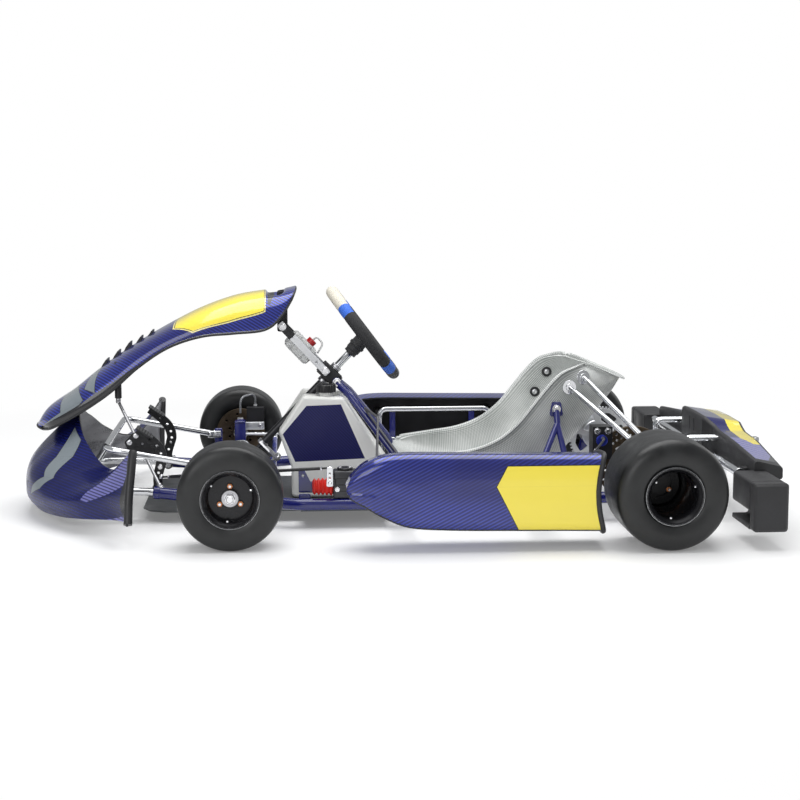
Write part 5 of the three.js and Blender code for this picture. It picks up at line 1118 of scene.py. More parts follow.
@dataclass
class MainFrame:
    """Bent rails with their yokes, stays and axle hangers, the cross tubes and the tray."""

    radius: float = 15
    bend: float = 90
    cross_radius: float = 13
    cross_places: tuple[tuple[str, float], ...] = (("front", 24), ("seat", 440), ("rear", 905))
    socket_places: tuple[float, float] = (422.6, 766)

    def build(self) -> None:
        """Makes the frame's pieces."""
        for name, side in SIDES:
            self.rail(name, side)
        for name, x in self.cross_places:
            self.cross_tube(name, x)
        dress("floor_tray", "tray_sheet", 0.6)

    def hanger(self, y: float) -> Form:
        """A plate that holds the axle carrier from below, open towards it."""
        arc = np.radians(np.linspace(-20, -160, 15))
        cup = np.stack([WHEELBASE + 42.3 * np.cos(arc), REAR_AXLE_Z + 42.3 * np.sin(arc)], -1)
        outline = np.vstack([[(994, 61)], [(1096, 61)], cup])
        return flat_plate(outline, [circle(1012, 80, 5), circle(1078, 80, 5)], 7, (0, y, 0), UPRIGHT_PLATE, 0.8)

    def rail(self, name: str, side: int) -> None:
        """Makes one rail with all that is welded to it."""
        line = bent_line(RAIL_LINE, self.bend, 10)
        stay = [tube(np.array([(x, rail_y(x), RAIL_Z), (846, 206, 241)]), 8, 18) for x in (752, 876)]
        stay.append(tube(np.array([(846.5, 208, 234), (845, 196, 274)]), 8.6, 20))
        tab = rounded_outline([(826, 258), (864, 258), (857, 297), (833, 297)], 13)
        lug = ((165, 195), (316, 330), (61, 84), 2) if side < 0 else ((200, 230), (330, 344), (61, 80), 3)
        blue = [
            tube(line, self.radius, 28),
            tube(bent_line([(0, 268, 61), (0, 330, 66), (0, 390, 99)], 60), 13, 24),
            section_box((-16, 16), (386, 432), (162, 170), 2.5),
            section_box((-16, 16), (386, 432), (83.4, 91.4), 2.5),
            section_box((-16, 16), (386, 394), (84, 169.5), 2.5),
            section_box((-70, -48), (269, 281), (61, 168), 4),
            section_box((-70, -48), (rail_y(-70) - 6, 281), (55, 73), 4),
            *stay,
            flat_plate(tab, [circle(845, 277, 4.5)], 6, (0, 191, 0), UPRIGHT_PLATE, 1.2),
            self.hanger(292.5),
            self.hanger(317.5),
            *(rod((x, rail_y(x), RAIL_Z), (x, rail_y(x) + 30, RAIL_Z), 13, 24, 1) for x in self.socket_places),
            rod((-206.5, 234.8, 78.1), (-190, 237.2, 76.6), 16.6, 28, 1.5),
            section_box(*lug),
        ]
        steel = [
            rod((0, KINGPIN_Y, 79.4), (0, KINGPIN_Y, 174), 5),
            nut((0, KINGPIN_Y, 170), UP, 17, 8), nut((0, KINGPIN_Y, 83.4), (0, 0, -1), 17, 7),
            rod((-199, 232, 77), (-199, 184, 77), 5),
            bolt((-199, 184.5, 77), (0, -1, 0), 4, 3.2),
            bolt((845, 194, 277), ACROSS, 5.5),
            nut((845, 184, 277), (0, -1, 0), 14, 6),
            bolt((-59, 281, 151), ACROSS, 3.4, 4),
            bolt((-188, 236.5, 92), (0, 0.1, 1), 3.6, 3.5),
            bolt((1064, 321, 84), ACROSS, 4), bolt((1026, 321, 84), ACROSS, 4),
            *(bolt((x, rail_y(x) + 20, 74), UP, 3, 3) for x in self.socket_places),
        ]
        maker.piece(
            f"{name}_rail_tubes",
            {"blue_paint": mirror_all(blue, side), "bright_bolt": mirror_all(steel, side)},
            Body.CHASSIS, [f"{name}_main_rail"],
        )

    def cross_tube(self, name: str, x: float) -> None:
        """Makes a tube between the rails; the front one carries the steering column's foot."""
        reach = rail_y(x) - 4
        forms = [rod((x, -reach, RAIL_Z), (x, reach, RAIL_Z), self.cross_radius, 28)]
        parts = {"blue_paint": forms}
        if name == "front":
            forms.append(rounded_box(on_column(470), (30, 34, 34), 3, COLUMN_AXES))
            forms.append(section_box((11, 37), (-17, 17), (61, 118), 3))
            bolts = [bolt(on_column(470, y * 17), (0, y, 0), 3.4, 3.5) for y in (-1, 1)]
            parts["bright_bolt"] = bolts
        maker.piece(f"{name}_cross_bar", parts, Body.CHASSIS, [f"{name}_cross_tube"])


def dress(node: str, finish: str, edge: float) -> None:
    """Gives a CAD node a finish and soft edges, and leaves its mesh as it is.

    Args:
        node: the node's name.
        finish: the finish's name.
        edge: size of its soft edges.
    """
    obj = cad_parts[node]
    for slot in obj.material_slots:
        slot.material = shop[finish]
    weld = obj.modifiers.new("weld", "WELD")
    weld.merge_threshold = 1e-5
    bevel = obj.modifiers.new("edges", "BEVEL")
    bevel.width = edge * MM
    bevel.segments = 3
    bevel.limit_method = "ANGLE"
    bevel.angle_limit = math.radians(35)
    log.info("%s: kept, %s", node, finish)


# ---------------------------------------------------------------------------------------------------------------
# Steering


@dataclass
class Steering:
    """Support, bearing, column, boss and wheel."""

    ring_radius: float = 137.5
    grip: float = 16.5
    spoke_turns: tuple[float, float, float] = (0.75, 0.06, 0.44)

    def build(self) -> None:
        """Makes the steering's pieces."""
        self.support()
        self.column()
        self.boss()
        self.wheel()

    def support(self) -> None:
        """Makes the two bent legs, their bridge and the bearing they hold."""
        legs = []
        for _, side in SIDES:
            corners = [(273, 33, 334), (309, 62, 301), (424, 152, 152), (440, 192, 61)]
            legs.append(tube(bent_line([(x, side * y, z) for x, y, z in corners], 60), 11, 24))
        bridge = [rod((273, side * 25, 334), (273, side * 38, 334), 13, 28, 1.5) for _, side in SIDES]
        bolts = [bolt((273, side * 38, 334), (0, side, 0), 6) for _, side in SIDES]
        maker.piece(
            "steering_hoop", {"blue_paint": [*legs, *bridge], "bright_bolt": bolts},
            Body.CHASSIS, ["steering_support"],
        )
        centre = on_column(BEARING_DOWN)
        block = rounded_box(centre, (34, 40, 62), 5, COLUMN_AXES)
        collar = lathe([(10.3, -20), (15, -20), (15, 20), (10.3, 20)], centre, DOWN_COLUMN, 32, True)
        plates = [rounded_box(on_column(BEARING_DOWN, y * 20.4), (36, 3.2, 64), 1.4, COLUMN_AXES) for y in (-1, 1)]
        bolts = [
            bolt(on_column(BEARING_DOWN, y * 22, up), (0, y, 0), 3.2, 3) for y in (-1, 1) for up in (-24, 24)
        ]
        maker.piece(
            "column_bearing", {"rough_plastic": [block, collar, *plates], "bright_bolt": bolts},
            Body.CHASSIS, ["column_bearing_block"],
        )

    def column(self) -> None:
        """Makes the shaft and the arm at its foot."""
        shaft = lathe([(0, 46), (9.4, 46), (10, 47), (10, 160), (0, 160)], on_column(0), DOWN_COLUMN, 32)
        # The shaft is dark from 160 mm down the column to its foot, and chrome above that.
        dark_lower_shaft = lathe(
            [(0, 160), (10, 160), (10, 411), (9, 412), (6, 413), (6, 480), (5, 482), (0, 482)], on_column(0),
            DOWN_COLUMN, 32,
        )
        collars = [
            lathe(
                [(10, d), (14, d), (14.6, d + 1), (14.6, d + 9), (14, d + 10), (10, d + 10)], on_column(0),
                DOWN_COLUMN, 32, True,
            )
            for d in (111, 163, 398)
        ]
        corners = [(14, -14), (14, 14), (-28, 26), (-63, 26), (-63, -26), (-28, -26)]
        outline = rounded_outline([(y, raised) for raised, y in corners], 10)
        arm = flat_plate(
            outline, [circle(s * 16, -56, 4) for s in (-1, 1)] + [circle(0, -34, 7)], 6, on_column(406),
            (ACROSS, COLUMN_AXES[2], COLUMN_AXES[0]), 0.8,
        )
        bolts = [bolt(on_column(403, s * 16, -56), COLUMN_AXES[0], 4) for s in (-1, 1)]
        maker.piece(
            "steering_shaft",
            {"chrome": [shaft], "dark_casting": [dark_lower_shaft], "dull_steel": [*collars, arm], "bright_bolt": bolts},
            Body.STEERING, ["steering_column"],
        )

    def boss(self) -> None:
        """Makes the stepped boss that carries the wheel."""
        profile = [
            (10, 64), (17, 64), (17.6, 62), (17.6, 54), (19.6, 52), (19.6, 40), (22.6, 38), (22.6, 31), (20.6, 30),
            (20.6, 17), (23, 15), (23, 7), (0, 6),
        ]
        body = lathe(profile, on_column(0), DOWN_COLUMN, 40)
        top = on_wheel(0, -WHEEL_DROP, -2.8)
        plate = lathe([(0, 0), (27.8, 0), (29, 1), (29, 5), (27.8, 6), (0, 6)], top, (-WHEEL_COS, 0, -WHEEL_SIN), 48)
        screws = self.hub_screws(23.5, -8.8, (-WHEEL_COS, 0, -WHEEL_SIN), 2.2)
        maker.piece(
            "wheel_boss", {"rough_plastic": [body, plate], "bright_bolt": screws},
            Body.STEERING, ["steering_boss"],
        )

    def hub_screws(self, reach: float, out: float, axis: Point, size: float) -> list[Form]:
        """Six screws round the wheel's hub, so far out along its normal."""
        spots = [(reach * math.cos(a), -WHEEL_DROP + reach * math.sin(a)) for a in SIXTHS]
        return [bolt(on_wheel(y, up, out), axis, size, size) for y, up in spots]

    def ring(self) -> Form:
        """The grip: a circle carried round a circle, a little slimmer where two covers meet, marked by cover."""
        turns, around = 144, 22
        angle = np.linspace(0, 2 * np.pi, turns, endpoint=False)
        section = np.linspace(0, 2 * np.pi, around, endpoint=False)
        height = self.ring_radius * np.sin(angle)
        seams = (95.0, 68.0, -88.0, -114.0)
        near = np.min([np.abs(height - seam) for seam in seams], axis=0)
        radius = self.grip - 0.9 * np.exp(-((near / 2.5) ** 2)) - 0.5 * (height < -130)
        reach = self.ring_radius + radius[:, None] * np.cos(section)[None]
        points = on_wheel(
            reach * np.cos(angle)[:, None], reach * np.sin(angle)[:, None], radius[:, None] * np.sin(section)[None],
        )
        form = grid(points, (True, True))
        middle = self.ring_radius * np.sin(angle + np.pi / turns)
        mark = np.select([middle > seam for seam in seams], [1, 2, 0, 2], 3)
        form.marks = np.repeat(mark, around).tolist()
        return form

    def wheel(self) -> None:
        """Makes the ring, the pierced spokes and the hub."""
        hub = np.array([0.0, -WHEEL_DROP])
        spokes = []
        for turn in self.spoke_turns:
            angle = turn * 2 * math.pi
            direction = unit(
                np.array([math.cos(angle) * self.ring_radius, math.sin(angle) * self.ring_radius + WHEEL_DROP])
            )
            reach = -hub @ direction + math.sqrt((hub @ direction) ** 2 + self.ring_radius**2 - WHEEL_DROP**2)
            outline = rounded_outline(
                [
                    (16, -18), (40, -12), (reach - 34, -12), (reach - 4, -19), (reach - 4, 19), (reach - 34, 12),
                    (40, 12), (16, 18),
                ],
                9,
            )
            holes = [
                rounded_outline([(s - 9, -5), (s + 9, -5), (s + 9, 5), (s - 9, 5)], 4)
                for s in (reach * 0.42, reach * 0.62)
            ]
            along = np.array(WHEEL_AXES[0]) * direction[0] + np.array(WHEEL_AXES[1]) * direction[1]
            normal = np.array(WHEEL_AXES[2])
            spokes.append(
                flat_plate(
                    outline, holes, 5, on_wheel(0, -WHEEL_DROP, 0), (along, np.cross(normal, along), normal), 0.8,
                )
            )
        middle = on_wheel(0, -WHEEL_DROP, 0)
        disc = lathe(
            [(0, -2.5), (31, -2.5), (32, -1.5), (32, 3.6), (30, 5), (14, 5), (12, 3.4), (0, 3.4)], middle,
            WHEEL_AXES[2], 48,
        )
        screws = self.hub_screws(23, 5, WHEEL_AXES[2], 2.4)
        maker.piece(
            "grip_and_spokes",
            {
                "grip_suede+grip_cream+grip_blue+black_plastic": [self.ring()], "spoke_black": [*spokes, disc],
                "bright_bolt": screws,
            },
            Body.STEERING, ["steering_wheel"], math.radians(45),
        )


# ---------------------------------------------------------------------------------------------------------------
# Wheels


@dataclass
class WheelSet:
    """A tyre on its dished rim, drawn for the right side."""

    centre: tuple[float, float, float]
    tyre_radius: float
    tyre_half: float
    rim_half: float
    web: float
    web_bore: float
    web_thickness: float
    bead: float = 64.4
    tyre_facets: int = 112
    rim_facets: int = 88

    def tyre(self) -> Form:
        """A closed ring: height and half-width shares of the side wall and tread, smoothed, and a flat bead side."""
        bead, height = self.bead, self.tyre_radius - self.bead
        share = np.linspace(0, 1, 26)
        rise = smooth([0, 0.14, 0.42, 0.7, 0.88, 0.965, 0.99, 1.0], share)
        wide = smooth([0.86, 0.955, 1.0, 0.975, 0.9, 0.8, 0.66, 0.4], share)
        side = np.stack([bead + height * np.minimum(rise, 1), self.tyre_half * np.minimum(wide, 1)], -1)
        crown = [(self.tyre_radius, self.tyre_half * s) for s in (0.2, 0, -0.2)]
        profile = np.vstack(
            [
                side, crown, side[::-1] * [1, -1], [(bead - 0.6, -self.tyre_half * 0.8)],
                [(bead - 0.6, self.tyre_half * 0.8)],
            ]
        )
        form = lathe(profile, self.centre, ACROSS, self.tyre_facets, True)
        angle, _ = form.places.T
        along = np.repeat(profile[:, 1], self.tyre_facets + 1)
        form.places = np.stack([angle * self.tyre_radius, along], -1)
        return form

    def rim(self) -> tuple[Form, Form]:
        """The rim's closed section turned round, and the bright edge of its outer lip."""
        h, w, t = self.rim_half, self.web, self.web_thickness / 2
        bore = self.web_bore
        outer = [
            (56, w + t + 4), (56, h - 14), (58, h - 9), (62.5, h - 5), (65, h - 0.6), (69.4, h), (70, h - 0.8),
            (69.4, h - 2.4), (66, h - 3.4), (64, h - 6),
        ]
        seat = [(63.6, h - 22), (60, h - 30), (60, 30 - h), (63.6, 22 - h)]
        inner = [
            (64, 6 - h), (66, 3.4 - h), (69.4, 2.4 - h), (70, 0.8 - h), (69.4, -h), (65, 0.6 - h), (62.5, 5 - h),
            (58, 9 - h), (56, 14 - h), (56, w - t - 4),
        ]
        face = [(52, w - t), (bore + 12, w - t), (bore, w - t), (bore, w + t), (bore + 12, w + t), (52, w + t)]
        body = lathe(outer + seat + inner + face, self.centre, ACROSS, self.rim_facets, True)
        lip = lathe(
            [(69.0, h - 0.25), (70.1, h - 0.4), (70.3, h - 1.4), (69.7, h - 2.7), (67.8, h - 0.2)], self.centre,
            ACROSS, self.rim_facets, True,
        )
        return body, lip

    def bead_screws(self, count: int) -> list[Form]:
        """Small screws through the rim's shoulders that keep the tyre on."""
        forms = []
        for angle in np.arange(count) * 2 * np.pi / count + 0.4:
            radial = np.array([math.cos(angle), 0, math.sin(angle)])
            place = np.asarray(self.centre) + radial * 56.2 + [0, self.rim_half - 17, 0]
            forms.append(rod(place, place - radial * 4.5, 3.4, 10))
        return forms


@dataclass
class FrontCorner:
    """Stub axle, hub, disc, caliper, tie rod, rim and tyre of one front wheel."""

    name: str
    side: int
    wheel: WheelSet = field(default_factory=lambda: WheelSet((0, 547, FRONT_AXLE_Z), 126.70, 66.8, 65, 27, 21, 6))

    def build(self) -> None:
        """Makes the corner's pieces."""
        self.stub_axle()
        self.hub()
        self.tie_rod()
        self.hose()
        dress(f"{self.name}_front_caliper", "black_metal", 2.5)
        body, lip = self.wheel.rim()
        parts = {
            "bead_black": [body], "chrome": [lip], "bright_bolt": self.wheel.bead_screws(3),
            "dull_steel": [
                lathe([(9, 577.3), (20.4, 577.3), (20.4, 579), (9, 579)], (0, 0, FRONT_AXLE_Z), ACROSS, 32, True)
            ],
        }
        self.put(
            f"{self.name}_front_wheel_rim", parts, f"{self.name}_front_wheel",
            f"{self.name}_front_rim",
        )
        self.put(
            f"{self.name}_front_slick", {"tyre_rubber": [self.wheel.tyre()]}, f"{self.name}_front_wheel",
            f"{self.name}_front_tyre",
        )

    def put(self, name: str, parts: dict[str, Sequence[Form]], body: str, node: str) -> None:
        """Makes a piece for this side out of forms drawn for the right one."""
        turned = {finish: mirror_all(forms, self.side) for finish, forms in parts.items()}
        maker.piece(name, turned, body, [node])

    def stub_axle(self) -> None:
        """Makes the kingpin barrel, spindle, nut and steering arm."""
        z = FRONT_AXLE_Z
        tie = on_column(TIE_DOWN, TIE_OUTER_Y, TIE_RAISED)
        arm_z = tie[2] + 7.3 + 3
        length = math.hypot(tie[0], KINGPIN_Y - TIE_OUTER_Y)
        along = unit((tie[0], TIE_OUTER_Y - KINGPIN_Y, 0))
        across = np.cross(UP, along)
        outline = rounded_outline([(-6, -15), (34, -10), (length + 10, -10), (length + 10, 10), (34, 10), (-6, 15)], 9)
        cast = [
            lathe([(5.2, -35), (13, -35), (14, -34), (14, 34), (13, 35), (5.2, 35)], (0, KINGPIN_Y, z), UP, 32, True),
            rod((0, KINGPIN_Y, z), (0, 454.7, z), 14, 32, 1),
            flat_plate(
                outline, [circle(length * 0.45, 0, 5), circle(length * 0.66, 0, 4.5)], 6, (0, KINGPIN_Y, arm_z),
                (along, across, UP), 1,
            ),
            section_box((0, 70), (433.7, 439.7), (138, 161.4), 2),
            section_box((0, 14), (420, 439.7), (138, 161.4), 3),
        ]
        steel = [
            rod((0, KINGPIN_Y, z), (0, 606, z), 8.5, 28, 1.2),
            nut((0, 592.3, z), ACROSS, 22.5, 11),
            lathe([(8.5, 590), (13.6, 590), (13.6, 592.2), (8.5, 592.2)], (0, 0, z), ACROSS, 28, True),
            bolt((tie[0], TIE_OUTER_Y, arm_z + 3), UP, 4),
            bolt((58, 433.7, 150), (0, -1, 0), 3.2),
        ]
        self.put(
            f"{self.name}_spindle", {"cast_aluminium": cast, "bright_bolt": steel}, f"{self.name}_knuckle",
            f"{self.name}_stub_axle",
        )

    def hub(self) -> None:
        """Makes the hub with its flange and studs, and the drilled disc."""
        z = FRONT_AXLE_Z
        body = lathe(
            [
                (8.8, 455), (20, 455), (21, 456), (21, 564), (33, 564.7), (34, 565.5), (34, 570.7), (20.7, 570.7),
                (20.7, 591), (19.7, 592), (8.8, 592),
            ],
            (0, 0, z), ACROSS, 40, True,
        )
        angles = np.arange(18) * 2 * np.pi / 18
        rows = [circle(*polar(36 + 20 * (k % 2), a), 4, 12) for k, a in enumerate(angles)]
        disc = flat_plate(circle(0, 0, 72, 72), [circle(0, 0, 21.2, 36), *rows], 5, (0, 462, z), UPRIGHT_PLATE, 0.5)
        studs, nuts = [], []
        for a in THIRDS:
            x, up = 28.5 * math.cos(a), z + 28.5 * math.sin(a)
            studs.append(rod((x, 566, up), (x, 588, up), 3.9, 16))
            nuts.append(nut((x, 577.2, up), ACROSS, 12.5, 6.5))
        self.put(
            f"{self.name}_front_hub_and_disc",
            {"dull_steel": [body], "bronze_steel": [disc], "copper": nuts, "bright_bolt": studs},
            f"{self.name}_front_wheel", f"{self.name}_front_hub",
        )

    def tie_rod(self) -> None:
        """Makes the level rod with its ball joints and lock nuts."""
        inner, outer = on_column(TIE_DOWN, TIE_INNER_Y, TIE_RAISED), on_column(TIE_DOWN, TIE_OUTER_Y, TIE_RAISED)
        forms = [
            tube(
                np.array([inner + (0, 26, 0), inner + (0, 34, 0), outer - (0, 34, 0), outer - (0, 26, 0)]),
                [5, 6.5, 6.5, 5], 6,
            ),
            rod(inner, inner + (0, 30, 0), 4, 18), rod(outer - (0, 30, 0), outer, 4, 18),
        ]
        steel = [
            ball(inner, 7), ball(outer, 7), nut(inner + (0, 20, 0), ACROSS, 12, 5),
            nut(outer - (0, 20, 0), (0, -1, 0), 12, 5),
        ]
        self.put(
            f"{self.name}_track_rod", {"blue_anodised": forms[:1], "dull_steel": forms[1:], "bright_bolt": steel},
            f"{self.name}_tie_rod_body", f"{self.name}_tie_rod",
        )

    def hose(self) -> None:
        """Makes the short hose from the caliper over the kingpin."""
        line = bent_line([(44, 458, 204.3), (44, 458, 244), (0, 428, 238), (0, 424, 190)], 26)
        ends = [nut((44, 458, 204.3), UP, 10, 8)]
        self.put(
            f"{self.name}_front_hose", {"braided_steel": [tube(line, 3.2, 14)], "bright_bolt": ends},
            f"{self.name}_knuckle", f"{self.name}_front_brake_hose",
        )


@dataclass
class RearAxle:
    """Live axle with its hubs, drilled disc and sprocket, the carriers and the rear wheels."""

    def wheel(self) -> WheelSet:
        """The rear wheel's sizes."""
        return WheelSet((WHEELBASE, 592, REAR_AXLE_Z), 135.64, 104.9, 104, -80, 33, 7)

    def build(self) -> None:
        """Makes the pieces."""
        self.axle()
        self.disc()
        self.sprocket()
        for name, side in SIDES:
            self.carrier(name, side)
            self.rim_and_tyre(name, side)
        self.caliper()

    def axle(self) -> None:
        """Makes the hollow axle and the hubs at its ends."""
        z = REAR_AXLE_Z
        shaft = lathe(
            [(20.5, -520), (24.4, -520), (25, -519.4), (25, 519.4), (24.4, 520), (20.5, 520)], (WHEELBASE, 0, z),
            ACROSS, 48, True,
        )
        hubs, nuts, studs, caps = [], [], [], []
        for _, side in SIDES:
            caps.append(
                lathe(
                    [
                        (r, side * a)
                        for r, a in (
                            (0, 521.5), (26, 521.5), (26.4, 521), (26.4, 508.6), (25.1, 508.6), (25.1, 512),
                            (0, 512),
                        )
                    ],
                    (WHEELBASE, 0, z), ACROSS, 40,
                )
            )
            profile = [
                (25, 438), (31, 438), (32.6, 440), (32.6, 499), (39, 500.4), (40, 501.4), (40, 507.4), (39, 508.2),
                (25, 508.2),
            ]
            hubs.append(lathe([(r, side * a) for r, a in profile], (WHEELBASE, 0, z), ACROSS, 48, True))
            for a in THIRDS:
                x, up = WHEELBASE + 29 * math.cos(a), z + 29 * math.sin(a)
                studs.append(rod((x, side * 500, up), (x, side * 531, up), 3.9, 14))
                nuts.append(nut((x, side * 516, up), (0, side, 0), 13, 7))
        maker.piece(
            "live_axle", {"chrome": [shaft], "black_metal": [*hubs, *caps], "copper": nuts, "bright_bolt": studs},
            Body.REAR_WHEELS, ["rear_axle"],
        )

    def collar(self, y: float) -> list[Form]:
        """The clamp that holds a disc on the axle."""
        z = REAR_AXLE_Z
        ring = lathe(
            [(25.2, -17), (35, -17), (36, -16), (36, 16), (35, 17), (25.2, 17)], (WHEELBASE, y, z), ACROSS, 40,
            True,
        )
        return [
            ring,
            *(
                bolt((WHEELBASE + 30 * math.cos(a), y - 17, z + 30 * math.sin(a)), (0, -1, 0), 2.6, 2.6)
                for a in SIXTHS
            ),
        ]

    def disc(self) -> None:
        """Makes the vented, drilled brake disc."""
        place = (WHEELBASE, -215, REAR_AXLE_Z)
        angles = np.arange(36) * 2 * np.pi / 36
        holes = [circle(*polar(r, a + shift), 3.6, 10) for a in angles for r, shift in ((88, 0), (74, 0.087))]
        windows = [
            rounded_outline([polar(44, a - 0.34), polar(60, a - 0.38), polar(62, a + 0.38), polar(44, a + 0.34)], 5)
            for a in SIXTHS
        ]
        plate = flat_plate(
            circle(0, 0, 98, 96), [circle(0, 0, 34, 40), *windows, *holes], 12, place, UPRIGHT_PLATE, 0.7,
        )
        maker.piece(
            "drilled_disc", {"bronze_steel": [plate], "dull_steel": self.collar(-215)}, Body.REAR_WHEELS,
            ["rear_brake_disc"],
        )

    def sprocket(self) -> None:
        """Makes the toothed wheel: its rim's radius rises and falls with the teeth."""
        teeth = 58
        angle = np.linspace(0, 2 * np.pi, teeth * 6, endpoint=False)
        wave = np.clip(0.5 + 0.9 * np.cos(teeth * angle), 0, 1)
        outline = np.stack([(86.5 + 5.5 * wave) * np.cos(angle), (86.5 + 5.5 * wave) * np.sin(angle)], -1)
        windows = [
            rounded_outline(
                [polar(44, a - 0.34), polar(72, a - 0.4), polar(76, a), polar(72, a + 0.4), polar(44, a + 0.34)], 6,
            )
            for a in SIXTHS + 0.2
        ]
        plate = flat_plate(
            outline, [circle(0, 0, 34, 40), *windows], 6, (WHEELBASE, 215, REAR_AXLE_Z), UPRIGHT_PLATE, 0.6,
        )
        maker.piece(
            "toothed_wheel", {"cast_aluminium": [plate], "dull_steel": self.collar(215)}, Body.REAR_WHEELS,
            ["sprocket"],
        )

    def carrier(self, name: str, side: int) -> None:
        """Makes a bearing carrier with the lug for the seat struts."""
        z = REAR_AXLE_Z
        body = lathe(
            [(26, 279), (40, 279), (42, 281), (42, 329), (40.5, 331), (38, 332), (38, 370.6), (36.6, 372), (26, 372)],
            (WHEELBASE, 0, z), ACROSS, 56, True,
        )
        outline = rounded_outline([(1015, 150), (1075, 150), (1075, 206), (1064, 214), (1026, 214), (1015, 206)], 7)
        lug = flat_plate(outline, [circle(1045, 190, 7)], 8, (0, 368, 0), UPRIGHT_PLATE, 1)
        bolts = [bolt((x, 372, 203), ACROSS, 4.5) for x in (1029, 1061)]
        bolts += [
            bolt((WHEELBASE + 36 * math.cos(a), 331, z + 36 * math.sin(a)), ACROSS, 2.6, 3)
            for a in np.radians((35, 145, 215, 325))
        ]
        seal = lathe([(25.4, 372), (30, 372), (31, 373), (30, 374), (25.4, 374)], (WHEELBASE, 0, z), ACROSS, 40, True)
        maker.piece(
            f"{name}_bearing_carrier",
            {
                "cast_aluminium": mirror_all([body, lug], side), "bright_bolt": mirror_all(bolts, side),
                "black_plastic": mirror_all([seal], side),
            },
            Body.CHASSIS, [f"{name}_axle_carrier"],
        )

    def rim_and_tyre(self, name: str, side: int) -> None:
        """Makes one rear rim and its tyre."""
        wheel = self.wheel()
        body, lip = wheel.rim()
        maker.piece(
            f"{name}_rear_wheel_rim",
            {
                "bead_black": mirror_all([body], side), "chrome": mirror_all([lip], side),
                "bright_bolt": mirror_all(wheel.bead_screws(3), side),
            },
            Body.REAR_WHEELS, [f"{name}_rear_rim"],
        )
        maker.piece(
            f"{name}_rear_slick", {"tyre_rubber": mirror_all([wheel.tyre()], side)}, Body.REAR_WHEELS,
            [f"{name}_rear_tyre"],
        )

    def caliper(self) -> None:
        """Dresses the rear caliper and bolts it together."""
        dress("rear_brake_caliper", "black_metal", 2.5)
        bolts = [bolt((x, -240, z), (0, -1, 0), 4.2) for x, z in ((946, 224), (974, 224), (944, 170))]
        cap = lathe([(0, 0), (15, 0), (15, 3), (13, 4.4), (0, 4.4)], (958, -240, 200), (0, -1, 0), 32)
        maker.piece("caliper_bolts", {"bright_bolt": bolts, "blue_anodised": [cap]}, Body.CHASSIS)


# ---------------------------------------------------------------------------------------------------------------
# Bodywork


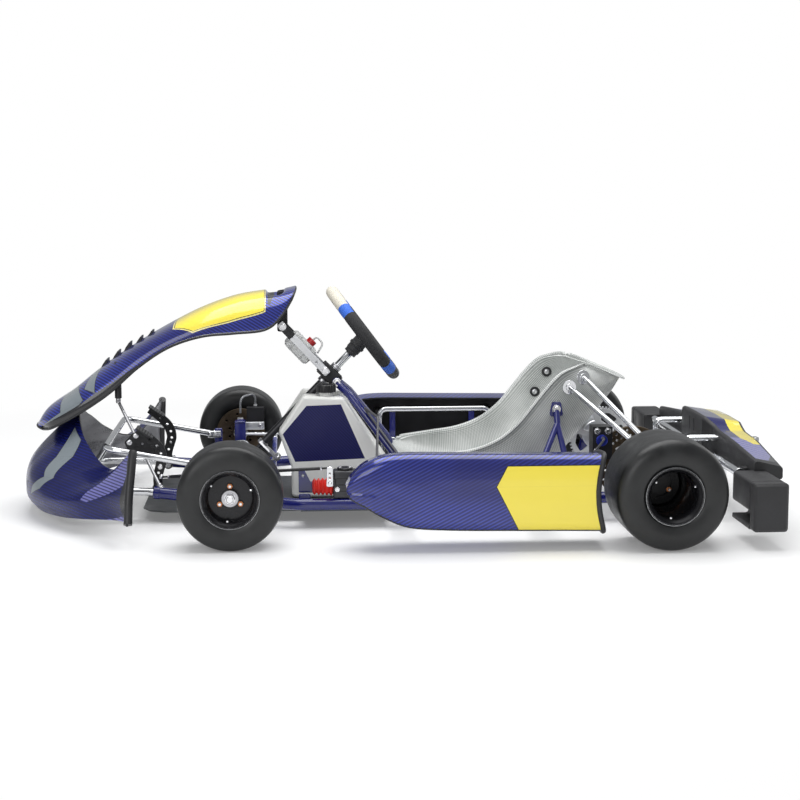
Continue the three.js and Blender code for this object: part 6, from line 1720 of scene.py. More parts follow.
@dataclass
class FrontBody:
    """Nose, front panel and the bars that hold them."""

    hoop_y: float = 275
    fork_z: float = 151
    nose_wall: float = 4
    panel_wall: float = 4
    nose_map: tuple[float, float] = (560, 260)
    panel_map: tuple[float, float] = (720, 140)
    fins: tuple[tuple[float, float], ...] = (
        (-343.5, 377.8), (-312.3, 400.5), (-281.6, 422.8), (-251.5, 438.3), (-221.9, 453.8),
    )

    def build(self) -> None:
        """Makes the pieces ahead of the steering wheel."""
        self.lower_bar()
        self.upper_bar()
        self.nose()
        self.panel()
        self.mount_bars()
        self.strut()

    def lower_bar(self) -> None:
        """Makes the low hoop that plugs into the rails, with two posts."""
        half = [(-165.4, 240.8, 74.4), (-219.7, 232.9, 79.4), (-400, 235, 86)]
        corners = [(x, -y, z) for x, y, z in half] + half[::-1]
        posts = [rod((-400, side * 150, 86), (-326, side * 150, 200), 8, 22) for _, side in SIDES]
        maker.piece(
            "lower_hoop", {"chrome": [tube(bent_line(corners, 55, 12), 10, 28), *posts]}, Body.CHASSIS,
            ["front_bumper_lower_bar"],
        )

    def upper_bar(self) -> None:
        """Makes the high hoop with a fork at each end."""
        half = [(-70, self.hoop_y, self.fork_z), (-326, self.hoop_y, 200)]
        corners = [(x, -y, z) for x, y, z in half] + half[::-1]
        line = bent_line(corners, 45, 12)
        line[0] += unit(line[1] - line[0]) * 9
        line[-1] += unit(line[-2] - line[-1]) * 9
        forks, pins = [], []
        for _, side in SIDES:
            for cheek in (-1, 1):
                y = side * self.hoop_y + cheek * 8.8
                forks.append(section_box((-76, -52), (y - 2.5, y + 2.5), (141, 161), 2.4))
            forks.append(section_box((-90, -71), (side * self.hoop_y - 11.3, side * self.hoop_y + 11.3), (141, 161), 4))
            pins.append(bolt((-59, side * (self.hoop_y + 11.3), self.fork_z), (0, side, 0), 3.8, 4))
            pins.append(nut((-59, side * (self.hoop_y - 11.3), self.fork_z), (0, -side, 0), 10, 5))
        maker.piece(
            "upper_hoop", {"chrome": [tube(line, 8.5, 26), *forks], "bright_bolt": pins}, Body.CHASSIS,
            ["front_bumper_upper_bar"],
        )

    def nose_surface(self, across: Array, rise: Array) -> Array:
        """The nose's outer surface: four tables of depth and height across it, smoothed from low to high."""
        out = np.abs(across)
        depth = [smooth(t, out) for t in (
            [0.955, 0.9, 0.79, 0.62, 0.43, 0.1, 0.03], [1, 0.965, 0.88, 0.72, 0.5, 0.2, 0.02],
            [0.94, 0.9, 0.8, 0.6, 0.36, 0.14, 0.005], [0.56, 0.52, 0.42, 0.27, 0.13, 0.03, 0],
        )]
        height = [smooth(t, out) for t in (
            [0, 0, 0, 0.02, 0.07, 0.12, 0.14], [0.16, 0.16, 0.17, 0.2, 0.26, 0.34, 0.4],
            [0.5, 0.48, 0.45, 0.4, 0.42, 0.56, 0.66], [1, 0.87, 0.68, 0.53, 0.56, 0.78, 0.82],
        )]
        narrow = smooth([0, 1, 1, 0.97, 0.92, 0.9, 0.88], np.maximum(out, 0.17))
        return np.stack([
            -563.9 + 325.9 * (1 - smooth_rows(depth, rise)), across * 560 * (1 - rise + narrow * rise),
            22 + 250 * smooth_rows(height, rise),
        ], -1)

    def nose(self) -> None:
        """Makes the nose's skin with its rubber edge and lugs."""
        across, rise = np.meshgrid(np.linspace(-1, 1, 181), np.linspace(0, 1, 49), indexing="ij")
        points = self.nose_surface(across, rise)
        places = np.stack([np.abs(across) * self.nose_map[0], rise * self.nose_map[1]], -1)
        shell = skin(points, -self.nose_wall, (0, 1, 2), places)
        rims = []
        for row in (points[0], points[-1]):
            rims.append(tube(row[2:-2] + [1.5, 0, 0], 4.2, 10))
        for edge in (points[:3:2].mean(axis=0), points[-3::2].mean(axis=0)):
            rims.append(tube(edge[1:-1] + [4, 0, 0], 10.5, 16))
        lugs = [section_box((-546, -411), (side * 126 - 8, side * 126 + 8), (76, 96), 2) for _, side in SIDES]
        clamps = [
            lathe([(10.2, -9), (15, -9), (15, 9), (10.2, 9)], (-400, side * 126, 86), ACROSS, 24, True)
            for _, side in SIDES
        ]
        finish = Bodywork(
            "nose_sheet", (0.004, 0.0055, 0.055), 0.3, coat=0.12, vary=0.15, grain=1500, depth=0.00001, gloss=0.25,
            stripe_color=(0.02, 0.035, 0.34), stripe_show=0.4, stripe_shine=0.5,
            blocks=(
                Block((
                    ((398, 81), (412, 74), (538, 131), (538, 252), (482, 252), (472, 235), (437, 204), (413, 155)),
                    ((386, -13), (504, 31), (560, 42), (560, -13)),
                ), LAVENDER, 0, 0, -0.75),
                Block((
                    ((501, -13), (504, 49), (533, 161), (620, 161), (620, -13)),
                    ((533, 161), (493, 252), (493, 286), (620, 286), (620, 161)),
                ), INK),
                Block((
                    ((92, 246), (150, 250), (200, 224), (170, 206)), ((200, 224), (252, 168), (222, 160), (170, 206)),
                    ((252, 168), (232, 122), (180, 94), (186, 120), (222, 160)),
                ), SILVER, 1.2, 0),
            ),
        )
        shop.special(finish)
        maker.piece(
            "nose_skin",
            {"nose_sheet+inner_grey+black_plastic": [shell], "black_plastic": [*rims, *clamps], "inner_grey": lugs},
            Body.CHASSIS, ["nose_fairing"],
        )

    def panel_surface(self, along: Array, across: Array) -> Array:
        """The panel's outer surface: a ridge line and an edge line along it, blended by a power of the way across."""
        out = np.abs(across)
        fall, wide = out**2.4, np.sin(out * np.pi / 2) ** 0.9
        ridge_x = smooth([0, 0.045, 0.141, 0.255, 0.374, 0.504, 0.633, 0.763, 0.879, 0.948, 1], along)
        edge_x = smooth([0.03, 0.079, 0.183, 0.297, 0.403, 0.518, 0.641, 0.763, 0.879, 0.939, 0.983], along)
        ridge_z = smooth([0.022, 0.141, 0.266, 0.434, 0.585, 0.726, 0.848, 0.935, 0.973, 0.981, 1], along)
        edge_z = smooth([0, 0.033, 0.141, 0.285, 0.461, 0.602, 0.678, 0.699, 0.721, 0.802, 0.927], along)
        edge_y = smooth([0.443, 0.8, 0.943, 0.979, 0.993, 1, 1, 0.986, 0.957, 0.871, 0.686], along)
        x = -529 + 693 * (ridge_x * (1 - fall) + edge_x * fall)
        z = 224 + 369 * (ridge_z * (1 - fall) + edge_z * fall)
        notch = np.clip(np.minimum((x - 84) / 9, (140 - x) / 26), 0, 1)
        notch = notch * notch * (3 - 2 * notch) * np.exp(-((out / 0.34) ** 4))
        return np.stack([x, 140 * edge_y * np.sign(across) * wide, z - 22 * notch], -1)

    def panel(self) -> None:
        """Makes the ridged panel with its hooks, the strut's boss and the row of vents."""
        along, across = np.meshgrid(np.linspace(0, 1, 121), np.linspace(-1, 1, 61), indexing="ij")
        points = self.panel_surface(along, across)
        places = np.stack([along * self.panel_map[0], np.abs(across) * self.panel_map[1]], -1)
        shell = skin(points, self.panel_wall, (0, 1, 2), places)
        edge = np.vstack([points[:, 0], points[-1, 1:-1], points[::-1, -1], points[0, -2:0:-1]])
        trim = tube(edge[::2] - [0, 0, 3.6], 3.4, 8, True)
        hooks = []
        for _, side in SIDES:
            outline = rounded_outline([(114, 473), (142, 473), (142, 584), (114, 580)], 8)
            hooks.append(flat_plate(outline, [circle(128, 487, 7.3)], 8, (0, side * 29, 0), UPRIGHT_PLATE, 1))
        boss = lathe([(4, 306), (8, 306), (9, 307), (9, 402), (4, 402)], (-306, -96, 0), UP, 24, True)
        fin = np.array([(-24, -20), (-9, 12), (0, 25), (4.6, 25.6), (3.3, 11), (1, -20)])
        vents = [
            flat_plate(
                rounded_outline([(x + a, z - 1.5 + b) for a, b in fin], 1.6), [], 64, (0, 0, 0), UPRIGHT_PLATE, 1,
            )
            for x, z in self.fins
        ]
        finish = Bodywork(
            "panel_sheet", NAVY, 0.2, coat=0.7, vary=0.15, grain=1500, depth=0.00001, stripe_run=(0.52, 0.2, 0.83),
            blocks=(
                Block(
                    (((389, -70), (379.5, 81), (417, 123), (491, 116.5), (576, 104), (576, -70)),), YELLOW, 1.7, 3,
                    rim=(0.9, 0.8, 0.3),
                ),
                Block((
                    ((160, -40), (134, -20), (106, 109), (161, 115)),
                    ((106, 109), (161, 115), (130, 130), (66, 140), (4, 123)),
                ), SILVER, 1.2, 0),
                Block((((208, -10), (173, 83), (188, 119), (226, -10)),), SILVER, 1.2, 0),
                # This black band along the panel's lower edge, over the first 300 mm of its map, is painted shade where
                # the edge turns under.
                Block((((-20, 119), (191, 121), (225, 124), (263, 132), (300, 139), (300, 160), (-20, 160)),), INK),
                # This black band across the panel just behind the yellow block is painted shadow in the notch of the
                # ridge.
                Block((((588, -90), (588, 90), (598, 92), (612, 60), (612, -60), (598, -92)),), INK),
            ),
        )
        shop.special(finish)
        maker.piece(
            "shield_panel",
            {
                "panel_sheet+inner_black+black_plastic": [shell], "black_plastic": [trim, *vents, boss],
                "inner_black": hooks,
            },
            Body.CHASSIS, ["front_panel"],
        )

    def mount_bars(self) -> None:
        """Makes the pair of flat bars from the bearing up to the panel, and the bottle between them."""
        top, foot = np.array([127.96, 0, 487.0]), on_column(BEARING_DOWN, 0, 18)
        run = unit(foot - top)
        rise = np.cross(ACROSS, run)
        rise = rise if rise[2] > 0 else -rise
        length = float(np.linalg.norm(foot - top))
        outline = rounded_outline([(-12, -10), (length + 12, -10), (length + 12, 10), (-12, 10)], 10)
        holes = [circle(0, 0, 3.6), circle(length, 0, 3.6), *(circle(s, 0, 3) for s in (length * 0.22, length * 0.8))]
        bars, sleeves, bolts = [], [], []
        for _, side in SIDES:
            bars.append(flat_plate(outline, holes, 5, top + [0, side * 38, 0], (run, rise, np.cross(run, rise)), 0.7))
            sleeves.append(rounded_box(top + run * 16 + [0, side * 38, 0], (46, 6.4, 21.4), 2, (run, ACROSS, rise)))
            bolts.append(bolt(top + [0, side * 41, 0], (0, side, 0), 5))
            bolts.append(bolt(foot + [0, side * 40.5, 0], (0, side, 0), 5))
            bolts.append(rod(foot + [0, side * 21, 0], foot + [0, side * 41, 0], 6.5, 20))
        bolts.append(rod(top - [0, 41, 0], top + [0, 41, 0], 6.9, 24))
        maker.piece(
            "panel_bars", {"cast_aluminium": bars, "black_plastic": sleeves, "bright_bolt": bolts},
            Body.CHASSIS, ["panel_mount_bars"],
        )
        centre = top + (foot - top) * 0.46 - rise * 5.4
        axes = (run, ACROSS, rise)
        body = rounded_box(centre, (84, 69, 50), 11, axes, 5)
        ribs = [rounded_box(centre + run * s, (2.4, 69.8, 50.8), 1.1, axes) for s in (-18, 18)]
        neck_top = centre + run * 10 + rise * 25
        cap = lathe([(0, 0), (12, 0), (13, 1), (13, 12), (12, 13), (0, 13)], neck_top, rise, 28)
        loop = bent_line(
            [
                neck_top + rise * 10, neck_top + rise * 26, neck_top + rise * 26 + run * 26,
                neck_top + run * 34 - rise * 4,
            ],
            14,
        )
        clip = [section_box((neck_top[0] - 1, neck_top[0] + 1), (-36, -34.6), (neck_top[2] - 30, neck_top[2] - 6), 0.5)]
        maker.piece(
            "catch_bottle",
            {"milky_plastic": [body, *ribs, tube(loop, 2.6, 12)], "red_plastic": [cap], "dull_steel": clip},
            Body.CHASSIS, ["overflow_bottle"],
        )

    def strut(self) -> None:
        """Makes the thin stay from the panel down to the rail."""
        foot = np.array([-192, -rail_y(-192), 97.0])
        top = np.array([-306, -96, 297.0])
        forms = [rod(top, foot, 4, 20), rod(top - [0, 0, 4], top + [0, 0, 8.6], 6.2, 22)]
        joints = [ball(foot, 6.3), nut(top + [0, 0, 4], (0, 0, -1), 13, 5)]
        maker.piece(
            "panel_stay", {"dull_steel": forms, "bright_bolt": joints}, Body.CHASSIS, ["panel_strut"],
        )


@dataclass
class SidePods:
    """Side pods on their bars."""

    bar_front: float = 422.6
    bar_rear: float = 766
    bar_y: float = 575
    bar_z: float = 82
    inner_y: float = 562
    foot_y: float = 522
    outer_y: float = 660
    low_z: float = 44
    height: float = 191
    front_x: float = 275
    length: float = 615
    wall: float = 4
    crease_z: float = 146

    def build(self) -> None:
        """Makes both pods and both bars."""
        for name, side in SIDES:
            self.bar(name, side)
            self.pod(name, side)

    def bar(self, name: str, side: int) -> None:
        """Makes the bar that runs out of the frame, up into the pod and back."""
        def half(x: float) -> list[tuple[float, float, float]]:
            """One end of the bar, from the rail outwards."""
            return [
                (x, rail_y(x) + 10, RAIL_Z), (x, rail_y(x) + 75, RAIL_Z), (x, 500, self.bar_z),
                (x, self.bar_y, self.bar_z), (x, self.bar_y, 177),
            ]

        line = bent_line(half(self.bar_front) + half(self.bar_rear)[::-1], 26, 8)
        chrome = [
            tube(line, 10, 24),
            rod((self.bar_front, self.bar_y, self.bar_z), (self.bar_rear, self.bar_y, self.bar_z), 8, 24),
        ]
        straps, bolts = [], []
        for x in (self.bar_front + 41, self.bar_rear - 57):
            straps.append(section_box((x - 9, x + 9), (573, 577), (86, 174), 1.2))
            chrome.append(section_box((x - 9, x + 9), (565, 585), (73.6, 90.4), 3))
            bolts.append(bolt((x, 577, 104), ACROSS, 4.2, 4))
        maker.piece(
            f"{name}_pod_bar",
            {
                "chrome": mirror_all(chrome, side), "blue_paint": mirror_all(straps, side),
                "bright_bolt": mirror_all(bolts, side),
            },
            Body.CHASSIS, [f"{name}_side_bar"],
        )

    def section(self, share: Array, drop: float) -> Array:
        """The pod's rings: top, flat side, bottom and two quarter rounds between them, at shares of its length."""
        x = self.front_x + self.length * smooth([0, 0.02, 0.07, 0.14, 0.24, 0.4, 0.62, 0.84, 1], share)
        top = self.low_z - drop + self.height * smooth([0.58, 0.72, 0.88, 0.97, 1, 0.995, 0.985, 0.975, 0.968], share)
        low = self.low_z - drop + self.height * smooth([0.53, 0.43, 0.33, 0.2, 0.075, 0.035, 0.02, 0.01, 0], share)
        outer = self.inner_y + (self.outer_y - self.inner_y) * smooth(
            [0.72, 0.82, 0.9, 0.95, 0.975, 0.985, 0.99, 0.995, 1], share,
        )
        rounding = np.minimum((top - low) * 0.24, 26)
        bottom_in = np.minimum(self.foot_y, outer - 36)
        quarter = np.linspace(0, np.pi / 2, 9)
        sin, cos = np.sin(quarter), np.cos(quarter)
        x, top, low, outer, rounding, bottom_in = (v[:, None] for v in (x, top, low, outer, rounding, bottom_in))
        t = np.linspace(0, 1, 10)[None]
        crease = self.crease_z - drop
        straight_y = np.broadcast_to(outer, (len(share), 10))
        y = np.hstack([
            self.inner_y + (outer - rounding - self.inner_y) * t, (outer - rounding + rounding * sin)[:, 1:],
            straight_y[:, 1:-1],
            outer - rounding + rounding * cos, bottom_in + (outer - rounding - bottom_in) * (1 - t[:, 1:]),
        ])
        crown = np.minimum(6.0, rounding * 0.32) * (1 - t) ** 1.6
        z = np.hstack([
            top - crown, (top - rounding + rounding * cos)[:, 1:],
            (top - rounding + (low - top + 2 * rounding) * t)[:, 1:-1],
            low + rounding - rounding * sin, np.broadcast_to(low, (len(share), 9)),
        ])
        lean = np.clip((z - crease) / 70, 0, 1)
        y = np.where(y > 620, y - 6 * lean - 2.2 * np.exp(-(((z - crease) / 3.2) ** 2)), y)
        middle = (top + low) / 2
        bow = 16 * (1 - ((z - middle) / ((top - low) / 2)) ** 2) * np.clip((share[:, None] - 0.8) / 0.2, 0, 1) ** 3
        return np.stack([np.broadcast_to(x, y.shape) - bow, y, z], -1)

    def patch(self, low: float, *corners: tuple[float, float]) -> tuple[tuple[float, float], ...]:
        """Corners on the pod's side, from the front axle line and the pod's foot, in the frame's own lengths."""
        return tuple((x - DATUM_X, low + z) for x, z in corners)

    def pod(self, name: str, side: int) -> None:
        """Makes one pod: its skin, its back wall, the black edge and the pads against the bar."""
        drop = 14.0 if side > 0 else 0.0
        points = self.section(np.linspace(0, 1, 73), drop)
        shell = skin(points, self.wall, (0, 1, 2))
        last = points[-1]
        inner = self.inner_y + (self.foot_y - self.inner_y) * (last[:, 2].max() - last[:, 2]) / np.ptp(last[:, 2])
        reach = np.linspace(0, 1, 9)[:, None]
        wall_y = inner[None] + (last[:, 1] - inner)[None] * reach
        wall = np.stack(
            [np.broadcast_to(last[:, 0], wall_y.shape), wall_y, np.broadcast_to(last[:, 2], wall_y.shape)], -1,
        )
        back = skin(wall, 3.6, (1, 1, 1))
        if back.points[:, 0].max() > points[..., 0].max() + 0.5:
            back = skin(wall, -3.6, (1, 1, 1))
        trims = [tube(last[1:-1] - [4.4, 1.4, 0], 6.6, 10), tube(points[4:-2, 31] - [0, 1.2, -1.2], 3.4, 8)]
        pads = [
            section_box((x - 11, x + 11), (586, reach), (166 - drop, 188 - drop), 2.5)
            for x, reach in ((self.bar_front, 646), (self.bar_rear, 654))
        ]
        low = self.low_z - drop
        finish = Bodywork(
            f"{name}_pod_sheet", NAVY, 0.2, coat=0.7, vary=0.15, grain=1500, depth=0.00001, plane=Plane.SIDE,
            stripe_run=(-0.45, 0.15, 0.88),
            blocks=(
                Block((
                    self.patch(low, (653.6, 162), (627.9, 114), (905, 114), (905, 162)),
                    self.patch(low, (627.9, 114.2), (684, 4), (905, 4), (905, 114.2)),
                ), YELLOW, 2.2),
                Block((
                    self.patch(low, (880, -20), (866, 95), (910, 95), (910, -20)),
                    self.patch(low, (866, 95), (884, 200), (910, 200), (910, 95)),
                ), INK),
                Block((self.patch(low, (470, 1), (470, -9), (910, -9), (910, 7)),), INK),
            ),
        )
        shop.special(finish)
        maker.piece(
            f"{name}_pod_skin",
            {
                f"{name}_pod_sheet+inner_black+black_plastic": mirror_all([shell, back], side),
                "black_plastic": mirror_all([*trims, *pads], side),
            },
            Body.CHASSIS, [f"{name}_side_pod"],
        )


@dataclass
class Seat:
    """Glass-cloth seat shell with a rolled lip, its washers and struts."""

    front_x: float = 430
    length: float = 615
    low_z: float = 42
    height: float = 343
    half_width: float = 201
    wall: float = 5
    fullness: float = 2.6
    lip_radius: float = 7.5
    lip_wall: float = 2.4

    def surface(self, along: Array, round_share: Array) -> Array:
        """The seat's outer surface: ribs of a rounded U that run from the front edge to the top of the back."""
        across = 2 * round_share - 1
        angle = np.abs(across) * np.pi / 2
        rise = 1 - np.clip(np.cos(angle), 0, 1) ** (2 / self.fullness)
        middle_x = smooth([0, 0.079, 0.191, 0.319, 0.447, 0.575, 0.688, 0.784, 0.88, 0.952, 1], along)
        middle_z = smooth([0.259, 0.184, 0.076, 0.012, 0, 0.058, 0.198, 0.388, 0.592, 0.752, 0.878], along)
        rim_x = smooth([0.046, 0.095, 0.191, 0.314, 0.42, 0.505, 0.567, 0.63, 0.694, 0.761, 0.808], along)
        rim_z = smooth([0.315, 0.324, 0.344, 0.376, 0.449, 0.566, 0.697, 0.837, 0.948, 0.991, 1], along)
        rim_y = smooth([0.82, 0.92, 0.975, 1, 1, 0.985, 0.975, 0.96, 0.925, 0.856, 0.746], along)
        return np.stack([
            self.front_x + self.length * (middle_x + (rim_x - middle_x) * rise),
            self.half_width * rim_y * np.sign(across) * np.sin(angle) ** (2 / self.fullness),
            self.low_z + self.height * (middle_z + (rim_z - middle_z) * rise),
        ], -1)

    def build(self) -> None:
        """Makes the shell and the struts."""
        self.shell()
        self.struts()

    def lip(self, edge: Array, inward: Array) -> Form:
        """Rolls the rim over: a part of a circle that starts along the wall and ends below, carried round the edge."""
        wall_up = edge - inward
        wall_up /= np.linalg.norm(wall_up, axis=1, keepdims=True)
        along = np.roll(edge, -1, axis=0) - np.roll(edge, 1, axis=0)
        along /= np.linalg.norm(along, axis=1, keepdims=True)
        out = np.cross(along, wall_up)
        middle = np.array([edge[:, 0].mean(), 0, edge[:, 2].mean()])
        sign = np.sign(np.sum(out * (edge - middle), axis=1).mean())
        out *= sign
        turn = np.linspace(0, np.radians(165), 12)[None, :, None]
        radius, wall = self.lip_radius, self.lip_wall
        outer = edge[:, None] + radius * (np.sin(turn) * wall_up[:, None] + (1 - np.cos(turn)) * out[:, None])
        inner = edge[:, None] + out[:, None] * wall + (radius - wall) * (
            np.sin(turn) * wall_up[:, None] + (1 - np.cos(turn)) * out[:, None]
        )
        section = np.concatenate([outer, inner[:, ::-1]], axis=1)
        form = grid(section, (True, True))
        length = np.concatenate([[0], np.cumsum(np.linalg.norm(np.diff(edge, axis=0), axis=1))])
        form.places = np.stack(
            np.broadcast_arrays(length[:, None], np.arange(section.shape[1])[None] * 2.0), -1,
        ).reshape(-1, 2)
        return form

    def shell(self) -> None:
        """Makes the shell; its map runs in millimetres along and around it, so the cloth keeps its scale."""
        along, round_share = np.meshgrid(np.linspace(0, 1, 97), np.linspace(0, 1, 81), indexing="ij")
        points = self.surface(along, round_share)
        places = np.stack([along * 800, (round_share - 0.5) * 760], -1)
        body = skin(points, self.wall, (0, 0, 0), places)
        if np.abs(body.points[:, 2].min() - points[..., 2].min()) > 1:
            body = skin(points, -self.wall, (0, 0, 0), places)
        edge = np.vstack([points[:, 0], points[-1, 1:-1], points[::-1, -1], points[0, -2:0:-1]])
        inward = np.vstack([points[:, 2], points[-3, 1:-1], points[::-1, -3], points[2, -2:0:-1]])
        spots = []
        for column, side in ((0.79, -1), (0.88, -1), (0.79, 1)):
            place, normal = self.on_wall(column, side, 0.05)
            spots.append((place - normal * self.wall, normal))
        spots += [(np.array([845.0, side * 180, 277.0]), np.array([0.0, side, 0.0])) for side in (-1, 1)]
        rings, washers, bolts = [], [], []
        for inside, normal in spots:
            rings.append(lathe([(8, 0), (13.4, 0), (14, 0.8), (14, 3.2), (8, 3.6)], inside, -normal, 40, True))
            washers.append(rod(inside, inside - normal * 2.2, 8, 28))
            bolts.append(bolt(inside - normal * 2, -normal, 3.2, 1.6))
        maker.piece(
            "bucket_seat",
            {
                "seat_cloth": [body, self.lip(edge, inward)], "black_plastic": rings, "cast_aluminium": washers,
                "bright_bolt": bolts,
            },
            Body.CHASSIS, ["seat_shell"], math.radians(50),
        )

    def on_wall(self, column: float, side: int, row: float) -> tuple[Array, Array]:
        """A point of the seat's outer side and the direction that points out of the seat there."""
        share = row if side < 0 else 1 - row
        step = 0.01
        place = self.surface(np.array(column), np.array(share))
        along = self.surface(
            np.array(column + step), np.array(share),
        ) - self.surface(np.array(column - step), np.array(share))
        across = self.surface(
            np.array(column), np.array(share + step),
        ) - self.surface(np.array(column), np.array(share - step))
        normal = unit(np.cross(across, along))
        return place, normal if normal[1] * side > 0 else -normal

    def struts(self) -> None:
        """Makes the three chrome struts from the seat down to the axle carriers."""
        table = (
            ("left_front_seat_strut", -1, 0.79, WHEELBASE - AXLE_BOLT_X),
            ("left_rear_seat_strut", -1, 0.88, WHEELBASE + AXLE_BOLT_X),
            ("right_seat_strut", 1, 0.79, WHEELBASE - AXLE_BOLT_X),
        )
        for name, side, column, eye_x in table:
            place, normal = self.on_wall(column, side, 0.05)
            foot = place + normal * 5
            eye = np.array([eye_x, side * 359.3, AXLE_LUG_Z])
            run = unit(eye - foot)
            forms = [
                tube(
                    np.array([foot, foot + run * 14, foot + run * 20, eye - run * 22, eye - run * 16, eye]),
                    [4.5, 4.5, 7, 7, 4.5, 4.5], 22,
                ),
                rod(place + normal * 0.3, place + normal * 2.6, 19, 36),
                rod(place + normal * 2.4, place + normal * 5.4, 10, 28),
                lathe(
                    [(4.6, 0), (8, 0), (9, 1), (9, 7.6), (8, 8.6), (4.6, 8.6)], (eye_x, side * 355, 203),
                    (0, side, 0), 28, True,
                ),
            ]
            bolts = [
                rod((eye_x, side * 352, 203), (eye_x, side * 366, 203), 4.6, 18),
                bolt((eye_x, side * 354.6, 203), (0, -side, 0), 4.2, 4),
            ]
            maker.piece(f"{name}_rod", {"chrome": forms, "bright_bolt": bolts}, Body.CHASSIS, [name])


@dataclass
class FuelSystem:
    """Tank between the driver's legs, with its screwed cap."""

    base: float = 30.3
    front_x: float = 115
    length: float = 300
    height: float = 275
    half_width: float = 90
    cap_place: tuple[float, float] = (243, -58)

    def build(self) -> None:
        """Makes the tank and the cap."""
        shares = (
            (0.22, 1), (0.578, 0.98), (1, 0.3), (0.922, 0.25), (0.922, 0), (0.112, 0), (0.112, 0.3), (0.053, 0.475),
            (0, 0.646),
        )
        corners = [(self.front_x + self.length * x, self.base + self.height * z) for x, z in shares]
        outline = rounded_outline(corners, 13, 5)
        middle = outline.mean(axis=0)
        step = np.roll(outline, -1, axis=0) - outline
        step /= np.linalg.norm(step, axis=1, keepdims=True)
        run = step + np.roll(step, 1, axis=0)
        normal = np.stack([run[:, 1], -run[:, 0]], -1) / np.linalg.norm(run, axis=1, keepdims=True)
        normal *= np.sign(np.sum(normal * (outline - middle)))
        edge = 8 * (1 - np.sin(np.linspace(0, np.pi / 2, 7)))
        way = 10 * (1 - np.cos(np.linspace(0, np.pi / 2, 7)))
        stations = np.concatenate(
            [
                -self.half_width + way, np.linspace(-70, -30, 5), np.linspace(-24, 24, 15), np.linspace(30, 70, 5),
                self.half_width - way[::-1],
            ]
        )
        inset = np.concatenate([edge, np.zeros(25), edge[::-1]])
        groove = np.clip((25 - np.abs(stations)) / 5, 0, 1)
        groove = groove * groove * (3 - 2 * groove)
        x = outline[None, :, 0] - normal[None, :, 0] * inset[:, None]
        z = outline[None, :, 1] - normal[None, :, 1] * inset[:, None]
        plane = 443.4 - 1.0248 * (365.9 - x)
        sunk = np.minimum(z, plane)
        z = z + (sunk - z) * groove[:, None]
        rings = np.stack([x, np.broadcast_to(stations[:, None], x.shape), z], -1)
        body = loft(rings)
        neck = lathe([(10, 300), (17, 300), (18, 301), (18, 312), (10, 312)], (*self.cap_place, 0), UP, 32, True)
        seam = tube(bent_line([(x, 0, z) for x, z in ((150, 33), (392, 33), (392, 98), (413, 113))], 8), 1.6, 8)
        label = Bodywork(
            "tank_shell", (0.93, 0.93, 0.9), 0.42, vary=0.04, grain=900, depth=0.00005, plane=Plane.SIDE,
            stripe_show=0.0,
            blocks=(Block((self.label(),), (0.008, 0.009, 0.075), 0, 0, 0.8),),
            stripe_run=(0.7, 0, 0.7), stripe_pitch=0.006,
        )
        shop.special(label)
        maker.piece(
            "petrol_tank", {"tank_shell": [body], "white_plastic": [neck, seam]}, Body.CHASSIS,
            ["fuel_tank"],
        )
        angle = np.linspace(0, 2 * np.pi, 144, endpoint=False)
        cap_x, cap_y = self.cap_place
        grip = 1.3 * np.clip(0.5 + np.cos(24 * angle), 0, 1)
        heights = np.array([0, 1.5, 16, 19, 21])
        inset = np.array([1, 0, 0, 1.2, 4])
        ribbed = np.array([1, 1, 1, 0.6, 0])
        reach = 26.5 - inset[:, None] - 1.3 * ribbed[:, None] + grip[None] * ribbed[:, None]
        rings = np.stack(
            [
                cap_x + reach * np.cos(angle), cap_y + reach * np.sin(angle),
                np.broadcast_to(312.3 + heights[:, None], reach.shape),
            ],
            -1,
        )
        maker.piece("screw_cap", {"black_plastic": [loft(rings)]}, Body.FUEL_CAP, ["fuel_cap"])

    def label(self) -> tuple[tuple[float, float], ...]:
        """Corners of the dark patch on the tank's side, in the frame's own lengths."""
        return ((-211, 279), (-119, 282), (-55, 135), (-242, 128), (-275, 203))


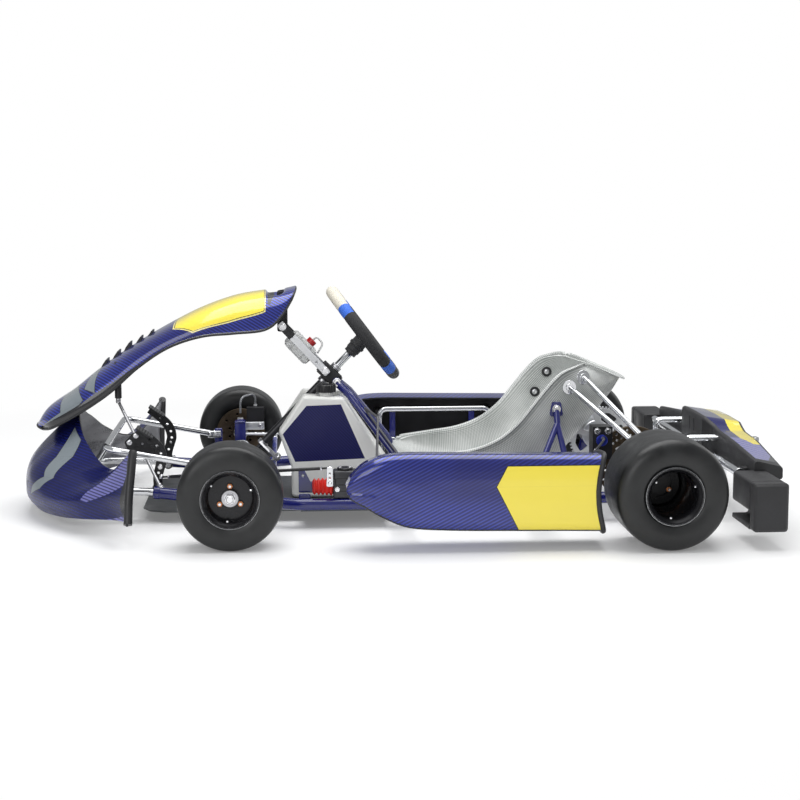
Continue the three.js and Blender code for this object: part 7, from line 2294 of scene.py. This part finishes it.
@dataclass
class RearBumper:
    """Chrome bars and the plastic bumper over them."""

    half_width: float = 512
    rounding: float = 10
    tube_x: float = 1262
    tube_z: float = 150
    socket_y: float = 305
    hoop_y: float = 172

    def build(self) -> None:
        """Makes the bars and the bumper."""
        self.bars()
        self.body()

    def bars(self) -> None:
        """Makes the cross tube, its uprights and the four bent hoops."""
        forms = [rod((self.tube_x, -470, self.tube_z), (self.tube_x, 470, self.tube_z), 12, 28, 2)]
        caps = []
        for _, side in SIDES:
            forms.append(
                tube(
                    bent_line(
                        [
                            (1088.3, side * self.socket_y, 61), (self.tube_x, side * self.socket_y, 61),
                            (self.tube_x, side * self.socket_y, self.tube_z),
                        ],
                        38,
                    ),
                    12, 26,
                )
            )
            for spread in (-10, 10):
                y = side * self.hoop_y + spread
                forms.append(
                    tube(
                        bent_line(
                            [(self.tube_x, y, self.tube_z), (1197, y, self.tube_z), (1197, y, 193), (1296, y, 193)],
                            18,
                        ),
                        7, 20,
                    )
                )
            caps.append(rod((self.tube_x, side * 469, self.tube_z), (self.tube_x, side * 472, self.tube_z), 11.5, 24))
            caps.append(bolt((1104, side * self.socket_y, 76), UP, 3.6, 3.5))
        maker.piece(
            "bumper_tubes", {"chrome": forms, "black_plastic": caps}, Body.CHASSIS,
            ["rear_bumper_bars"],
        )

    def ring(self, y: float) -> Array:
        """The bumper's section at a place across the kart, from tables of its front, top, back and foot."""
        places = [0, 112, 140, 172, 300, 512]
        at = abs(y)
        front, top, rear, rear_top, low = (
            float(np.interp(at, places, row)) for row in (
                (1256, 1257, 1278, 1282, 1284, 1286), (244, 242, 222, 212, 205, 188),
                (1365, 1365, 1364, 1363, 1361, 1358),
                (228, 226, 218, 210, 203, 171), (128, 128, 128, 128, 132, 140),
            )
        )
        section = rounded_outline([(front, low), (rear, low), (rear, rear_top), (front, top)], self.rounding, 4)
        return np.stack([section[:, 0], np.full(len(section), y), section[:, 1]], -1)

    def body(self) -> None:
        """Makes the long body with its hump, the end blocks with their recess, the pads and the straps."""
        stations = np.unique(
            np.concatenate([np.linspace(-self.half_width, self.half_width, 65), [-172, -140, -112, 112, 140, 172]])
        )
        rings = np.stack([self.ring(y) for y in stations])
        form = loft(rings)
        centres = np.array([form.points[list(face)].mean(axis=0) for face in form.faces])
        corners = np.array([[form.points[index] for index in face[:4]] for face in form.faces if len(face) == 4])
        facing = np.zeros(len(form.faces))
        facing[[len(face) == 4 for face in form.faces]] = np.abs(
            np.cross(corners[:, 2] - corners[:, 0], corners[:, 3] - corners[:, 1])[:, 2]
        )
        facing /= np.maximum(facing.max(), 1e-9)
        at = np.abs(centres[:, 1])
        above = (facing > 0.12) & (centres[:, 2] > 165)
        form.marks = np.where(above & (at < 484), 1, 0).tolist()
        pads = [section_box((1274.3, 1345), (side * 445 - 12, side * 445 + 12), (138, 162), 3) for _, side in SIDES]
        ends, slots, straps = [], [], []
        outline = [(1236, 45), (1320, 45), (1320, 162), (1236, 162), (1236, 88), (1276, 88), (1276, 57), (1236, 57)]
        for _, side in SIDES:
            ends.append(flat_plate(rounded_outline(outline, 9, 4), [], 150, (0, side * 575, 0), UPRIGHT_PLATE, 2.5))
            ends.append(flat_plate(rounded_outline(outline[:4], 9, 4), [], 40, (0, side * 670, 0), UPRIGHT_PLATE, 6))
            straps.append(section_box((1352, 1364.8), (side * 270 - 13, side * 270 + 13), (128, 209), 2))
            slots.append(rounded_box((1256.4, side * 22, 208), (2.4, 12, 36), 1.1))
        web = [
            section_box((1288, 1318), (side * 470, side * 512) if side > 0 else (-512, -470), (140, 160), 4)
            for _, side in SIDES
        ]
        panel_blue = Bodywork(
            "bumper_sheet", (0.24, 0.23, 0.45), 0.16, coat=0.9, vary=0.15, grain=1500, depth=0.00001, plane=Plane.TOP,
            blocks=tuple(Block(patch, color) for patch, color in self.patches()),
        )
        shop.special(panel_blue)
        maker.piece(
            "bumper_shell",
            {
                "rough_plastic+bumper_sheet": [form], "rough_plastic": [*pads, *ends, *web], "inner_black": slots,
                "chrome": straps,
            },
            Body.CHASSIS, ["rear_bumper"],
        )

    def patches(self) -> list[tuple[tuple[tuple[tuple[float, float], ...], ...], tuple[float, float, float]]]:
        """Colour blocks on the bumper's top, in the frame's own lengths: navy, yellow and the black edges."""
        middle = ((846, -188), (990, -188), (990, 188), (846, 188))
        navy = [((846, side * 188), (990, side * 150), (990, side * 300), (846, side * 232)) for side in (-1, 1)]
        yellow = ((918, -270), (935, -330), (990, -345), (990, 345), (935, 330), (918, 270))
        edges = (((840, -600), (861, -600), (861, 600), (840, 600)), ((957, -600), (990, -600), (990, 600), (957, 600)))
        corners = tuple(
            ((930, side * 480), (990, side * 330), (990, side * 600), (930, side * 600)) for side in (-1, 1)
        )
        return [((middle, *navy), NAVY), ((yellow,), YELLOW), ((*edges, *corners), INK)]


@dataclass
class Controls:
    """Pedals, the link, the pump with its lever, and the rear hose."""

    pivot: tuple[float, float] = (-199, 77)
    pedal_y: float = 192
    lever_pivot: tuple[float, float] = (243, 118)
    pump_x: float = 282.5
    pump_y: float = -326

    def build(self) -> None:
        """Makes the controls."""
        self.pedal("brake_pedal", -1, Body.BRAKE_PEDAL)
        self.pedal("throttle_pedal", 1, Body.THROTTLE_PEDAL)
        self.link()
        self.pump()
        self.lever()
        self.rear_hose()

    def pedal(self, node: str, side: int, body: Body) -> None:
        """Makes a pierced, curved arm with its boss and foot pad."""
        table = np.array(
            [(0, 0, 11), (0, 35, 12), (-7, 63, 13), (-11, 82, 13.5), (-4, 108, 13.5), (17, 133, 12), (52, 157, 8)],
            float,
        )
        share = np.linspace(0, 1, 33)
        line = np.stack([smooth(table[:, k], share) for k in range(3)], -1)
        middle = np.stack([self.pivot[0] - line[:, 0], self.pivot[1] + line[:, 1]], -1)
        run = np.gradient(middle, axis=0)
        run /= np.linalg.norm(run, axis=1, keepdims=True)
        normal = np.stack([-run[:, 1], run[:, 0]], -1)
        outline = np.vstack([middle + normal * line[:, 2:], (middle - normal * line[:, 2:])[::-1]])
        holes = [circle(*self.pivot, 5.3, 20)] + [circle(*middle[k], 3.6, 14) for k in range(7, 28, 4)]
        arm = flat_plate(outline, holes, 8, (0, side * self.pedal_y, 0), UPRIGHT_PLATE, 0.9)
        boss = lathe(
            [(5.3, -5), (11, -5), (12, -4), (12, 4), (11, 5), (5.3, 5)],
            (self.pivot[0], side * self.pedal_y, self.pivot[1]), ACROSS, 28, True,
        )
        low, high = middle[27], middle[32]
        along = unit([high[0] - low[0], 0, high[1] - low[1]])
        up = np.cross(along, ACROSS)
        up = up if up[2] > 0 else -up
        centre = np.array([(low[0] + high[0]) / 2, side * 201.5, (low[1] + high[1]) / 2]) + up * 8.3
        pad = rounded_box(centre, (50, 53, 5), 2.2, (along, ACROSS, up))
        ribs = [
            rounded_box(centre + along * s + up * 2.6, (3, 47, 2.4), 1, (along, ACROSS, up))
            for s in (-16, -8, 0, 8, 16)
        ]
        bolts = [bolt((middle[10][0], side * 196, middle[10][1]), (0, side, 0), 2.8, 3)]
        guard = []
        if side < 0:
            bolts.append(bolt((self.pivot[0] + 9, -196, self.pivot[1] + 35), (0, -1, 0), 3, 2))
            shield = rounded_outline(
                [
                    (-285, 202), (-259, 228), (-224, 224), (-197, 202), (-187, 183), (-209, 168), (-243, 171),
                    (-273, 175),
                ],
                9,
            )
            guard.append(flat_plate(shield, [circle(-238, 197, 3)], 3.6, (0, -184, 0), UPRIGHT_PLATE, 0.8))
            bolts.extend(bolt((x, -186, z), (0, -1, 0), 3.4, 2.4) for x, z in ((-254, 219), (-204, 192), (-271, 201)))
        maker.piece(
            f"{node}_arm", {"black_metal": [arm, boss, pad, *guard], "rough_plastic": ribs, "bright_bolt": bolts},
            body, [node],
        )

    def link(self) -> None:
        """Makes the long link from the pedal to the pump's lever."""
        front, rear = np.array([-190, -202.4, 112.0]), np.array([243, -351.6, 156.0])
        run = unit(rear - front)
        forms = [
            tube(
                np.array([front, front + run * 24, front + run * 27, rear - run * 27, rear - run * 24, rear]),
                [2.6, 2.6, 4, 4, 2.6, 2.6], 18,
            )
        ]
        steel = [ball(front, 6), ball(rear, 5), nut(front + run * 20, run, 8, 4), nut(rear - run * 24, run, 8, 4)]
        maker.piece(
            "pedal_link", {"black_metal": forms, "bright_bolt": steel}, Body.BRAKE_ROD, ["brake_rod"],
        )

    def pump(self) -> None:
        """Makes the pump's body, lid, ribbed gaiter and bracket."""
        body = rounded_box((self.pump_x, self.pump_y, 111.6), (61, 48, 70.6), 6)
        bands = [rounded_box((self.pump_x, self.pump_y, z), (62.4, 49.4, 4), 1.6) for z in (96, 112, 128)]
        lid = lathe([(0, 0), (19, 0), (20, 1), (20, 5), (18.6, 6), (0, 6)], (self.pump_x, self.pump_y, 147), UP, 40)
        x = np.linspace(0, 1, 43)
        wave = 0.5 - 0.5 * np.cos(2 * np.pi * 5 * x)
        profile = np.stack([(17.5 + 6.5 * wave ** 0.8) * (0.86 + 0.14 * x), x * 52.5], -1)
        gaiter = lathe(np.vstack([[(0, 0)], profile, [(0, 52.5)]]), (199.5, self.pump_y, 104), (1, 0, 0), 36)
        outline = rounded_outline([(267, 84), (267, 118), (195, 112), (180, 143), (165, 143), (165, 84)], 4)
        bracket = flat_plate(outline, [circle(176, 128, 3.2)], 6, (0, -299, 0), UPRIGHT_PLATE, 0.8)
        cheek = section_box((235, 257), (-357, -345), (110, 126), 2)
        steel = [
            rod((243, -350, 118), (243, -366.6, 118), 4, 18), bolt((270, self.pump_y, 153), UP, 2.4, 2),
            bolt((295, self.pump_y, 153), UP, 2.4, 2),
            bolt((262, -350, 100), (0, -1, 0), 3, 3), bolt((302, -350, 124), (0, -1, 0), 3, 3),
            nut((313, self.pump_y, 118), (1, 0, 0), 12, 7),
        ]
        maker.piece(
            "brake_cylinder",
            {
                "dark_casting": [body, cheek], "black_metal": [lid, *bands], "red_rubber": [gaiter],
                "blue_paint": [bracket], "bright_bolt": steel,
            },
            Body.CHASSIS, ["brake_pump"],
        )

    def lever(self) -> None:
        """Makes the pierced lever."""
        outline = rounded_outline([(234.5, 109.5), (251.5, 109.5), (250.6, 160), (235.4, 160)], 6.5)
        plate = flat_plate(
            outline, [circle(*self.lever_pivot, 4.3, 20), circle(243, 132, 2.6, 14), circle(243, 143, 2.6, 14)], 5,
            (0, -359.5, 0), UPRIGHT_PLATE, 0.7,
        )
        maker.piece("cylinder_lever", {"chrome": [plate]}, Body.PUMP_LEVER, ["pump_lever"])

    def rear_hose(self) -> None:
        """Makes the hose that rises beside the tank and runs back along the seat to the caliper."""
        corners = [
            (313.3, 326, 118), (362, 326, 118), (374, 205, 262), (339, 96, 278), (375, 122, 230), (428, 170, 158),
            (452, 222, 96),
            (520, 280, 88), (640, 304, 88), (850, 268, 90), (905, 264, 94), (938, 264, 178), (960, 264, 206),
            (960, 240.3, 206),
        ]
        line = bent_line([(x, -y, z) for x, y, z in corners], 26, 8)
        middle = int(np.argmin(np.linalg.norm(line - [428, -170, 158], axis=1)))
        ends = [nut((318, self.pump_y, 118), (1, 0, 0), 10, 9), nut((960, -249, 206), ACROSS, 11, 8)]
        sleeve = tube(line[middle:middle + 24], 4.6, 14)
        maker.piece(
            "rear_brake_line",
            {"dark_braid": [tube(line, 3.4, 14)], "black_plastic": [sleeve], "bright_bolt": ends}, Body.CHASSIS,
            ["rear_brake_hose"],
        )


def main() -> None:
    """Builds the studio and every sub-assembly, and reports each piece."""
    logging.basicConfig(level=logging.INFO, format="%(name)s: %(message)s")
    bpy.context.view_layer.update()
    Studio().build()
    assemblies = [
        MainFrame(), Steering(), *(FrontCorner(name, side) for name, side in SIDES), RearAxle(), FrontBody(),
        SidePods(),
        Seat(), FuelSystem(), RearBumper(), Controls(),
    ]
    for assembly in assemblies:
        assembly.build()
    log.info("%d pieces made", maker.made)
    bpy.context.view_layer.update()


if __name__ == "__main__":
    main()
